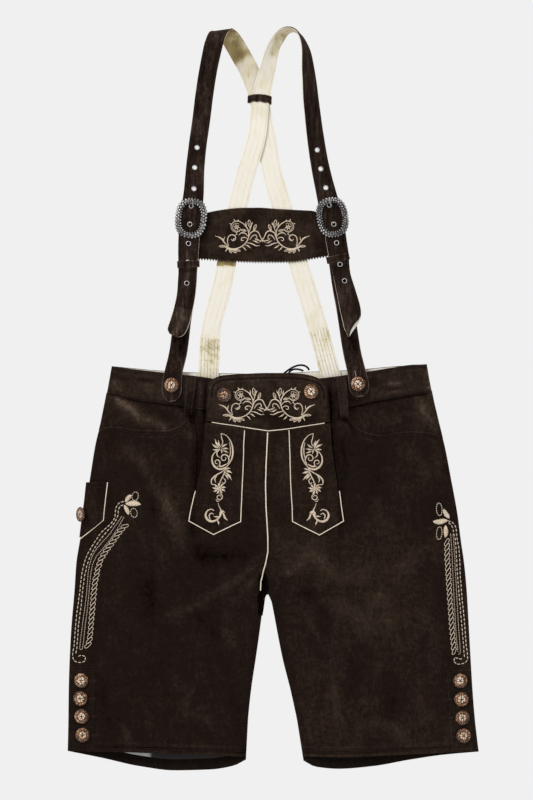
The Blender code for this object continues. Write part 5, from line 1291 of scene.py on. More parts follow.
def belt_loop(word):
    (xa, xb, ya), (xc, xd, yc) = LOOPS[word]
    rows = []
    s = np.linspace(0, 1, 9)
    for v in np.linspace(0, 1, 44):
        y = ya + (yc - ya) * v
        x0, x1 = xa + (xc - xa) * v, xb + (xd - xb) * v
        stand = LOOP_STAND * float(smooth(v / 0.22) * smooth((1 - v) / 0.22))
        w = float(smooth((y + 20) / 8))
        band = max(float(band_z(x, y)) for x in (x0, x1))
        panel = max(float(front_z(x, y)) for x in (x0, x1)) + LAY
        under = panel + (band - panel) * w if y < -12 else band
        x = x0 + (x1 - x0) * s
        pull = 0.35 * (np.exp(-((s - 0.17) / 0.06) ** 2) + np.exp(-((s - 0.83) / 0.06) ** 2))
        rows.append(np.stack([x, np.full(9, y), under + GAP + SUEDE + 0.2 + stand - 0.5 * pull], 1))
    grid = np.array(rows)
    piece = shell(f"belt_loop_{word}_cloth", [grid], SUEDE, suede, nap=0.02)
    for k in (1, 7):
        a = grid[:-1:2, k] + (0, 0, 0.1)
        b = grid[1::2, k] + (0, 0, 0.1)
        dark_sewn.put(a, b, 0.24)
    for i in (3, 40):
        a, b = grid[i, 0:-1:2] + (0.3, 0, 0.15), grid[i, 1::2] + (-0.1, 0, 0.15)
        brown.put(a[: len(b)], b, 0.26)
    return settle(piece, "suede", f"belt_loop_{word}")


front["loop_left"], front["loop_right"] = belt_loop("left"), belt_loop("right")

# ---------------------------------------------------------------- braces
def edges_of(stations):
    left, right = [], []
    for x, y, z, heading, lean, width in zip(*(stations[c] for c in "x y z heading lean width".split())):
        h, q = math.radians(heading), math.radians(lean)
        side = np.array([-math.sin(h), math.cos(h), 0]) * math.cos(q) * width / 2
        c = np.array([x, y, z + 0.07])
        rise = np.array([0, 0, math.sin(q) * width])
        left.append(c + side + rise)
        right.append(c - side)
    return left, right


def with_headings(stations):
    x, y = stations["x"], stations["y"]
    stations["heading"] = np.degrees(np.unwrap(np.arctan2(np.gradient(y), np.gradient(x))))
    return stations


def laid_on(stations, surface, lift, above):
    for i, (x, y, width) in enumerate(zip(stations["x"], stations["y"], stations["width"])):
        if y > above:
            continue
        us = np.linspace(-0.5, 0.5, 7) * max(width, 20)
        zs = surface(x + us, np.full(7, y))
        slope, level = np.polyfit(us, zs, 1)
        level += float((zs - (slope * us + level)).max())
        stations["z"][i] = level + slope * width / 2 + lift
        stations["lean"][i] = -math.degrees(math.asin(slope))
    return stations


def faces_up(left, right):
    normal = np.cross(right - left, np.gradient((left + right) / 2, axis=0))
    return normal / np.linalg.norm(normal, axis=1)[:, None]


TAB_LIFT = SEWN + STRAP_TAB / 2
LOWER = {
    "left": laid_on(with_headings(table(
        "x y z lean width",
        (-144.6, -4.4, 0, 0, 8), (-145.2, -1.5, 0, 0, 17), (-145.8, 4, 0, 0, 25), (-146, 12, 0, 0, 29.5),
        (-145.4, 25, 0, 0, 28.5), (-142.6, 41.5, 17.2, -3, 26), (-137.2, 64.5, 11.2, -2, 26), (-134, 87.5, 5.0, 0, 26),
        (-131.4, 111, 2.2, 0, 26), (-128.2, 134, 1.3, 0, 26), (-125.5, 157.5, 1.6, 0, 26), (-123.5, 178, 2.7, 0, 26),
        (-122, 200, 3.0, 0, 26), (-121, 227, 3.0, 0, 26), (-119.6, 255, 3.0, 0, 24),
    )), band_z, TAB_LIFT, 36),
    "right": laid_on(with_headings(table(
        "x y z lean width",
        (127.4, 2.6, 0, 0, 8), (127.0, 5.4, 0, 0, 17), (126.4, 10, 0, 0, 25), (125.4, 18, 0, 0, 29.5),
        (123.6, 30, 0, 0, 28), (120.8, 43, 16.4, 3, 26.5), (115.6, 66, 10.4, 2, 26), (112, 88, 5.0, 0, 26),
        (108.8, 111, 2.2, 0, 26), (105.2, 134, 1.3, 0, 26), (100.8, 157.5, 1.6, 0, 26), (97.6, 178, 2.7, 0, 26),
        (94.6, 200, 3.0, 0, 26), (91.4, 227, 3.0, 0, 26), (88.6, 255, 3.0, 0, 24),
    )), band_z, TAB_LIFT, 36),
}
FRONT_LEFT = table(
    "x y z lean width",
    (-143.0, 89.4, 8.2, 0, 12), (-141.6, 93.0, 7.9, 0, 21), (-138.2, 99.5, 7.2, 0, 25), (-134.0, 112, 5.8, 0, 26),
    (-129.4, 130, 4.6, 0, 25.5), (-125.4, 150, 4.4, 0, 25), (-123.2, 174, 5.1, 0, 25.5), (-122.2, 196, 5.65, 0, 25.5),
    (-121, 227, 5.7, 0, 26), (-118.2, 261.5, 5.9, 0, 26), (-115.4, 285, 4.4, 0, 26), (-114, 306, 1.9, 0, 25.8),
    (-112.4, 335, 1.2, 0, 25.8), (-109, 366, 1.25, 0, 25.8), (-105.6, 389.5, 1.65, 0, 26), (-102.4, 412.5, 4.6, 0, 26),
    (-99.4, 435.5, 14.4, 0, 26), (-95.6, 459, 28.2, 0, 26), (-91.2, 482, 40.6, 0, 26),
)
REAR_RIGHT_SIDE = table(
    "x y z lean width",
    (-44, 495, 1.65, 180, 28.4), (-36.5, 481.5, 1.65, 180, 28.4), (-30, 467.5, 1.65, 180, 28.4),
    (-24.8, 452, 2.1, 180, 28), (-20.6, 440, 3.1, 180, 28), (-17.8, 427, 3.15, 180, 27.6), (-14.4, 410, 1.75, 180, 27),
    (-11, 389.5, 1.65, 180, 27), (-7, 366, 1.65, 180, 27.5), (-3.5, 343, 1.65, 180, 28), (1.5, 319.5, 1.65, 180, 28.4),
    (13, 280.5, 1.65, 180, 29), (25.4, 237, 1.65, 180, 29), (38, 195, 1.65, 180, 28.4), (46.4, 167, 1.65, 180, 28.4),
    (55, 140, 1.65, 180, 28.6), (65.4, 104, 1.65, 180, 28.6), (74.2, 72, 2.0, 180, 28.6), (82.2, 42, 4.7, 180, 29),
    (87.5, 22, 5.0, 180, 29),
)
FRONT_RIGHT = table(
    "x y z lean width",
    (112.4, 89.4, 8.2, 0, 5), (114.6, 97, 7.6, 4, 12), (115.8, 106, 6.7, 6, 19), (115.6, 117, 5.6, 5, 24.5),
    (112.8, 133, 4.7, 2, 26), (107.4, 156, 4.4, 0, 26), (101.6, 180, 5.2, 0, 26), (97.6, 200, 5.65, 0, 26),
    (92.4, 227, 5.7, 0, 26), (86.4, 262, 5.9, 0, 26), (80.2, 286, 4.4, 0, 26), (75.6, 307, 1.9, 0, 26),
    (70.2, 332, 1.2, 4, 26), (65.6, 357, 1.15, 12, 26), (60.8, 389.5, 1.15, 23, 26), (58, 412.5, 1.15, 28, 26),
    (55.4, 435.5, 1.1, 32, 26), (53.4, 459, 1.0, 40, 26), (51, 482, 0.9, 49.5, 26), (49.4, 498, 0.8, 59, 26),
    (47.4, 508.5, 0.8, 67, 26), (43.8, 519, 0.8, 76, 26), (39.6, 527, 0.8, 84, 26), (32.8, 533, 0.9, 92, 26),
    (25.4, 534.4, 1.0, 102, 26), (18, 532, 1.1, 114, 26), (11, 525, 1.3, 124, 26), (3.4, 514, 1.4, 131, 26),
    (-0.8, 504.5, 1.5, 137, 26), (-3.8, 493, 1.6, 145, 26), (-6.8, 480, 1.8, 151, 26), (-10.6, 466, 2.4, 157, 26),
    (-14.2, 451, 5.3, 168, 26), (-17.2, 436, 6.45, 180, 26), (-18.2, 424, 6.4, 180, 26), (-19.2, 410, 5.0, 180, 26),
    (-21.2, 389.5, 4.75, 180, 26.4), (-26.2, 366, 4.75, 180, 27), (-33.6, 343, 4.5, 180, 27.4),
    (-40.6, 319.5, 2.4, 180, 27.4), (-46.4, 296.5, 1.65, 180, 27.4), (-59.6, 237, 1.65, 180, 27.6),
    (-67.6, 192, 1.65, 180, 27.6), (-71.8, 169, 1.65, 180, 28), (-78.6, 143, 1.65, 180, 28), (-86.4, 114, 1.65, 180, 27.4),
    (-90.2, 90.5, 1.65, 180, 28.6), (-91.4, 69, 2.0, 180, 29), (-92.4, 41, 4.7, 180, 29), (-93.4, 20, 5.0, 180, 29),
)


def fold_stations(count=9):
    tilt, helix = math.radians(FOLD_AXIS), math.radians(FOLD_HELIX)
    axis, up = np.array([math.cos(tilt), math.sin(tilt)]), np.array([-math.sin(tilt), math.cos(tilt)])
    centre_q, low = FOLD_TOP_Y - FOLD_R, GAP / 2 + SUEDE + 0.25

    def place(a, t):
        q, z = centre_q + FOLD_R * math.sin(t / FOLD_R), low + FOLD_R * (1 + math.cos(t / FOLD_R))
        return np.array([*(axis * a + up * q), z])

    left, right = [], []
    for t in np.linspace(0, math.pi * FOLD_R, count):
        width = 26 + 2.4 * float(smooth(t / (math.pi * FOLD_R)))
        a = -18.4 + t * math.tan(helix)
        half = width / math.cos(helix) / 2
        left.append(place(a - half, t))
        right.append(place(a + half, t))
    return left, right


FACE = ((0.0, 0.30), (0.0, 0.70), (0.010, 0.90), (0.030, 1.0), (0.066, 0.97), (0.086, 0.80), (0.106, 0.97), (0.15, 1.0),
        (0.24, 1.0), (0.34, 1.0), (0.44, 1.0), (0.50, 1.0), (0.56, 1.0), (0.66, 1.0), (0.76, 1.0), (0.85, 1.0),
        (0.894, 0.97), (0.914, 0.80), (0.934, 0.97), (0.970, 1.0), (0.990, 0.90), (1.0, 0.70), (1.0, 0.30),
        (0.990, 0.0), (0.66, 0.0), (0.33, 0.0), (0.010, 0.0))


def ribbon(name, left, right, normals, low, high, mat, relief=None, flip=False, values=None):
    """A long band between two edges. FACE gives its cross-section; flip turns its fine face to the low side."""
    u = np.array([p[0] for p in FACE])
    h = np.array([p[1] for p in FACE])
    rows, m = len(left), len(FACE)
    high_at = np.tile(h, (rows, 1))
    s = np.concatenate([[0], np.cumsum(np.linalg.norm(np.diff((left + right) / 2, axis=0), axis=1))])
    if relief is not None:
        face = (h > 0.75)[None, :]
        high_at = high_at + face * relief(s[:, None], u[None, :]) / (high - low)
    height = low + (high - low) * (1 - high_at if flip else high_at)
    points = left[:, None] + (right - left)[:, None] * u[None, :, None] + normals[:, None] * height[..., None]
    k = np.arange(m)
    j = (k + 1) % m
    first = np.arange(rows - 1)[:, None] * m
    quads = np.stack([first + k, first + j, first + m + j, first + m + k], -1).reshape(-1, 4)
    caps = [k[::-1], (rows - 1) * m + k]
    if not flip:
        quads, caps = quads[:, ::-1], [c[::-1] for c in caps]
    marks = {"edge": np.tile(((u < 0.02) | (u > 0.98)).astype(float), rows)}
    for key, rule in (values or {}).items():
        marks[key] = np.broadcast_to(rule(s[:, None], u[None, :]), (rows, m)).reshape(-1)
    return make(name, points.reshape(-1, 3), quads.tolist() + [c.tolist() for c in caps], mat, marks), s


class Band:
    """A strap's dense middle: both edges, its normals, and how far along each row is."""

    def __init__(self, left, right, per=8):
        self.left, self.right = smooth_path(left, per), smooth_path(right, per)
        self.up = faces_up(self.left, self.right)
        self.mid = (self.left + self.right) / 2
        self.s = np.concatenate([[0], np.cumsum(np.linalg.norm(np.diff(self.mid, axis=0), axis=1))])

    def at(self, s, u, high):
        """Points at distances s along and shares u across, at a height over the middle, with the normals there."""
        s, u, high = np.broadcast_arrays(np.asarray(s, float), u, high)
        read = lambda rows: np.stack([np.interp(s, self.s, rows[:, k]) for k in range(3)], -1)
        a, b, n = read(self.left), read(self.right), read(self.up)
        n /= np.linalg.norm(n, axis=-1)[..., None]
        return a + (b - a) * u[..., None] + n * high[..., None], n

    def sew(self, into, first, last, u, high, pitch, long, radius, jitter=0.05):
        n = max(1, round((last - first) / pitch))
        s = np.linspace(first, last, n + 1)[:-1] + pitch / 2
        u = u(s) if callable(u) else np.full(n, u)
        u = u + RNG.normal(0, jitter / 26, n)
        a, up = self.at(s - long / 2, u, high)
        b, _ = self.at(s + long / 2, u, high)
        into.put(a, b, radius, up)


def uneven(seed, size, across, high):
    """Relief for a band's face: soft ripples along it, and finer ones that also change across it."""
    return lambda s, u: high * (0.6 * ripple(s, u * across, seed, size) + 0.4 * ripple(s, u * across * 2.2, seed + 1, size * 0.35))


def strap_nap_and_shade(seed, extra=None):
    def rule(s, u):
        value = (0.30 * ripple(s, u * 26, seed, 70) + 0.22 * ripple(s * 0.35, u * 26, seed + 2, 16)
                 + 0.10 * np.cos((u - 0.5) * 9) + 0.02)
        return value + extra(s, u) if extra else value

    return rule


def tongue_left(s, u):
    # Beyond its crease the free end is painted lighter where it tips up to the light, with painted shade along the
    # crease; painted shadow across the strap just below its keeper.
    return (0.42 * smooth((43.5 - s) / 3) - 0.42 * np.exp(-(((s - 44.6 + 3 * (u - 0.5)) / 1.1) ** 2))
            - 0.75 * np.exp(-(((s - 97.5) / 2.0) ** 2)) + 0.10 * smooth((150 - s) / 30))


def tongue_right(s, u):
    # Lighter up to the keeper and round the tip, with painted shadow across the strap just below its keeper.
    return (0.20 * smooth((104 - s) / 20) - 0.6 * np.exp(-(((s - 104.5) / 2.0) ** 2)) + 0.25 * np.exp(-(((s - 8) / 9) ** 2)))


def under_left(s, u):
    # In the shadow of the strap's free end, and rubbed lighter beyond it.
    return -0.85 * smooth((s - 60) / 12) * smooth((112 - s) / 16) + 0.16 * np.exp(-(((s - 44) / 14) ** 2))


def under_right(s, u):
    # Painted shadow of the right free end on the strap under it, and lighter beyond it.
    return -0.55 * smooth((s - 58) / 12) * smooth((104 - s) / 12) * smooth((u - 0.25) / 0.4) + 0.12 * np.exp(-(((s - 40) / 16) ** 2))


FREE_END, UNDER_IT = {"left": tongue_left, "right": tongue_right}, {"left": under_left, "right": under_right}


# The right free end's own outline: its left and right edges, from the tip up to the eyelets.
TONGUE_RIGHT = table(
    "lx ly rx ry",
    (109.8, 89.6, 111.2, 89.2), (106.6, 96.6, 117.2, 98.6), (103.9, 103.6, 123.4, 107.6), (101.2, 115.8, 127.9, 118.5),
    (97.6, 132.6, 127.2, 133.4), (93.2, 155.6, 120.6, 156.4), (88.4, 179.6, 113.2, 180.6),
)

a0, b0 = edges_of(with_headings(FRONT_LEFT))
a1, b1 = fold_stations()
a2, b2 = edges_of(with_headings(REAR_RIGHT_SIDE))
a3, b3 = edges_of(with_headings(FRONT_RIGHT))
for k in range(len(TONGUE_RIGHT["lx"])):
    a3[k][:2] = TONGUE_RIGHT["lx"][k], TONGUE_RIGHT["ly"][k]
    b3[k][:2] = TONGUE_RIGHT["rx"][k], TONGUE_RIGHT["ry"][k]
PER = 10
STRAP = {"left": Band(a0 + a1 + a2, b0 + b1 + b2, PER), "right": Band(a3, b3, PER)}
# The straps are a little wider where their buckles press them flat: distances along, and how much on each side.
WIDER = {
    "left": (((0, 10, 40, 60, 96, 108, 124, 150, 198, 215, 245, 270), (0.8, 1.3, 0.7, 0.85, 1.1, 1.7, 2.4, 3.0, 2.9, 1.6, 0.4, 0)),
             ((0, 40, 96, 108, 124, 150, 215, 250, 290), (0, 0.4, 0.4, 0.9, 1.3, 1.5, 1.7, 0.7, 0))),
    "right": (((0, 108, 124, 150, 200, 230, 260), (0, 0.5, 1.2, 1.4, 1.3, 0.6, 0)),
              ((0, 108, 124, 150, 200, 230, 260), (0, 0.2, 2.0, 2.9, 2.8, 1.0, 0))),
}
for word, (on_left, on_right) in WIDER.items():
    band = STRAP[word]
    over = band.left - band.right
    over /= np.linalg.norm(over, axis=1)[:, None]
    band.left = band.left + over * np.interp(band.s, *on_left)[:, None]
    band.right = band.right - over * np.interp(band.s, *on_right)[:, None]
    if word == "left":
        rise = (2.0 * (1 - smooth(band.s / 26)))[:, None] * np.array([0.0, 1.0, 0.0])
        band.left, band.right = band.left + rise, band.right + rise
    band.mid = (band.left + band.right) / 2
FRONT_END = {  # distance along, where the front run ends and the lining comes into view
    "left": float(STRAP["left"].s[PER * len(a0)]),
    "right": float(STRAP["right"].s[PER * 24]),
}
BACKED = {  # distance along, where each rear run's backed and close-stitched end begins
    word: float(STRAP[word].s[-1]) - run for word, run in (("left", 83.0), ("right", 70.0))
}
ROWS_ON_BACKED = (0.10, 0.27, 0.43, 0.59, 0.75, 0.90)
NODES = {
    "left": ("strap_left", "strap_left_shoulder", "strap_left_rear"),
    "right": ("strap_right", "strap_right_rear"),
}
braces = {}
backed_sewn = Stitches()


def lining_relief(word):
    def rule(s, u):
        # Puckered between the close rows of the backed end, with a ridge at its seam; smooth elsewhere.
        backed = smooth((s - BACKED[word]) / 3)
        pucker = np.sin(s * 1.55 + 2.2 * np.sin(u * 9 + s * 0.05)) * (0.55 + 0.45 * np.sin(u * 19 + s * 0.21))
        quilt = np.cos((u - 0.10) * 2 * math.pi / 0.162)
        ridge = np.exp(-(((s - BACKED[word] - 1.2) / 1.5) ** 2)) - 0.7 * np.exp(-(((s - BACKED[word] + 1.6) / 1.2) ** 2))
        return (0.12 * ripple(s, u * 30, 61, 40) + 0.06 * ripple(s, u * 60, 63, 13) + backed * (0.26 * pucker - 0.12 * quilt)
                + 0.14 * ridge)

    return rule


def lining_nap_and_shade(word):
    band, fold = STRAP[word], FRONT_END[word]

    def rule(s, u):
        s, u = np.broadcast_arrays(np.asarray(s, float), u)
        spot, _ = band.at(s, u, 0.0)
        x, y = spot[..., 0], spot[..., 1]
        soft = 0.16 * ripple(s, u * 20, 65, 80) + 0.10 * ripple(s, u * 26, 67, 24)
        worn = 0.5 + 0.5 * ripple(x, y, 69, 30)
        if word == "left":
            # Painted olive shade inside the shoulder loop, ending along a slanting line, and over the loop's lower
            # part.
            line_at = 486.0 + 0.60 * (x + 44)
            deep = smooth((s - fold - 16) / 14) * smooth((y - line_at + 3) / 20) * (0.50 + 0.14 * worn + 0.16 * smooth((-46 - x) / 12))
            deep = deep + (0.14 + 0.14 * worn) * smooth((y - 440) / 20) * (s > fold)
            deep = deep + 0.30 * np.exp(-(((x + 50.5) / 9) ** 2) - ((y - 505) / 15) ** 2)
            # The backed end is stained olive; painted shadow of the crosspiece across the rear run, and painted shade
            # beside the strap that lies over it.
            backed = 0.26 * smooth((s - BACKED[word]) / 6) * worn
            backed = backed + 0.18 * smooth((y - 192) / 4) * smooth((206 - y) / 4) * (s > fold)
            backed = backed + 0.16 * smooth((y - 330) / 20) * smooth((436 - y) / 8) * smooth((0.5 - u) / 0.4) * (s > fold)
        else:
            # Painted olive shade along the inner edge of the shoulder loop, less near its top.
            deep = smooth((y - 489) / 12) * smooth((x - (-1.0 - (535 - y) * 0.25)) / 10) * (0.60 + 0.20 * worn) * smooth((s - 430) / 12)
            deep = deep * (1 - 0.30 * smooth((y - 526) / 8))
            middle = np.exp(-(((u - 0.66) / 0.34) ** 2))
            # The backed end is stained olive, most in its middle; painted shadow of the crosspiece across the rear run,
            # and darker along one edge below the rear keeper.
            backed = smooth((s - BACKED[word]) / 5) * (0.26 + 0.50 * worn * middle * smooth((BACKED[word] + 56 - s) / 24))
            backed = backed + 1.15 * smooth((y - 190.5) / 4) * smooth((206 - y) / 4) * (s > fold)
            backed = backed + 0.26 * smooth((y - 332) / 20) * smooth((436 - y) / 8) * smooth((u - 0.80) / 0.16) * (s > fold)
        seam_at = 0.42 * np.exp(-(((s - BACKED[word] + 1.4) / 0.9) ** 2))
        lined = smooth((s - BACKED[word]) / 3) * 0.30 * ripple(s * 2.6, u * 30, 75, 9)
        rim = 0.30 * smooth((0.035 - np.minimum(u, 1 - u)) / 0.02) * smooth((160 - s) / 12)
        if word == "right":
            rim = rim * smooth((s - 26) / 8) - 0.22 * smooth((30 - s) / 6)
        return soft - deep - backed - seam_at + lined - rim

    return rule


for word, seed in (("left", 71), ("right", 81)):
    band = STRAP[word]
    # The leather is trimmed a little inside the lining where the lining is uppermost, and the lining's edge
    # stands out round the free end; the right one's end curls, and bares more of it.
    away = 0.055 * smooth((0.3 - band.up[:, 2]) / 0.4)[:, None]
    bare = (np.interp(band.s, (0, 3, 8, 13, 18, 24, 30), (0.0, 0.34, 0.40, 0.34, 0.24, 0.08, 0.0)) if word == "right" else 0.0 * band.s)[:, None]
    # Pared thin where it turns on its edge over the shoulder.
    thin_from, thin_to = (float(band.s[PER * 13]), float(band.s[PER * 24]) + 12) if word == "right" else (FRONT_END[word] - 6, FRONT_END[word] + 90)
    pared = lambda s: -0.62 * (UP - GAP / 2) * smooth((s - thin_from) / 16) * smooth((thin_to - s) / 16)
    ripples = uneven(seed, 46, 26, 0.12)
    cut_left = band.left + (band.right - band.left) * away
    cut_right = band.right + (band.left - band.right) * (away + bare)
    out = smooth((96 - band.s) / 12)[:, None]
    out_l, out_r = (0.021, 0.021) if word == "left" else (0.010, 0.016)
    beside = (0.008 * smooth((band.s - 108) / 6) * smooth((156 - band.s) / 10))[:, None]
    out_l, out_r = out * out_l + beside * (word == "right"), out * out_r + beside * (word == "left")
    low_left, low_right = band.left + (band.left - band.right) * out_l, band.right + (band.right - band.left) * out_r
    leather, _ = ribbon(f"brace_{word}", cut_left, cut_right, band.up, GAP / 2, UP, strap_suede,
                        lambda s, u: ripples(s, u) + pared(s) + 0 * u, values={"nap": strap_nap_and_shade(seed, FREE_END[word])})
    under, _ = ribbon(f"brace_{word}_lining", low_left, low_right, band.up, -DOWN, -GAP / 2, cream_lining,
                      lining_relief(word), flip=True, values={"nap": lining_nap_and_shade(word)})
    braces[word], braces[f"{word}_lining"] = (
        settle(leather, "suede", *NODES[word]), settle(under, "cream_lining", f"strap_{word}_lining"))
    last = float(band.s[-1])
    for u in (0.086, 0.914):
        band.sew(brown, 12, FRONT_END[word] + 20, u, UP - 0.12, 3.1, 2.3, 0.25)
    for u in (0.086, 0.36, 0.64, 0.914):
        band.sew(lining_sewn, FRONT_END[word] - 30, BACKED[word] - 3, u, -DOWN + 0.02, 3.3, 2.3, 0.20)
    for u in ROWS_ON_BACKED:
        band.sew(backed_sewn, BACKED[word] + 2, last - 4, u, -DOWN - 0.20, 2.9, 2.2, 0.27)
    # The decorative rows down the middle of the front run, tone on tone.
    for u in (0.36, 0.64):
        band.sew(brown, 22, FRONT_END[word] + 10, u, UP - 0.10, 3.2, 2.3, 0.2)

lower_bands = {}
for word in ("left", "right"):
    a, b = edges_of(LOWER[word])
    band = lower_bands[word] = Band(a, b, per=10)
    piece, _ = ribbon(f"tab_{word}", band.left, band.right, band.up, -STRAP_TAB / 2, STRAP_TAB / 2, strap_suede,
                      uneven(91, 40, 26, 0.12), values={
                          "nap": strap_nap_and_shade(93 if word == "left" else 95, UNDER_IT[word]),
                          "edge": lambda s, u: 1.7 * np.maximum(smooth((0.05 - np.minimum(u, 1 - u)) / 0.035), smooth((1.9 - s) / 0.9))})
    braces[f"lower_{word}"] = settle(piece, "suede", f"lower_strap_{word}")
    last = float(band.s[-1])
    for u in (0.10, 0.90):
        band.sew(brown, 5, last - 2, u, STRAP_TAB / 2 - 0.1, 3.0, 2.3, 0.26)
    if word == "right":  # a worn buttonhole above the button
        i = int(np.argmin(np.hypot(band.mid[:, 0] - 120.3, band.mid[:, 1] - 35.5)))
        over = band.right[i] - band.left[i]
        u = float((np.array([120.3, 35.5]) - band.left[i, :2]) @ over[:2] / (over @ over))
        band.sew(lining_sewn, float(band.s[i]) - 4.6, float(band.s[i]) + 4.6, u, STRAP_TAB / 2 + 0.05, 2.2, 2.4, 0.40)


# ---------------------------------------------------------------- keepers
def keeper(word, x, y, angle, half_width, low, high, deep, thick=1.3, bow=0.0, ragged=0.0, light=0.08):
    """A leather loop round the straps, its edges rounded and its face a little dished."""
    ring, n = [], 7
    for cx, cz, start in ((1, 1, 0), (-1, 1, 90), (-1, -1, 180), (1, -1, 270)):
        for k in range(n):
            ring.append((cx, cz, math.radians(start + 90 * k / (n - 1))))
    dense = []
    for k, (cx, cz, turn) in enumerate(ring):
        dense.append((cx, cz, turn, None))
        nx = ring[(k + 1) % len(ring)]
        if (nx[0], nx[1]) != (cx, cz):
            for w in np.linspace(0, 1, 9)[1:-1]:
                dense.append((cx + (nx[0] - cx) * w, cz + (nx[1] - cz) * w, turn, None))
    mid, tall = (low + high) / 2, (high - low) / 2
    ca, sa = math.cos(math.radians(angle)), math.sin(math.radians(angle))
    section = ((-0.5, 0.25), (-0.5, 0.75), (-0.46, 0.95), (-0.38, 1.0), (-0.2, 0.93), (0.0, 0.95), (0.2, 0.93),
               (0.38, 1.0), (0.46, 0.95), (0.5, 0.75), (0.5, 0.25), (0.46, 0.0), (0.0, 0.0), (-0.46, 0.0))
    points = []
    for cx, cz, turn, _ in dense:
        for v, t in section:
            r = 1.0 + thick * t
            u = cx * (half_width - 1.0) + r * math.cos(turn)
            z = mid + cz * (tall - 1.0) + r * math.sin(turn)
            w = v * deep - bow * (u / half_width) ** 2 + 0.18 * math.sin(u * 0.9 + v * 3)
            w += ragged * max(0.0, -2 * v) * (math.sin(u * 0.62 + 0.9) + 0.6 * math.sin(u * 1.45))
            points.append((x + u * ca - w * sa, y + u * sa + w * ca, z))
    m, count = len(section), len(dense)
    faces = []
    for i in range(count):
        for k in range(m):
            j = (k + 1) % m
            faces.append([i * m + k, ((i + 1) % count) * m + k, ((i + 1) % count) * m + j, i * m + j])
    points = np.array(points)
    marks = {"nap": 0.25 * ripple(points[:, 0], points[:, 1], 97, 14) + light,
             "edge": np.tile([1.0 if abs(v) > 0.45 else 0.0 for v, _ in section], count)}
    return settle(make(f"loop_{word}", points, faces, strap_suede, marks), "suede", f"keeper_{word}")


STACK_TOP = 5.65 + UP + 2 * GAP
braces["keeper_left"] = keeper("left", -122.1, 195.2, 2.5, 15.0, 1.5, STACK_TOP, 9.6)
braces["keeper_right"] = keeper("right", 95.0, 203.6, 12.0, 15.6, 1.5, STACK_TOP, 9.8)
braces["keeper_rear"] = keeper("rear", -18.6, 436.2, -2.0, 16.4, 1.2, 6.45 + DOWN + 2 * GAP, 11.0, 1.2, 2.4, 0.8, 0.26)

# ---------------------------------------------------------------- crosspiece with pinked edges
CROSS = table(
    "x top low z",
    (-117, 266.5, 202.8, 1.5), (-104, 268.4, 202.6, 1.6), (-94, 270.6, 202.2, 3.0), (-84, 272.6, 201.2, 4.7),
    (-66, 275.4, 200.0, 5.0), (-47, 277.0, 198.8, 5.0), (-20, 277.5, 198.0, 4.9), (7, 275.6, 198.0, 4.9),
    (30, 274.4, 198.8, 5.0), (46, 273.6, 201.0, 5.0), (57, 273.0, 203.0, 4.7), (66, 270.8, 204.6, 3.0),
    (75, 268.0, 206.0, 1.6), (87, 264.0, 208.0, 1.5),
)


def cross_z(x, y):
    return at(CROSS, "z", x, "x") + 0.16 * ripple(x, y, 41, 46) + 0.08 * ripple(x, y, 43, 17)


def crosspiece():
    x = np.linspace(-117, 87, 409)
    top, low = at(CROSS, "top", x, "x"), at(CROSS, "low", x, "x")
    tooth = lambda pitch: np.abs(((x / pitch) % 1.0) - 0.5) * 2
    v = np.concatenate([[0, 0.012, 0.03, 0.06], np.linspace(0.1, 0.9, 10), [0.94, 0.97, 0.988, 1]])[:, None]
    y = low + 0.9 + (top - low - 0.8) * v - 3.2 * tooth(4.1) ** 1.3 * np.maximum(0, 1 - v / 0.045) \
        + 0.8 * (tooth(2.7) - 1) * np.maximum(0, 1 - (1 - v) / 0.03)
    grid = np.dstack([x + 0 * y, y, cross_z(x + 0 * y, y)])
    piece = shell("chest_piece", [grid], SUEDE, suede, round_by=0.35, nap_and_shade_scale=0.0,
                  values={"nap": lambda p: 0.34 + 0.22 * ripple(p[:, 0], p[:, 1], 45, 60) + 0.14 * ripple(p[:, 0], p[:, 1], 47, 22)
                          - 0.25 * np.exp(-(((p[:, 0] + 103) / 9) ** 2)) - 0.25 * np.exp(-(((p[:, 0] - 76) / 9) ** 2))
                          + 0.22 * smooth((p[:, 1] - 262) / 10) * smooth((278 - p[:, 1]) / 5)
                          + 0.55 * smooth((at(CROSS, "low", p[:, 0], "x") + 2.4 - p[:, 1]) / 1.6)})
    return settle(piece, "suede", "crosspiece")


braces["crosspiece"] = crosspiece()


# ---------------------------------------------------------------- turned and cast fittings
def polar(name, radii, heights, sides, mat, place, shape=None, carve=None, slot="horn", nodes=()):
    """A turned piece from rings of radius and height, the first and last closed to a point; shape lifts it by angle."""
    turn = np.arange(sides) * 2 * math.pi / sides
    points, marks = [(0.0, 0.0, heights[0])], [0.2]
    for i, (r, h) in enumerate(zip(radii, heights)):
        lift = shape(r, turn, i) if shape else 0.0
        ring = np.stack([r * np.cos(turn), r * np.sin(turn), h + lift + 0 * turn], 1)
        points += ring.tolist()
        marks += (np.asarray(carve(r, turn, i)) + 0 * turn).tolist() if carve else [0.5] * sides
    points.append((0.0, 0.0, heights[-1] + (float(shape(0.0, 0.0, len(radii) - 1)) if shape else 0.0)))
    marks.append(float(np.ravel(carve(0.0, turn, len(radii) - 1))[0]) if carve else 0.5)
    k = np.arange(sides)
    j = (k + 1) % sides
    faces = [[0, int(1 + b), int(1 + a)] for a, b in zip(k, j)]
    for i in range(len(radii) - 1):
        lo, hi = 1 + i * sides, 1 + (i + 1) * sides
        faces += np.stack([lo + k, lo + j, hi + j, hi + k], 1).tolist()
    end, tip = 1 + (len(radii) - 1) * sides, len(points) - 1
    faces += [[int(end + a), int(end + b), tip] for a, b in zip(k, j)]
    made = make(name, [place(p) for p in points], faces, mat, {"carve": marks})
    return settle(made, slot, *nodes)


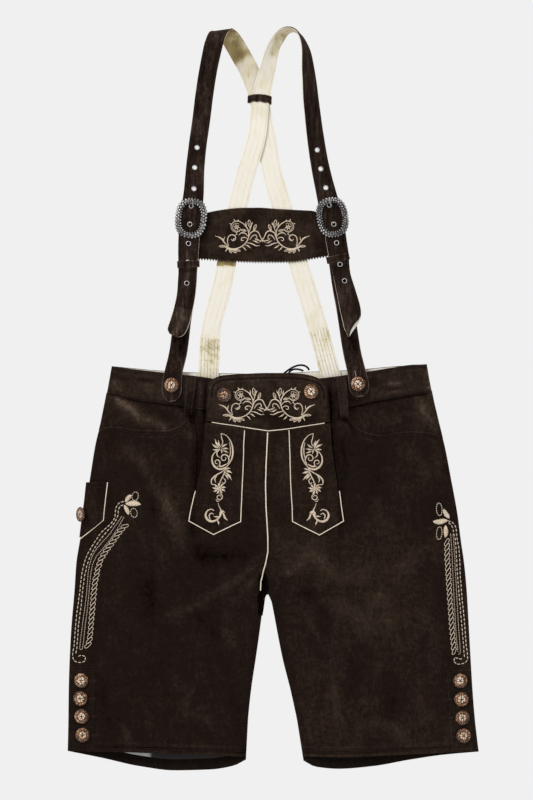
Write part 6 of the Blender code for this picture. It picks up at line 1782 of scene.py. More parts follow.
def seat(x, y, surface, radius, clear=0.35):
    spots = [(0.0, 0.0)] + [(r * math.cos(k * math.pi / 4), r * math.sin(k * math.pi / 4))
                            for r in (radius * 0.5, radius) for k in range(8)]
    a = np.array([[u, v, 1.0] for u, v in spots])
    z = np.array([float(surface(x + u, y + v)) for u, v in spots])
    (gx, gy, z0), *_ = np.linalg.lstsq(a, z, rcond=None)
    lift = max(zz - (gx * u + gy * v + z0) for (u, v), zz in zip(spots, z))
    n = np.array([-gx, -gy, 1.0])
    n /= np.linalg.norm(n)
    ax = np.array([1, 0, gx])
    ax /= np.linalg.norm(ax)
    ay = np.cross(n, ax)
    return np.array([x, y, z0 + lift + clear / n[2]]), ax, ay, n


BUTTON_THREADS = Stitches()
# One row for each button: turn of its carving, how dark its horn is, petals, and whether its thread is an upright cross.
LOOK = table(
    "turn dark petals upright",
    (8, 0.30, 8, 1), (20, -0.02, 6, 0), (0, 0.02, 8, 0), (33, 0.0, 7, 0), (14, 0.0, 8, 1), (5, 0.02, 8, 0), (12, 0.03, 7, 1),
    (26, 0.0, 8, 1), (40, 0.02, 8, 1), (2, 0.06, 8, 0), (17, 0.08, 7, 1), (9, 0.04, 8, 0), (28, 0.05, 8, 0),
)


def button(name, frame_of, look):
    """Antler button: a brown rim, a ring of carved notches, a pale star in the dish, and four holes with crossed thread."""
    centre, ax, ay, n = frame_of
    turn0, dark, petals, upright = (float(LOOK[c][look % len(LOOK["turn"])]) for c in ("turn", "dark", "petals", "upright"))
    turn0, grown = math.radians(turn0), 1.05
    radii = [8.6, 10.0, 10.28, BUTTON_R, 10.15, 9.85, 9.4, 9.0, 8.7, 8.4, 8.1, 7.8, 7.5, 7.2, 6.9, 6.6, 6.3, 6.0, 5.7, 5.4, 5.0,
             4.6, 4.2, 3.8, 3.4, 3.0, 2.6, 2.2, 1.8, 1.4, 1.0, 0.6]
    heights = [0.0, 0.8, 1.4, 2.0, 2.5, 2.9, 3.12, BUTTON_H, 3.18, 3.1, 3.0, 2.95, 2.93, 2.9, 2.86, 2.8, 2.66, 2.5, 2.34,
               2.24, 2.2, 2.2, 2.22, 2.24, 2.26, 2.28, 2.3, 2.3, 2.3, 2.3, 2.3, 2.3]
    hole_at = [(2.15 * math.cos(a), 2.15 * math.sin(a)) for a in
               (np.arange(4) * math.pi / 2 + (0.0 if upright else math.pi / 4))]

    def notches(r, t):
        ring = np.exp(-(((r - 7.7) / 1.15) ** 4))
        return ring * (0.5 + 0.5 * np.cos((t + turn0) * 18)) ** 2

    def star(r, t):
        reach = 2.6 + 2.9 * np.abs(np.cos((t + turn0) * petals / 2)) ** 1.3
        return smooth((reach - r) / 0.7) * smooth((r - 0.4) / 0.6)

    def holes(r, t):
        x, y = r * np.cos(t), r * np.sin(t)
        return sum(np.exp(-((np.hypot(x - hx, y - hy) / 0.75) ** 2)) for hx, hy in hole_at)

    def shape(r, t, i):
        if i < 5:
            return 0.0 * np.asarray(t)
        return -0.42 * notches(r, t) + 0.30 * star(r, t) - 1.0 * holes(r, t)

    def carve(r, t, i):
        if i < 6:
            return 0.14 - 0.2 * dark + 0 * np.asarray(t)
        # Painted light: the dish is lighter on one side and darker on the other, as the light falls.
        shade = 0.10 * np.cos(t - 2.3) * smooth((r - 2) / 6)
        fleck = 0.16 * ripple(r * np.cos(t) * 6, r * np.sin(t) * 6, 101 + look, 24)
        base = 0.44 + 0.08 * math.cos(r * 2.6) - 0.46 * notches(r, t)
        rim = smooth((r - 8.7) / 0.8)
        pale = star(r, t) * 0.52
        ditch = 0.34 * math.exp(-(((r - 5.9) / 0.55) ** 2))
        worn = 0.20 * np.cos(t + 0.9 + look) * smooth((r - 7.5) / 1.5)
        # The thread holes are painted dark as shade.
        return (base * (1 - rim) - 0.02 * rim) + pale - ditch + shade + fleck + worn - 1.3 * holes(r, t) - dark

    made = polar(name + "_carved", radii, heights, 72, horn, lambda p: centre + (ax * p[0] + ay * p[1]) * grown + n * p[2],
                 shape, carve, "horn", (name,))
    ends = [centre + (ax * hx + ay * hy) * grown + n * 2.45 for hx, hy in hole_at]
    BUTTON_THREADS.put(np.array([ends[0], ends[1]]), np.array([ends[2], ends[3]]), 0.62, np.array([n, n]))
    return made


LEG_BUTTONS = table(
    "left_x left_y right_x right_y",
    (-276.8, -409, 271.6, -409), (-278.2, -435, 273.4, -436), (-276.4, -461, 275.0, -463), (-275.0, -488, 276.6, -489),
)
tab_top = lambda x, y: band_z(x, y) + SEWN + STRAP_TAB + 0.5
buttons = [
    button("button_flap_left", seat(-70.0, 5.0, flap_z, BUTTON_R), 0),
    button("button_flap_right", seat(56.0, 10.0, flap_z, BUTTON_R), 1),
    button("button_strap_left", seat(-146.2, 19.5, tab_top, BUTTON_R), 2),
    button("button_strap_right", seat(123.6, 21.0, tab_top, BUTTON_R), 3),
]
for k in range(4):
    for i, word in enumerate(("left", "right")):
        x, y = LEG_BUTTONS[f"{word}_x"][k], LEG_BUTTONS[f"{word}_y"][k]
        buttons.append(button(f"button_leg_{word}_{k + 1}", seat(x, y, lambda u, v: front_z(u, v) + LAY - 0.2, BUTTON_R),
                              4 + 2 * k + i))
tilt = math.radians(57)
tilted_n = np.array([-math.sin(tilt), 0, math.cos(tilt)])
buttons.append(button("button_knife_pocket", (np.array([-274.2, -168.0, 10.9]) + tilted_n * 3.4,
                                              np.array([math.cos(tilt), 0, math.sin(tilt)]), np.array([0, 1.0, 0]), tilted_n), 12))
BUTTON_THREADS.mesh("button_thread", thread_dark, "lace", arch=0.5)

# ---------------------------------------------------------------- buckles
BUCKLE = dict(half_w=23.2, half_h=29.6, open_w=14.0, open_h=20.5, base=7.75, tall=3.9)


def oval(half_w, half_h, turn, power=2.5):
    c, s = np.cos(turn), np.sin(turn)
    return np.copysign(np.abs(c) ** (2 / power), c) * half_w, np.copysign(np.abs(s) ** (2 / power), s) * half_h


def buckle(word, x, y, angle, lobes, phase, bright):
    """A cast frame with close rows of beads, curls and petals, of the kind on folk-dress silver, and a plain bar."""
    ca, sa = math.cos(math.radians(angle)), math.sin(math.radians(angle))
    b, sides = BUCKLE, 560
    # Even steps round the frame.
    fine = np.linspace(0, 2 * math.pi, 4001)
    ox, oy = oval(b["half_w"], b["half_h"], fine)
    run = np.concatenate([[0], np.cumsum(np.hypot(np.diff(ox), np.diff(oy)))])
    share = np.arange(sides) / sides
    turn = np.interp(share * run[-1], run, fine)
    iu, iv = oval(b["open_w"], b["open_h"], turn)
    ou, ov = oval(b["half_w"], b["half_h"], turn)
    a = share * 2 * math.pi
    length = run[-1] * 0.84
    out = np.array([0.0, 0.0, 0.03, 0.07, 0.11, 0.15, 0.19, 0.24, 0.29, 0.34, 0.39, 0.44, 0.49, 0.54, 0.59, 0.64, 0.69,
                    0.74, 0.79, 0.84, 0.88, 0.92, 0.96, 0.99, 1.0, 1.0])
    up = np.array([0.0, 0.42, 0.60, 0.70, 0.76, 0.80, 0.83, 0.86, 0.88, 0.90, 0.90, 0.90, 0.89, 0.88, 0.86, 0.84, 0.80,
                   0.76, 0.70, 0.63, 0.56, 0.48, 0.38, 0.28, 0.18, 0.0])
    # Rows of beads: how many, where across, half length, half width, height, phase.
    beads = length / lobes
    rows = ((lobes - 2, 0.13, 0.30 * beads, 0.105, 0.85, 0.1), (lobes, 0.47, 0.30 * beads, 0.125, 0.90, 0.5),
            (lobes, 0.82, 0.36 * beads, 0.135, 1.0, 0.0))
    wander = ripple(a * 22, 0 * a, 55 + lobes, 30)
    points, carve = [], []
    for o, h in zip(out, up):
        high = np.zeros(sides)
        for n_, at_o, half_l, half_o, tall, shift_ in rows:
            count = a * n_ / (2 * math.pi) + shift_ + phase + 0.24 * wander
            near = ((count + 0.5) % 1.0 - 0.5) * length / n_
            each = 0.76 + 0.32 * np.sin(np.floor(count + 0.5) * 12.9898 + n_)
            bump = np.exp(-(((near / half_l) ** 2 + ((o - at_o) / half_o) ** 2) ** 1.4))
            high = np.maximum(high, tall * each * bump)
        curl_ = 0.14 * np.maximum(0, np.cos(a * lobes + 14 * (o - 0.5) + phase)) * smooth((o - 0.2) / 0.06) * smooth((0.74 - o) / 0.06)
        high = np.maximum(high, curl_)
        edge = 0.75 * np.cos(a * lobes + (phase + 0.24 * wander) * 2 * math.pi) * smooth((o - 0.70) / 0.25)
        inner = (0.45 - 1.0 * np.cos(a * (lobes - 2) + (0.1 + phase + 0.24 * wander) * 2 * math.pi)) * smooth((0.20 - o) / 0.18)
        lift = (0.95 * high - 0.30) * (0.0 if h == 0.0 else smooth(h / 0.45))
        width = o + ((edge - 0.35 * smooth((o - 0.7) / 0.3)) + inner) / 9.2
        u, v = iu + (ou - iu) * width, iv + (ov - iv) * width
        z = np.minimum(b["base"] + b["tall"] * np.full(sides, h) + lift * 0.8, b["base"] + b["tall"] + 0.5)
        points.append(np.stack([x + u * ca - v * sa, y + u * sa + v * ca, z], 1))
        low_edge = smooth((0.40 - h) / 0.4)
        fine_ = np.maximum(0, np.cos(a * lobes * 2.5 + 9 * o + 3 * wander)) * np.maximum(0, np.cos(o * 26 + 1.5 * wander))
        carve.append(0.19 + bright + 0.64 * high + 0.20 * fine_ - 0.14 * low_edge + 0.13 * ripple(a * 60, o * 30 + 0 * a, 51, 9))
    m = len(out)
    points, carve = np.stack(points, 1).reshape(-1, 3), np.stack(carve, 1).reshape(-1)
    k, i = np.arange(sides)[:, None], np.arange(m)[None, :]
    j, n = (k + 1) % sides, (i + 1) % m
    faces = np.stack([k * m + i, k * m + n, j * m + n, j * m + i], -1).reshape(-1, 4).tolist()
    # The bar dips under the strap between two small bosses.
    path = [(-18.6, 9.4), (-17.6, 7.0), (-15.6, 4.2), (-13.2, 3.05), (0, 3.0), (13.2, 3.05), (15.6, 4.2), (17.6, 7.0), (18.6, 9.4)]
    rod = smooth_path([(u, 0.0, z) for u, z in path], 4)
    extra, marks, base, around = [], [], len(points), 12
    step = np.gradient(rod, axis=0)
    step /= np.linalg.norm(step, axis=1)[:, None]
    for q, d in zip(rod, step):
        nu, nz = -d[2], d[0]
        for t in range(around):
            c, s = 1.3 * math.cos(2 * math.pi * t / around), 1.3 * math.sin(2 * math.pi * t / around)
            u, v, z = q[0] + nu * c, s, q[2] + nz * c
            extra.append((x + u * ca - v * sa, y + u * sa + v * ca, z))
            marks.append(0.4)
    for q in range(len(rod) - 1):
        for t in range(around):
            e = (t + 1) % around
            faces.append([base + q * around + t, base + (q + 1) * around + t, base + (q + 1) * around + e, base + q * around + e])
    faces += [[base + t for t in range(around)], [base + (len(rod) - 1) * around + t for t in range(around)][::-1]]
    made = make(f"buckle_cast_{word}", np.vstack([points, extra]), faces, silver, {"carve": np.concatenate([carve, marks])})
    settle(made, "antique_silver", f"buckle_{word}")

    # The prong rises through its hole to the frame, its tip curled over.
    spine = smooth_path([(0.6, 15.0, 8.3), (0.5, 18.0, 9.6), (0.3, 20.6, 12.0), (0.1, 24.0, 13.1), (0.0, 26.6, 12.9)], 6)
    spine = np.array([(x + u * ca - v * sa, y + u * sa + v * ca, z) for u, v, z in spine])
    prong = tube(f"prong_cast_{word}", spine, lambda t: 0.85 + 0.25 * t, 12, silver, {"carve": 0.62})
    settle(prong, "antique_silver", f"prong_{word}")
    return made, prong


def tube(name, spine, radius, sides, mat, values=None, square=0.0):
    """A closed round rod along a spine; radius is a function of the share along it."""
    p = np.asarray(spine, float)
    d = np.gradient(p, axis=0)
    d /= np.linalg.norm(d, axis=1)[:, None]
    side = np.cross(d, [0.0, 0.0, 1.0])
    bad = np.linalg.norm(side, axis=1) < 1e-6
    side[bad] = (1.0, 0.0, 0.0)
    side /= np.linalg.norm(side, axis=1)[:, None]
    rise = np.cross(side, d)
    t = np.linspace(0, 1, len(p))
    r = np.array([radius(k) for k in t])
    turn = np.arange(sides) * 2 * math.pi / sides
    points = p[:, None] + (side[:, None] * np.cos(turn)[None, :, None] + rise[:, None] * np.sin(turn)[None, :, None]) * r[:, None, None]
    k = np.arange(sides)
    j = (k + 1) % sides
    first = np.arange(len(p) - 1)[:, None] * sides
    quads = np.stack([first + k, first + sides + k, first + sides + j, first + j], -1).reshape(-1, 4).tolist()
    caps = [k.tolist(), ((len(p) - 1) * sides + k[::-1]).tolist()]
    marks = {key: np.full(points.shape[0] * sides, v) if np.isscalar(v) else v for key, v in (values or {}).items()}
    return make(name, points.reshape(-1, 3), quads + caps, mat, marks)


fittings = [*buckle("left", -118.2, 261.6, -6.0, 33, 0.4, 0.06), *buckle("right", 86.8, 263.0, 9.5, 36, 0.1, 0.0)]

# ---------------------------------------------------------------- eyelets, and their holes
EYELETS = {
    "left": ((-109.5, 364.5), (-113, 335.5), (-114, 304.5), (-117.8, 279.4), (-120, 253), (-122, 225), (-122.8, 197.6),
             (-124.5, 167.5)),
    "right": ((64.5, 361), (70, 333.5), (77.5, 306), (82.6, 280.6), (89, 253), (93, 226), (98.0, 194.8), (104.5, 171)),
}
RING = ((2.5, -2.3), (2.5, -0.2), (2.6, 0.25), (2.8, 0.62), (3.1, 0.75), (3.45, 0.60), (3.8, 0.25), (3.95, -0.15), (3.6, -0.4),
        (2.8, -1.0), (2.75, -2.3))


def spot_on(band, x, y, last=260.0):
    """Where a place lies on the front run: the point on its middle, along, across and normal."""
    rows = band.s < last
    i = int(np.argmin(np.hypot(band.mid[rows, 0] - x, band.mid[rows, 1] - y)))
    along = band.mid[i + 1] - band.mid[i - 1]
    along /= np.linalg.norm(along)
    n = band.up[i]
    centre = band.mid[i].copy()
    centre[:2] += np.array([x, y]) - band.mid[i, :2]
    across = np.cross(along, n)
    d = centre - band.mid[i]
    centre = band.mid[i] + along * (d @ along) + across * (d @ across)
    return centre, along, across, n


def eyelets():
    sides = 28
    turn = np.arange(sides) * 2 * math.pi / sides
    points, faces, marks = [], [], []
    for word, spots in EYELETS.items():
        band = STRAP[word]
        for x, y in spots:
            centre, along, across, n = spot_on(band, x, y)
            base = len(points)
            for r, h in RING:
                h *= 0.5 if h > 0 and abs(y - 197.6) < 0.1 else 1.0
                ring = centre + n * (UP + h) + (along * np.cos(turn)[:, None] + across * np.sin(turn)[:, None]) * r
                points += ring.tolist()
                marks += [0.0 if r < 2.7 else 0.84 if r < 3.5 and h > 0.2 else 0.14] * sides
            m = len(RING)
            for i in range(m):
                j = (i + 1) % m
                for k in range(sides):
                    q = (k + 1) % sides
                    faces.append([base + i * sides + k, base + j * sides + k, base + j * sides + q, base + i * sides + q])
    return settle(make("eyelets", points, faces, silver, {"carve": marks}), "antique_silver")


def cut_holes(piece, word, spots, radius=2.62):
    """Drills the eyelets' holes through a strap, and leaves no modifier behind."""
    band = STRAP[word]
    sides = 20
    turn = np.arange(sides) * 2 * math.pi / sides
    points, faces = [], []
    for x, y in spots:
        centre, along, across, n = spot_on(band, x, y)
        base = len(points)
        for h in (-4.0, 4.0):
            points += (centre + n * h + (along * np.cos(turn)[:, None] + across * np.sin(turn)[:, None]) * radius).tolist()
        for k in range(sides):
            q = (k + 1) % sides
            faces.append([base + k, base + q, base + sides + q, base + sides + k][::-1])
        faces += [[base + k for k in range(sides)], [base + sides + k for k in range(sides)][::-1]]
    cutter = make("cutter", points, faces, silver)
    cut = piece.modifiers.new("holes", "BOOLEAN")
    cut.operation, cut.object, cut.solver = "DIFFERENCE", cutter, "EXACT"
    bpy.context.view_layer.update()
    done = bpy.data.meshes.new_from_object(piece.evaluated_get(bpy.context.evaluated_depsgraph_get()))
    before = len(piece.data.vertices)
    piece.modifiers.clear()
    old = piece.data
    piece.data = done
    bpy.data.meshes.remove(old)
    mesh = cutter.data
    bpy.data.objects.remove(cutter, do_unlink=True)
    bpy.data.meshes.remove(mesh)
    print("holes", piece.name, before, len(done.vertices))


fittings.append(eyelets())
for word in ("left", "right"):
    open_ones = [spot for spot in EYELETS[word] if abs(spot[1] - 280) > 2]  # the prongs fill the others
    cut_holes(braces[word], word, open_ones)
    cut_holes(braces[f"{word}_lining"], word, open_ones)

# ---------------------------------------------------------------- the back lacing's two free ends
LACES = {
    "long": ((-19, 21, 4.3), (-10, 20, 4.3), (0, 22.5, 4.5), (9, 29, 5.6), (17.5, 37, 6.9), (24, 42, 6.9), (30, 45.5, 6.2),
             (37, 48, 4.6), (44, 48.3, 3.0), (50, 45.8, 2.6), (53.5, 41.2, 2.6)),
    "short": ((-17, 10, 4.3), (-8, 10.5, 4.3), (3, 14, 4.3), (13, 22.5, 4.3), (20, 32, 4.3), (25, 39.0, 4.3), (31, 42.4, 3.8),
              (38.5, 42.2, 3.2), (45, 40.2, 3.2)),
}


def lace(word):
    """A round braided lace: its surface carries the strands of the braid, which cross as they go."""
    spine = even(smooth_path(LACES[word], 10), 0.5)
    sides, p = 12, spine
    d = np.gradient(p, axis=0)
    d /= np.linalg.norm(d, axis=1)[:, None]
    side = np.cross(d, [0.0, 0.0, 1.0])
    side /= np.linalg.norm(side, axis=1)[:, None]
    rise = np.cross(side, d)
    s = np.arange(len(p)) * 0.5
    turn = np.arange(sides) * 2 * math.pi / sides
    strand = np.cos(turn[None, :] * 4 + s[:, None] * 2.1) + np.cos(turn[None, :] * 4 - s[:, None] * 2.1)
    r = 1.42 + 0.05 * strand
    r[0] *= 0.7
    r[-1] *= 0.7
    points = p[:, None] + (side[:, None] * np.cos(turn)[None, :, None] + rise[:, None] * np.sin(turn)[None, :, None]) * r[..., None]
    k = np.arange(sides)
    j = (k + 1) % sides
    first = np.arange(len(p) - 1)[:, None] * sides
    quads = np.stack([first + k, first + sides + k, first + sides + j, first + j], -1).reshape(-1, 4).tolist()
    caps = [k.tolist(), ((len(p) - 1) * sides + k[::-1]).tolist()]
    made = settle(make(f"lace_end_{word}", points.reshape(-1, 3), quads + caps, lace_braid), "lace", f"lace_{word}")
    return made


laces = [lace("long"), lace("short")]

# ---------------------------------------------------------------- embroidery
UNIT = 1.45  # one unit of the layout tables below, mm


def laid(*spots):
    """Places on the layout grid, as part.py's millimetres."""
    return np.array([((u - 272.5) * UNIT, (398.5 - v) * UNIT) for u, v in spots])


def wide(tip, most, foot, peak=0.45):
    """A width that swells from foot to most and runs out to tip, by share."""
    return lambda t: np.where(t < peak, foot + (most - foot) * smooth(t / peak), tip + (most - tip) * smooth((1 - t) / (1 - peak)))


class Embroidery(Stitches):
    """Satin and running stitches on one surface."""

    def __init__(self, height):
        super().__init__()
        self.height = height

    def lie(self, spots, lift=0.2):
        return np.stack([spots[:, 0], spots[:, 1], self.height(spots[:, 0], spots[:, 1]) + lift], 1)

    def satin(self, path, width, pitch=0.6, radius=0.36, slant=28.0, smooth_it=True, lift=0.18, per=8):
        """Threads side by side across a path; width is a number or a function of the share along it."""
        p = np.asarray(path, float)
        if smooth_it and len(p) > 2:
            p = smooth_path(p, per)
        p = even(p, pitch)
        t = np.linspace(0, 1, len(p))
        w = width(t) if callable(width) else np.full(len(p), float(width))
        w = np.maximum(w, 0.7) + RNG.normal(0, 0.07, len(p))
        d = np.gradient(p, axis=0)
        d /= np.maximum(np.linalg.norm(d, axis=1), 1e-9)[:, None]
        turn = np.radians(90 - slant) + RNG.normal(0, 0.05, len(p))
        c, s = np.cos(turn), np.sin(turn)
        across = np.stack([d[:, 0] * c - d[:, 1] * s, d[:, 0] * s + d[:, 1] * c], 1)
        a, b = p - across * w[:, None] / 2, p + across * w[:, None] / 2
        domed = 0.10 * np.minimum(w, 5)
        self.put(self.lie(a, lift), self.lie(b, lift), radius * (1 + RNG.normal(0, 0.05, len(p))))
        if w.max() > 2.2:
            inner = w > 1.8
            a, b = p[inner] - across[inner] * w[inner, None] * 0.30, p[inner] + across[inner] * w[inner, None] * 0.30
            up = np.zeros(int(inner.sum()))
            a3, b3 = self.lie(a, lift + 0.22), self.lie(b, lift + 0.22)
            self.put(a3, b3, radius)

    def run(self, path, pitch, long, radius=0.45, per=8, lift=0.2):
        p = smooth_path(path, per)
        self.put(*seam(p, pitch, long, self.height, jitter=0.08, lift=lift), radius)

    def loop(self, centre, wide_, tall, turn=0.0, pitch=2.3, long=1.7, radius=0.42):
        a = np.linspace(0, 2 * math.pi, 40)
        c, s = math.cos(math.radians(turn)), math.sin(math.radians(turn))
        x, y = np.cos(a) * wide_ / 2, np.sin(a) * tall / 2
        ring = np.stack([centre[0] + x * c - y * s, centre[1] + x * s + y * c], 1)
        self.put(*seam(ring, pitch, long, self.height, jitter=0.04, lift=0.2), radius)

    def petal(self, foot, tip, most, bend=0.0, **more):
        """A filled leaf or petal between two places."""
        a, b = np.asarray(foot, float), np.asarray(tip, float)
        d = b - a
        n = np.array([-d[1], d[0]])
        mid = (a + b) / 2 + n * bend
        self.satin([a, mid, b], wide(0.5, most, 0.8, 0.52), **more)


def curl(cx, cy, r0, r1, a0, a1, steps=14):
    """Part of a spiral, from radius r0 at angle a0 to r1 at a1, degrees."""
    a = np.radians(np.linspace(a0, a1, steps))
    r = r0 + (r1 - r0) * np.linspace(0, 1, steps) ** 0.9
    return np.stack([cx + r * np.cos(a), cy + r * np.sin(a)], 1)


def plump(most):
    """A width that is round through the middle and closes quickly at both ends."""
    return lambda t: np.maximum(0.8, most * np.sin(math.pi * np.clip(t, 0.0, 1.0)) ** 0.62)


def scroll_half(put, sign, stretch=1.0, lift=1.0):
    """Half of a mirrored scroll: a stem wound round a rosette, curls, buds, leaves and a tail. put(x, y) places it."""
    at_ = lambda *spots: np.array([put(sign * x * stretch, y * lift) for x, y in spots])
    many = lambda rows: at_(*[tuple(r) for r in rows])
    slant = 28.0 * sign
    e = []
    stem = lambda spots, tip, most, foot, peak=0.45: e.append(("satin", many(spots), wide(tip * 0.85, most * 0.62, foot * 0.75, peak)))
    # Broad leaves are worked as an outline round bare suede, and narrow ones are filled.
    leaf = lambda foot, tip, most: e.append(("outline" if most > 3.05 else "petal", at_(foot, tip), most if most > 3.05 else most * 0.78))
    # The stem runs in under the tail, climbs the inner side, and winds round the rosette.
    stem([(54, -17), (46, -20.5), (37, -19.6), (29, -15.4), (22.8, -8.2), (20.4, 0.8), (21.8, 9.6), (27, 17.2),
          *curl(38.4, 13.2, 9.8, 7.0, 118, -150, 18).tolist()], 1.0, 2.9, 2.0, 0.35)
    for k in range(6):
        a = math.radians(60 * k + 12)
        leaf((38.4 + 0.8 * math.cos(a), 13.2 + 0.8 * math.sin(a)), (38.4 + 4.6 * math.cos(a), 13.2 + 4.6 * math.sin(a)), 2.9)
    stem([*curl(38.4, 13.2, 6.4, 6.0, 200, 480, 16).tolist()], 0.8, 1.5, 0.8)
    # A second curl under it, tied to the ring by a short stalk.
    stem([(50.5, -16.2), (52.2, -9.4), *curl(44.4, -4.6, 7.2, 2.2, 10, 330, 18).tolist()], 1.2, 2.6, 1.4, 0.4)
    stem([(39.6, 5.4), (38.0, 2.6), (40.4, 0.8)], 1.4, 1.8, 1.4, 0.5)
    leaf((44.5, -8.5), (41.0, -3.6), 2.2)
    # Comma leaves lie in the stem's bend.
    stem([(21.4, -1.0), (25.6, 3.4), (31.6, 4.2), (35.4, 0.8)], 0.9, 3.3, 1.2, 0.55)
    stem([(21.4, -6.0), (26.0, -2.8), (31.2, -3.8), (31.2, -7.6), (28.4, -7.4)], 1.4, 2.5, 1.0, 0.45)
    leaf((24.2, 7.4), (31.6, 8.8), 3.2)
    # Upright buds with swollen heads.
    stem([(20.6, 5.0), (18.4, 10.0), (17.6, 15.0)], 1.6, 2.0, 1.4, 0.5)
    leaf((17.8, 12.2), (20.2, 24.4), 5.2)
    leaf((17.2, 15.0), (14.4, 20.6), 2.8)
    stem([(18.4, 4.6), (13.8, 7.6), (11.8, 10.6)], 1.2, 1.8, 1.2, 0.5)
    leaf((12.8, 8.4), (9.6, 17.2), 3.9)
    leaf((23.6, 12.8), (24.6, 21.2), 2.9)
    # The inner arm bows over to meet its other half in the middle.
    stem([(20.6, -2.6), (17.6, 4.0), (11.8, 7.4), (6.6, 5.6), (3.8, 0.2), (1.4, -5.2)], 1.6, 3.0, 1.4, 0.45)
    stem([(18.8, -6.4), (14.8, -0.6), (9.8, 0.8), (8.2, -3.6), (11.2, -5.2)], 1.2, 2.5, 1.4, 0.4)
    leaf((10.6, -6.4), (3.6, -7.8), 3.0)
    leaf((14.0, -8.0), (6.0, -11.6), 3.0)
    stem([(22.6, -11.0), (16.0, -12.6), (9.4, -15.8), (4.6, -15.4)], 1.0, 3.2, 1.4, 0.45)
    leaf((25.4, -14.4), (17.6, -19.4), 3.0)
    leaf((29.8, -17.6), (24.4, -23.2), 2.6)
    # Feathered leaves crowd the foot.
    stem([(57.0, -17.4), (49.0, -21.0), (38.0, -22.0)], 1.4, 3.8, 1.6, 0.5)
    for foot, tip, most in (((44, -20.5), (33.0, -24.2), 3.2), ((46.5, -21), (39.2, -26.8), 3.4), ((49.5, -21), (46.6, -27.0), 3.2),
                            ((52.5, -19.6), (55.4, -25.0), 3.0), ((54.5, -16.6), (64.6, -16.6), 3.2)):
        leaf(foot, tip, most)
    # The tail.
    stem([(51.5, -16.6), (56.6, -11.0), (61.6, -4.4), (70.4, -0.4)], 0.9, 4.2, 1.8, 0.6)
    leaf((58.4, -9.6), (56.4, -2.0), 2.2)
    # Leaflets on the ring's crown.
    for foot, tip, most in (((36.4, 22.4), (36.0, 24.8), 2.2), ((40.6, 22.4), (42.6, 25.4), 2.6), ((46.4, 18.2), (49.0, 18.8), 2.2)):
        leaf(foot, tip, most)
    return [(kind, spots, most, slant) for kind, spots, most in e]


def outline(into, foot, tip, most, slant):
    """A leaf or bud worked round its edge, with one short thread down its middle."""
    a, b = np.asarray(foot, float), np.asarray(tip, float)
    d = b - a
    n = np.array([-d[1], d[0]]) / np.linalg.norm(d)
    t = np.linspace(0, 1, 9)[1:-1]
    half = (most / 2 - 0.3) * np.sin(math.pi * t) ** 0.75
    spine = a + d * t[:, None]
    ring = [a, *(spine + n * half[:, None]), b, *(spine - n * half[:, None])[::-1], a]
    into.satin(ring, 1.05, pitch=0.5, radius=0.34, slant=slant)
    into.satin([a + d * 0.25, a + d * 0.62], 0.8, pitch=0.5, radius=0.3, slant=slant)


def sew_motif(into, parts):
    for kind, spots, most, slant in parts:
        if kind == "outline":
            outline(into, spots[0], spots[1], most, slant)
        elif kind == "petal":
            into.petal(spots[0], spots[1], most, bend=0.06, slant=slant)
        else:
            into.satin(spots, most, slant=slant)


def mirrored(name, height, middle, stretch, lift):
    into = Embroidery(height)
    for sign in (-1, 1):
        sew_motif(into, scroll_half(lambda x, y: (middle[0] + x, middle[1] + y), sign, stretch, lift))
    # A drop and two small leaves where the halves meet.
    into.petal((middle[0], middle[1] - 9.0), (middle[0], middle[1] - 3.6), 2.6)
    for sign in (-1, 1):
        into.petal((middle[0] + sign * 0.6, middle[1] - 6.4), (middle[0] + sign * 4.4, middle[1] - 9.6), 2.2)
    return into.mesh(name, thread_cream, "cream_piping", sides=4, arch=0.3)


cross_middle = laid((262.4, 235.4))[0]
flap_middle = laid((267.0, 404.2))[0]
embroidery = [
    mirrored("chest_embroidery", cross_z, cross_middle, 0.97, 0.93),
    mirrored("flap_embroidery", flap_z, flap_middle, 0.985, 0.95),
]


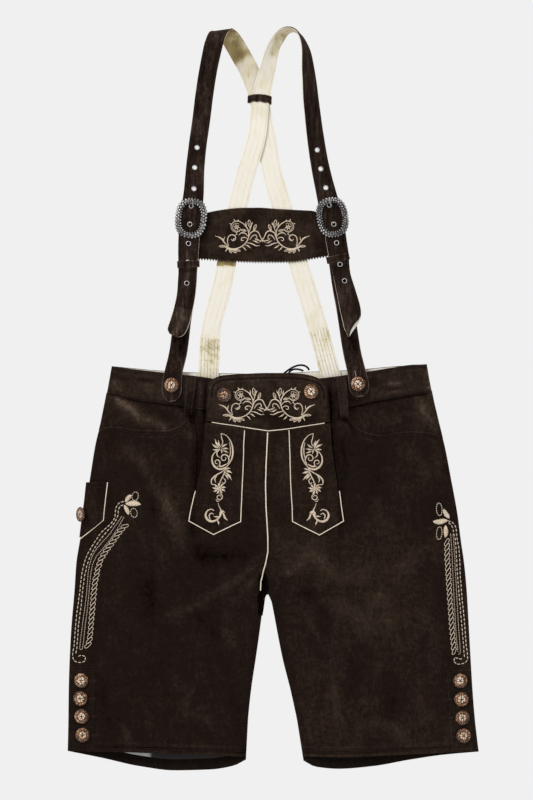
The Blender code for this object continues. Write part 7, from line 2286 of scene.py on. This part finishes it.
def shield_embroidery(word, sign, origin):
    """A tall curled leaf over a full blossom, and an open scroll in the shield's point."""
    lift = lambda x, y: on_flap(x, y) + SEWN + SHIELD_THICK
    into = Embroidery(lift)
    at_ = lambda *spots: np.array([(origin[0] - sign * x, origin[1] + y) for x, y in spots])
    slant = -28.0 * sign

    def stem(spots, *w, **more):
        into.satin(at_(*[tuple(q) for q in spots]), wide(w[0], w[1] * 0.80, w[2] * 0.85, *w[3:]), slant=slant, **more)

    leaf = lambda foot, tip, most, bend=0.06: into.petal(*at_(foot, tip), most * 0.84, bend=bend, slant=slant)
    # The leaf's back, doubled, and its front edge.
    stem([(-1.7, 65), (5.4, 62), (10.8, 56), (14.2, 48), (15.4, 39), (14.4, 30), (11.0, 22.4), (5.4, 15.4)], 1.4, 3.6, 1.1, 0.6)
    stem([(10.4, 51.5), (11.8, 44), (11.6, 35), (9.4, 27)], 1.0, 2.0, 0.9, 0.5)
    stem([(-1.7, 65), (-0.8, 58.4), (0.8, 52.4), (-0.6, 47)], 1.4, 1.9, 1.1, 0.5)
    # Its belly, full and thick below.
    stem([(-5.4, 40.4), (-10.8, 37), (-14.4, 30.6), (-14.0, 22.2), (-9.8, 15.8), (-2.6, 12.8), (5.4, 15.4)], 2.6, 4.2, 1.6, 0.72)
    stem([(-6.8, 17.6), (-0.6, 17.0), (6.2, 20.4)], 1.4, 3.2, 1.0, 0.5)
    # A large curl and a small one within.
    stem([(7.8, 20.6), (10.0, 26.0), *curl(3.0, 28.8, 6.6, 1.9, -10, 395, 24).tolist()], 1.2, 2.9, 1.8, 0.35)
    stem([(-1.4, 17.4), *curl(-7.6, 22.8, 5.0, 1.6, -48, 290, 18).tolist()], 1.0, 2.3, 1.4, 0.4)
    stem([(-3.6, 29.6), (-7.2, 32.6), (-7.4, 37.6), (-3.4, 42.0)], 1.6, 2.7, 1.0, 0.5)
    # Lobes of the leaf's outer tuft, and leaflets along its back.
    for foot, tip, most in (((-3.4, 43.6), (-10.4, 56.4), 4.4), ((-4.4, 43.0), (-14.4, 49.4), 4.2), ((-4.8, 41.2), (-13.6, 41.6), 3.6),
                            ((-2.6, 45.0), (-5.4, 54.6), 3.0), ((-1.0, 44.0), (6.8, 49.2), 3.4), ((-0.4, 42.0), (8.6, 42.6), 3.6),
                            ((0.6, 40.0), (8.8, 36.6), 3.2), ((-1.6, 42.2), (-0.6, 35.8), 3.0)):
        leaf(foot, tip, most)
    # Stalks, a side leaf of four lobes, and a hook.
    stem([(5.4, 15.4), (0.6, 9.8), (-6.2, 5.8), (-12.4, 1.4), (-15.8, -3.6), (-14.8, -8.8), (-11.2, -9.2)], 1.4, 3.2, 1.4, 0.6)
    stem([(5.4, 14.6), (2.0, 5.0), (-2.0, -3.0), (-4.2, -9.6)], 1.6, 2.4, 1.6, 0.5)
    stem([(-8.0, 3.2), (-10.8, -1.6), (-9.4, -6.0)], 1.0, 2.4, 1.2, 0.5)
    stem([(0.6, 1.0), (4.6, -3.0), (3.0, -7.6), (0.0, -6.4)], 1.4, 2.0, 1.0, 0.4)
    for foot, tip, most in (((4.6, 12.6), (11.6, 14.4), 3.4), ((4.4, 11.0), (14.0, 7.4), 4.6), ((4.0, 9.0), (13.4, -2.4), 4.6),
                            ((3.0, 6.4), (8.6, -1.6), 3.4)):
        leaf(foot, tip, most)
    # The blossom: two rings of petals about a knot.
    for k in range(9):
        a = math.radians(90 + 40 * k)
        leaf((-4.4 + 2.6 * math.cos(a), -15 + 2.4 * math.sin(a)), (-4.4 + 9.6 * math.cos(a), -15 + 8.2 * math.sin(a)), 4.2, 0.1)
    for k in range(6):
        a = math.radians(70 + 60 * k)
        leaf((-4.4 + 0.6 * math.cos(a), -15 + 0.6 * math.sin(a)), (-4.4 + 4.0 * math.cos(a), -15 + 3.8 * math.sin(a)), 2.6, 0.1)
    # A ring under it, and the thread-fine stalk down to the point.
    stem([(-3.4, -22.0), *curl(-4.2, -27.4, 5.0, 2.2, 80, -330, 20).tolist()], 1.2, 2.2, 1.4, 0.4)
    stem([(-9.0, -30.6), (-7.4, -33.4), (-4.6, -33.2)], 1.2, 1.6, 1.2, 0.5)
    stem([(-6.0, -36.0), (-4.6, -40.6), (-2.2, -45.4)], 1.8, 1.4, 0.9, 0.5)
    # The open scroll, its hooks, and leaves about its foot.
    stem([(-2.2, -45.0), (-1.2, -50.6), (-4.2, -56.6), (-9.4, -61.2), (-15.8, -62.6), (-21.6, -59.6), (-24.0, -53.2), (-21.2, -47.2),
          (-15.6, -45.0), (-12.4, -46.8)], 1.4, 4.8, 2.4, 0.55)
    stem([(-17.6, -59.4), (-18.8, -54.0), (-15.8, -50.8), (-12.6, -52.2)], 1.2, 2.6, 1.4, 0.4)
    for foot, tip, most in (((-3.8, -55.6), (-12.4, -55.4), 3.2), ((-2.0, -46.0), (-4.4, -57.0), 4.4), ((-6.8, -60.4), (-5.2, -67.6), 3.8),
                            ((-1.8, -46.4), (3.8, -50.0), 3.0)):
        leaf(foot, tip, most)
    stem([(-1.6, -47.4), (2.0, -52.0), (3.8, -57.4), (7.6, -60.8)], 1.2, 4.0, 1.6, 0.6)
    return into.mesh(f"shield_embroidery_{word}", thread_cream, "cream_piping", sides=4, arch=0.3)


embroidery.append(shield_embroidery("left", -1, laid((222.3, 478.0))[0]))
embroidery.append(shield_embroidery("right", 1, laid((312.0, 478.2))[0]))


def braid(into, path, pitch=7.0, half_long=5.9, half_wide=2.15, lean=31.0):
    """A chain of slanted links, each stitched over the one before."""
    p = even(smooth_path(path, 10), 0.2)
    count = int((len(p) - 1) * 0.2 / pitch)
    spots = np.linspace(half_long * 0.7, (len(p) - 1) * 0.2 - half_long * 0.7, count)
    d = np.gradient(p, axis=0)
    d /= np.linalg.norm(d, axis=1)[:, None]
    around = np.linspace(0, 2 * math.pi, 41)
    c, s = np.cos(around), np.sin(around)
    along = np.sign(c) * np.abs(c) ** 0.85 * half_long
    across = np.sign(s) * np.abs(s) ** 0.72 * half_wide
    for k, at_s in enumerate(spots):
        i = min(int(at_s / 0.2), len(p) - 1)
        down = d[i] if d[i][1] < 0 else -d[i]
        turn = math.radians(-lean)
        axis = -np.array([down[0] * math.cos(turn) - down[1] * math.sin(turn), down[0] * math.sin(turn) + down[1] * math.cos(turn)])
        side = np.array([-axis[1], axis[0]])
        grow = 1 + RNG.normal(0, 0.04)
        link = p[i] + axis * along[:, None] * grow + side * across[:, None] * grow
        into.put(*seam(link, 2.0, 2.2, into.height, jitter=0.05, lift=0.14 + 0.16 * (k % 2)), 0.44)


LEG_WORK = {
    "left": dict(
        rows=[
            ((124.5, 501.7), (119.5, 502.5), (116.2, 506.7), (115, 511.7), (115.3, 516.7), (110.3, 524.2), (102, 531.7), (94.5, 542.5),
             (87, 555), (82.8, 568.3), (80.7, 581.7), (79.5, 593.3), (77.3, 608.3), (75.3, 626.7), (74, 645), (72.4, 654.6), (73.7, 660.8),
             (79.5, 663), (85.3, 660.8), (85.3, 656.7), (81.2, 655.2), (77.6, 657)),
            ((124, 504.7), (120.3, 505.8), (118.3, 510), (117.8, 516.7), (112.8, 525), (105.3, 533.3), (97, 544.2), (90, 556.7),
             (85.8, 570), (83.7, 581.7), (82.3, 593.3), (80.7, 608.3), (78.3, 626.7), (77, 645), (75.6, 654.3)),
        ],
        dots=[
            ((122, 515.8), (119.5, 520), (115.3, 525.8), (108.7, 535), (101.2, 543.3), (93.7, 553.3), (89.5, 565), (87.6, 578.3),
             (86.6, 591.7), (84.6, 608.3), (82.1, 626.7), (79.9, 645), (79.4, 649)),
            ((124.2, 516.9), (120.9, 522.6), (117.2, 529), (110.7, 538.8), (104, 547.2), (96.6, 556.1), (92.3, 565.6), (90.2, 578.5),
             (89, 591.9), (87.4, 608.6), (85, 627), (82.9, 645.2), (81.6, 650), (79.4, 649)),
        ],
        braid=((126.6, 524.2), (120.3, 531), (113.7, 540.2), (106.4, 550.4), (100.6, 560.2), (97.2, 571.7), (94.9, 583.3), (93.6, 595),
               (92.4, 608.3), (91.1, 623.3), (89.7, 638.3), (87, 648)),
        filled=[((125.6, 503.4), (140.6, 504.6), 9.4), ((125.0, 501.6), (131.6, 495.2), 7.2), ((124.6, 505.0), (128.2, 514.6), 7.2)],
        loops=[((135.2, 496.2), 6.4, 9.2, -12), ((134.0, 512.8), 6.6, 9.6, 14)],
    ),
    "right": dict(
        rows=[
            ((447.5, 520.8), (451.7, 521.7), (455, 525), (456.7, 530), (456.9, 536), (459.2, 548.3), (460, 561.7), (460.5, 575), (461.4, 588.3),
             (462.6, 601.7), (464.2, 616.7), (465.4, 631.7), (466.4, 645), (467.9, 656.5), (467.3, 661.7), (463.3, 663.7), (459.2, 664.5),
             (454.9, 663.3), (453.5, 659.4), (455.5, 657.4), (459.2, 659.0), (462.9, 659.2)),
            ((448, 522.5), (450.8, 524.2), (453, 527.5), (453.9, 533.3), (455.8, 541.7), (456.5, 555), (457.3, 568.3), (458.2, 581.7),
             (459.3, 595), (460.5, 608.3), (461.8, 623.3), (463.1, 638.3), (464.2, 651.7), (464.6, 658)),
        ],
        dots=[
            ((450.8, 533.3), (451.5, 541.7), (452.2, 555), (452.7, 568.3), (453.4, 581.7), (454, 595), (454.7, 608.3), (455.6, 623.3),
             (456.6, 638.3), (458, 652.2)),
            ((453.2, 533.7), (454, 541.7), (454.8, 555), (455.4, 568.3), (456.2, 581.7), (456.9, 595), (457.6, 608.3), (458.5, 623.3),
             (459.5, 638.3), (460.4, 652.8), (458.2, 654.4)),
        ],
        braid=((447, 539.6), (447.3, 548.3), (447.5, 558.3), (448.3, 571.7), (449.1, 585), (449.9, 598.3), (450.9, 611.7), (451.9, 625),
               (452.9, 638.3), (454.6, 654)),
        filled=[((447.8, 520.8), (433.2, 521.4), 9.2), ((449.2, 518.6), (444.2, 509.2), 7.6), ((446.2, 525.6), (445.2, 537.4), 7.8)],
        loops=[((439.4, 509.4), 5.8, 13.4, 4), ((439.4, 533.2), 5.6, 13.4, -4)],
    ),
}


def leg_embroidery(word):
    into = Embroidery(lambda x, y: front_z(x, y))
    work = LEG_WORK[word]
    for row in work["rows"]:
        into.run(laid(*row), 6.2, 4.5, 0.62)
    for row in work["dots"]:
        into.run(laid(*row), 2.5, 1.6, 0.50, lift=0.12)
    braid(into, laid(*work["braid"]))
    for foot, tip, most in work["filled"]:
        a, b = laid(foot, tip)
        d = b - a
        n = np.array([-d[1], d[0]])
        into.satin([a, (a + b) / 2 + n * 0.04, b], plump(most), pitch=0.55, radius=0.36)
        # A vein of small stitches down each petal.
        into.run([a + d * 0.16, (a + b) / 2 + n * 0.04, b - d * 0.16], 1.7, 1.0, 0.34, lift=0.85)
    for centre, wide_, tall, turn in work["loops"]:
        into.loop(laid(centre)[0], wide_ * UNIT, tall * UNIT, turn, 3.3, 2.4, 0.56)
    return into.mesh(f"leg_embroidery_{word}", thread_cream, "cream_piping", sides=4, arch=0.3)


embroidery += [leg_embroidery("left"), leg_embroidery("right")]

# Buttonholes worked beside the leg buttons: a few short bars each.
bars = Stitches()
for k in range(4):
    for word, dx in (("left", 17.0), ("right", -16.5)):
        x0, y0 = LEG_BUTTONS[f"{word}_x"][k] + dx, LEG_BUTTONS[f"{word}_y"][k]
        n = 12
        x = x0 + np.linspace(-4.2, 4.2, n)
        top = lambda x, y: front_z(x, y) + LAY - 0.3 + 0.1
        for s in (-1, 1):
            a = np.stack([x, np.full(n, y0 + s * 0.35), top(x, np.full(n, y0))], 1)
            b = np.stack([x + 0.1, np.full(n, y0 + s * 1.5), top(x, np.full(n, y0 + s))], 1)
            bars.put(a, b, 0.26)
x = np.full(14, 120.6) + np.linspace(-0.4, 0.2, 14)
y = np.linspace(33.0, 41.0, 14)
strap_top = lambda x, y: tab_top(x, y)
for s in (-1, 1):
    band = lower_bands["right"]
    rows = np.array([int(np.argmin(np.abs(band.mid[:, 1] - q))) for q in y])
    z = band.mid[rows, 2] + STRAP_TAB / 2 + 0.1
    bars.put(np.stack([x + s * 0.3, y, z], 1), np.stack([x + s * 1.4, y + 0.1, z - 0.1], 1), 0.24)
bars.mesh("buttonhole_bars", thread_brown, "suede")

brown.mesh("topstitching", thread_brown, "suede")
dark_sewn.mesh("loop_stitching", thread_dark, "suede")
lining_sewn.mesh("lining_stitching", thread_lining, "cream_lining")
backed_sewn.mesh("backed_stitching", thread_backed, "cream_lining")

# ---------------------------------------------------------------- the cut of every piece of leather and lining
def cut(piece, width, length, held, on, area=None, pieces=()):
    """Flat sizes are in millimetres, and the area in square centimetres where the cut isn't a rectangle; neither is
    used.
    """
    list(on)
    list(pieces)


side = {w: i for i, w in enumerate(("left", "right"))}
legs = {p.name: p for p in bpy.data.objects if p.name.startswith("leg_embroidery")}
CUTS = {  # width and length left, then right, and the areas where shaped
    "back_leg": ((292, 550), (312, 551), 1400, 1430), "back_lining": ((271, 522), (289, 519), 1215, 1240),
    "front_leg": ((296, 516), (317, 516), 1265, 1300), "hip": ((141, 70), (150, 83), 76, 91),
    "shield": ((78, 161), (77, 160), 92, 94),
}
for word in ("left", "right"):
    i = side[word]
    size, area = (lambda name: CUTS[name][i]), (lambda name: CUTS[name][2 + i])
    cut(backs[f"leg_{word}"], *size("back_leg"), "laid", (), area("back_leg"))
    cut(backs[f"lining_{word}"], *size("back_lining"), "laid", [f"back_leg_{word}"], area("back_lining"))
    cut(backs[f"band_{word}"], (232, 237)[i], 38, "laid", ())
    cut(backs[f"facing_{word}"], (215, 220)[i], 35, "laid", [f"back_waistband_{word}"])
    cut(front[f"leg_{word}"], *size("front_leg"), "laid", [f"back_lining_{word}"], area("front_leg"),
        [p for name, p in legs.items() if name.endswith(word)] + ([front["piping_centre"]] if word == "left" else []))
    cut(front[f"hip_{word}"], *size("hip"), "laid", [f"front_leg_{word}"], area("hip"))
    cut(front[f"band_{word}"], (192, 199)[i], 44, "laid", [f"back_facing_{word}"])
    cut(front[f"shield_{word}"], *size("shield"), "laid", [f"front_leg_{word}"], area("shield"),
        [front[f"piping_shield_{word}"], embroidery[2 + i]])
    cut(front[f"placket_{word}"], (39, 38.5)[i], 116, "laid", [f"front_leg_{word}"])
    cut(front[f"loop_{word}"], 13.5, (60, 65)[i], "folded", [f"front_waistband_{word}"])
    # A strap and its lining are whole from the free end, over the shoulder, to the back.
    long = (1026, 1001)[i]
    cut(braces[word], (27.1, 26.3)[i], long, "laid", [f"lower_strap_{word}", "crosspiece"])
    cut(braces[f"{word}_lining"], (28.3, 27.5)[i], long, "laid", [f"strap_{word}"])
    cut(braces[f"lower_{word}"], (28.3, 28.3)[i], (263, 257)[i], "laid", [f"front_waistband_{word}"])
    cut(braces[f"keeper_{word}"], 10.4, (75.5, 79)[i], "folded", [f"strap_{word}"])
cut(braces["keeper_rear"], 11.6, 83, "folded", ["strap_left_rear", "strap_right_rear"])
cut(braces["crosspiece"], 205, 82, "hung", ["lower_strap_left", "lower_strap_right"], 152, [embroidery[0]])
cut(front["underlap"], 226, 150, "laid", ["back_lining_left", "back_lining_right"], 304)
cut(front["flap_band"], 180, 83, "laid", ["front_leg_left", "front_leg_right"], 130, [front["piping_flap"], embroidery[1]])
cut(front["knife_pocket"], 40, 81, "laid", ["front_leg_left"], 21, [front["piping_knife"]])
cut(front["gusset"], 19, 53, "laid", ["back_leg_left", "back_leg_right"], 6.2)
for word in ("left", "right"):
    print("strap", word, "long", round(float(STRAP[word].s[-1]), 1), "lower", round(float(lower_bands[word].s[-1]), 1))
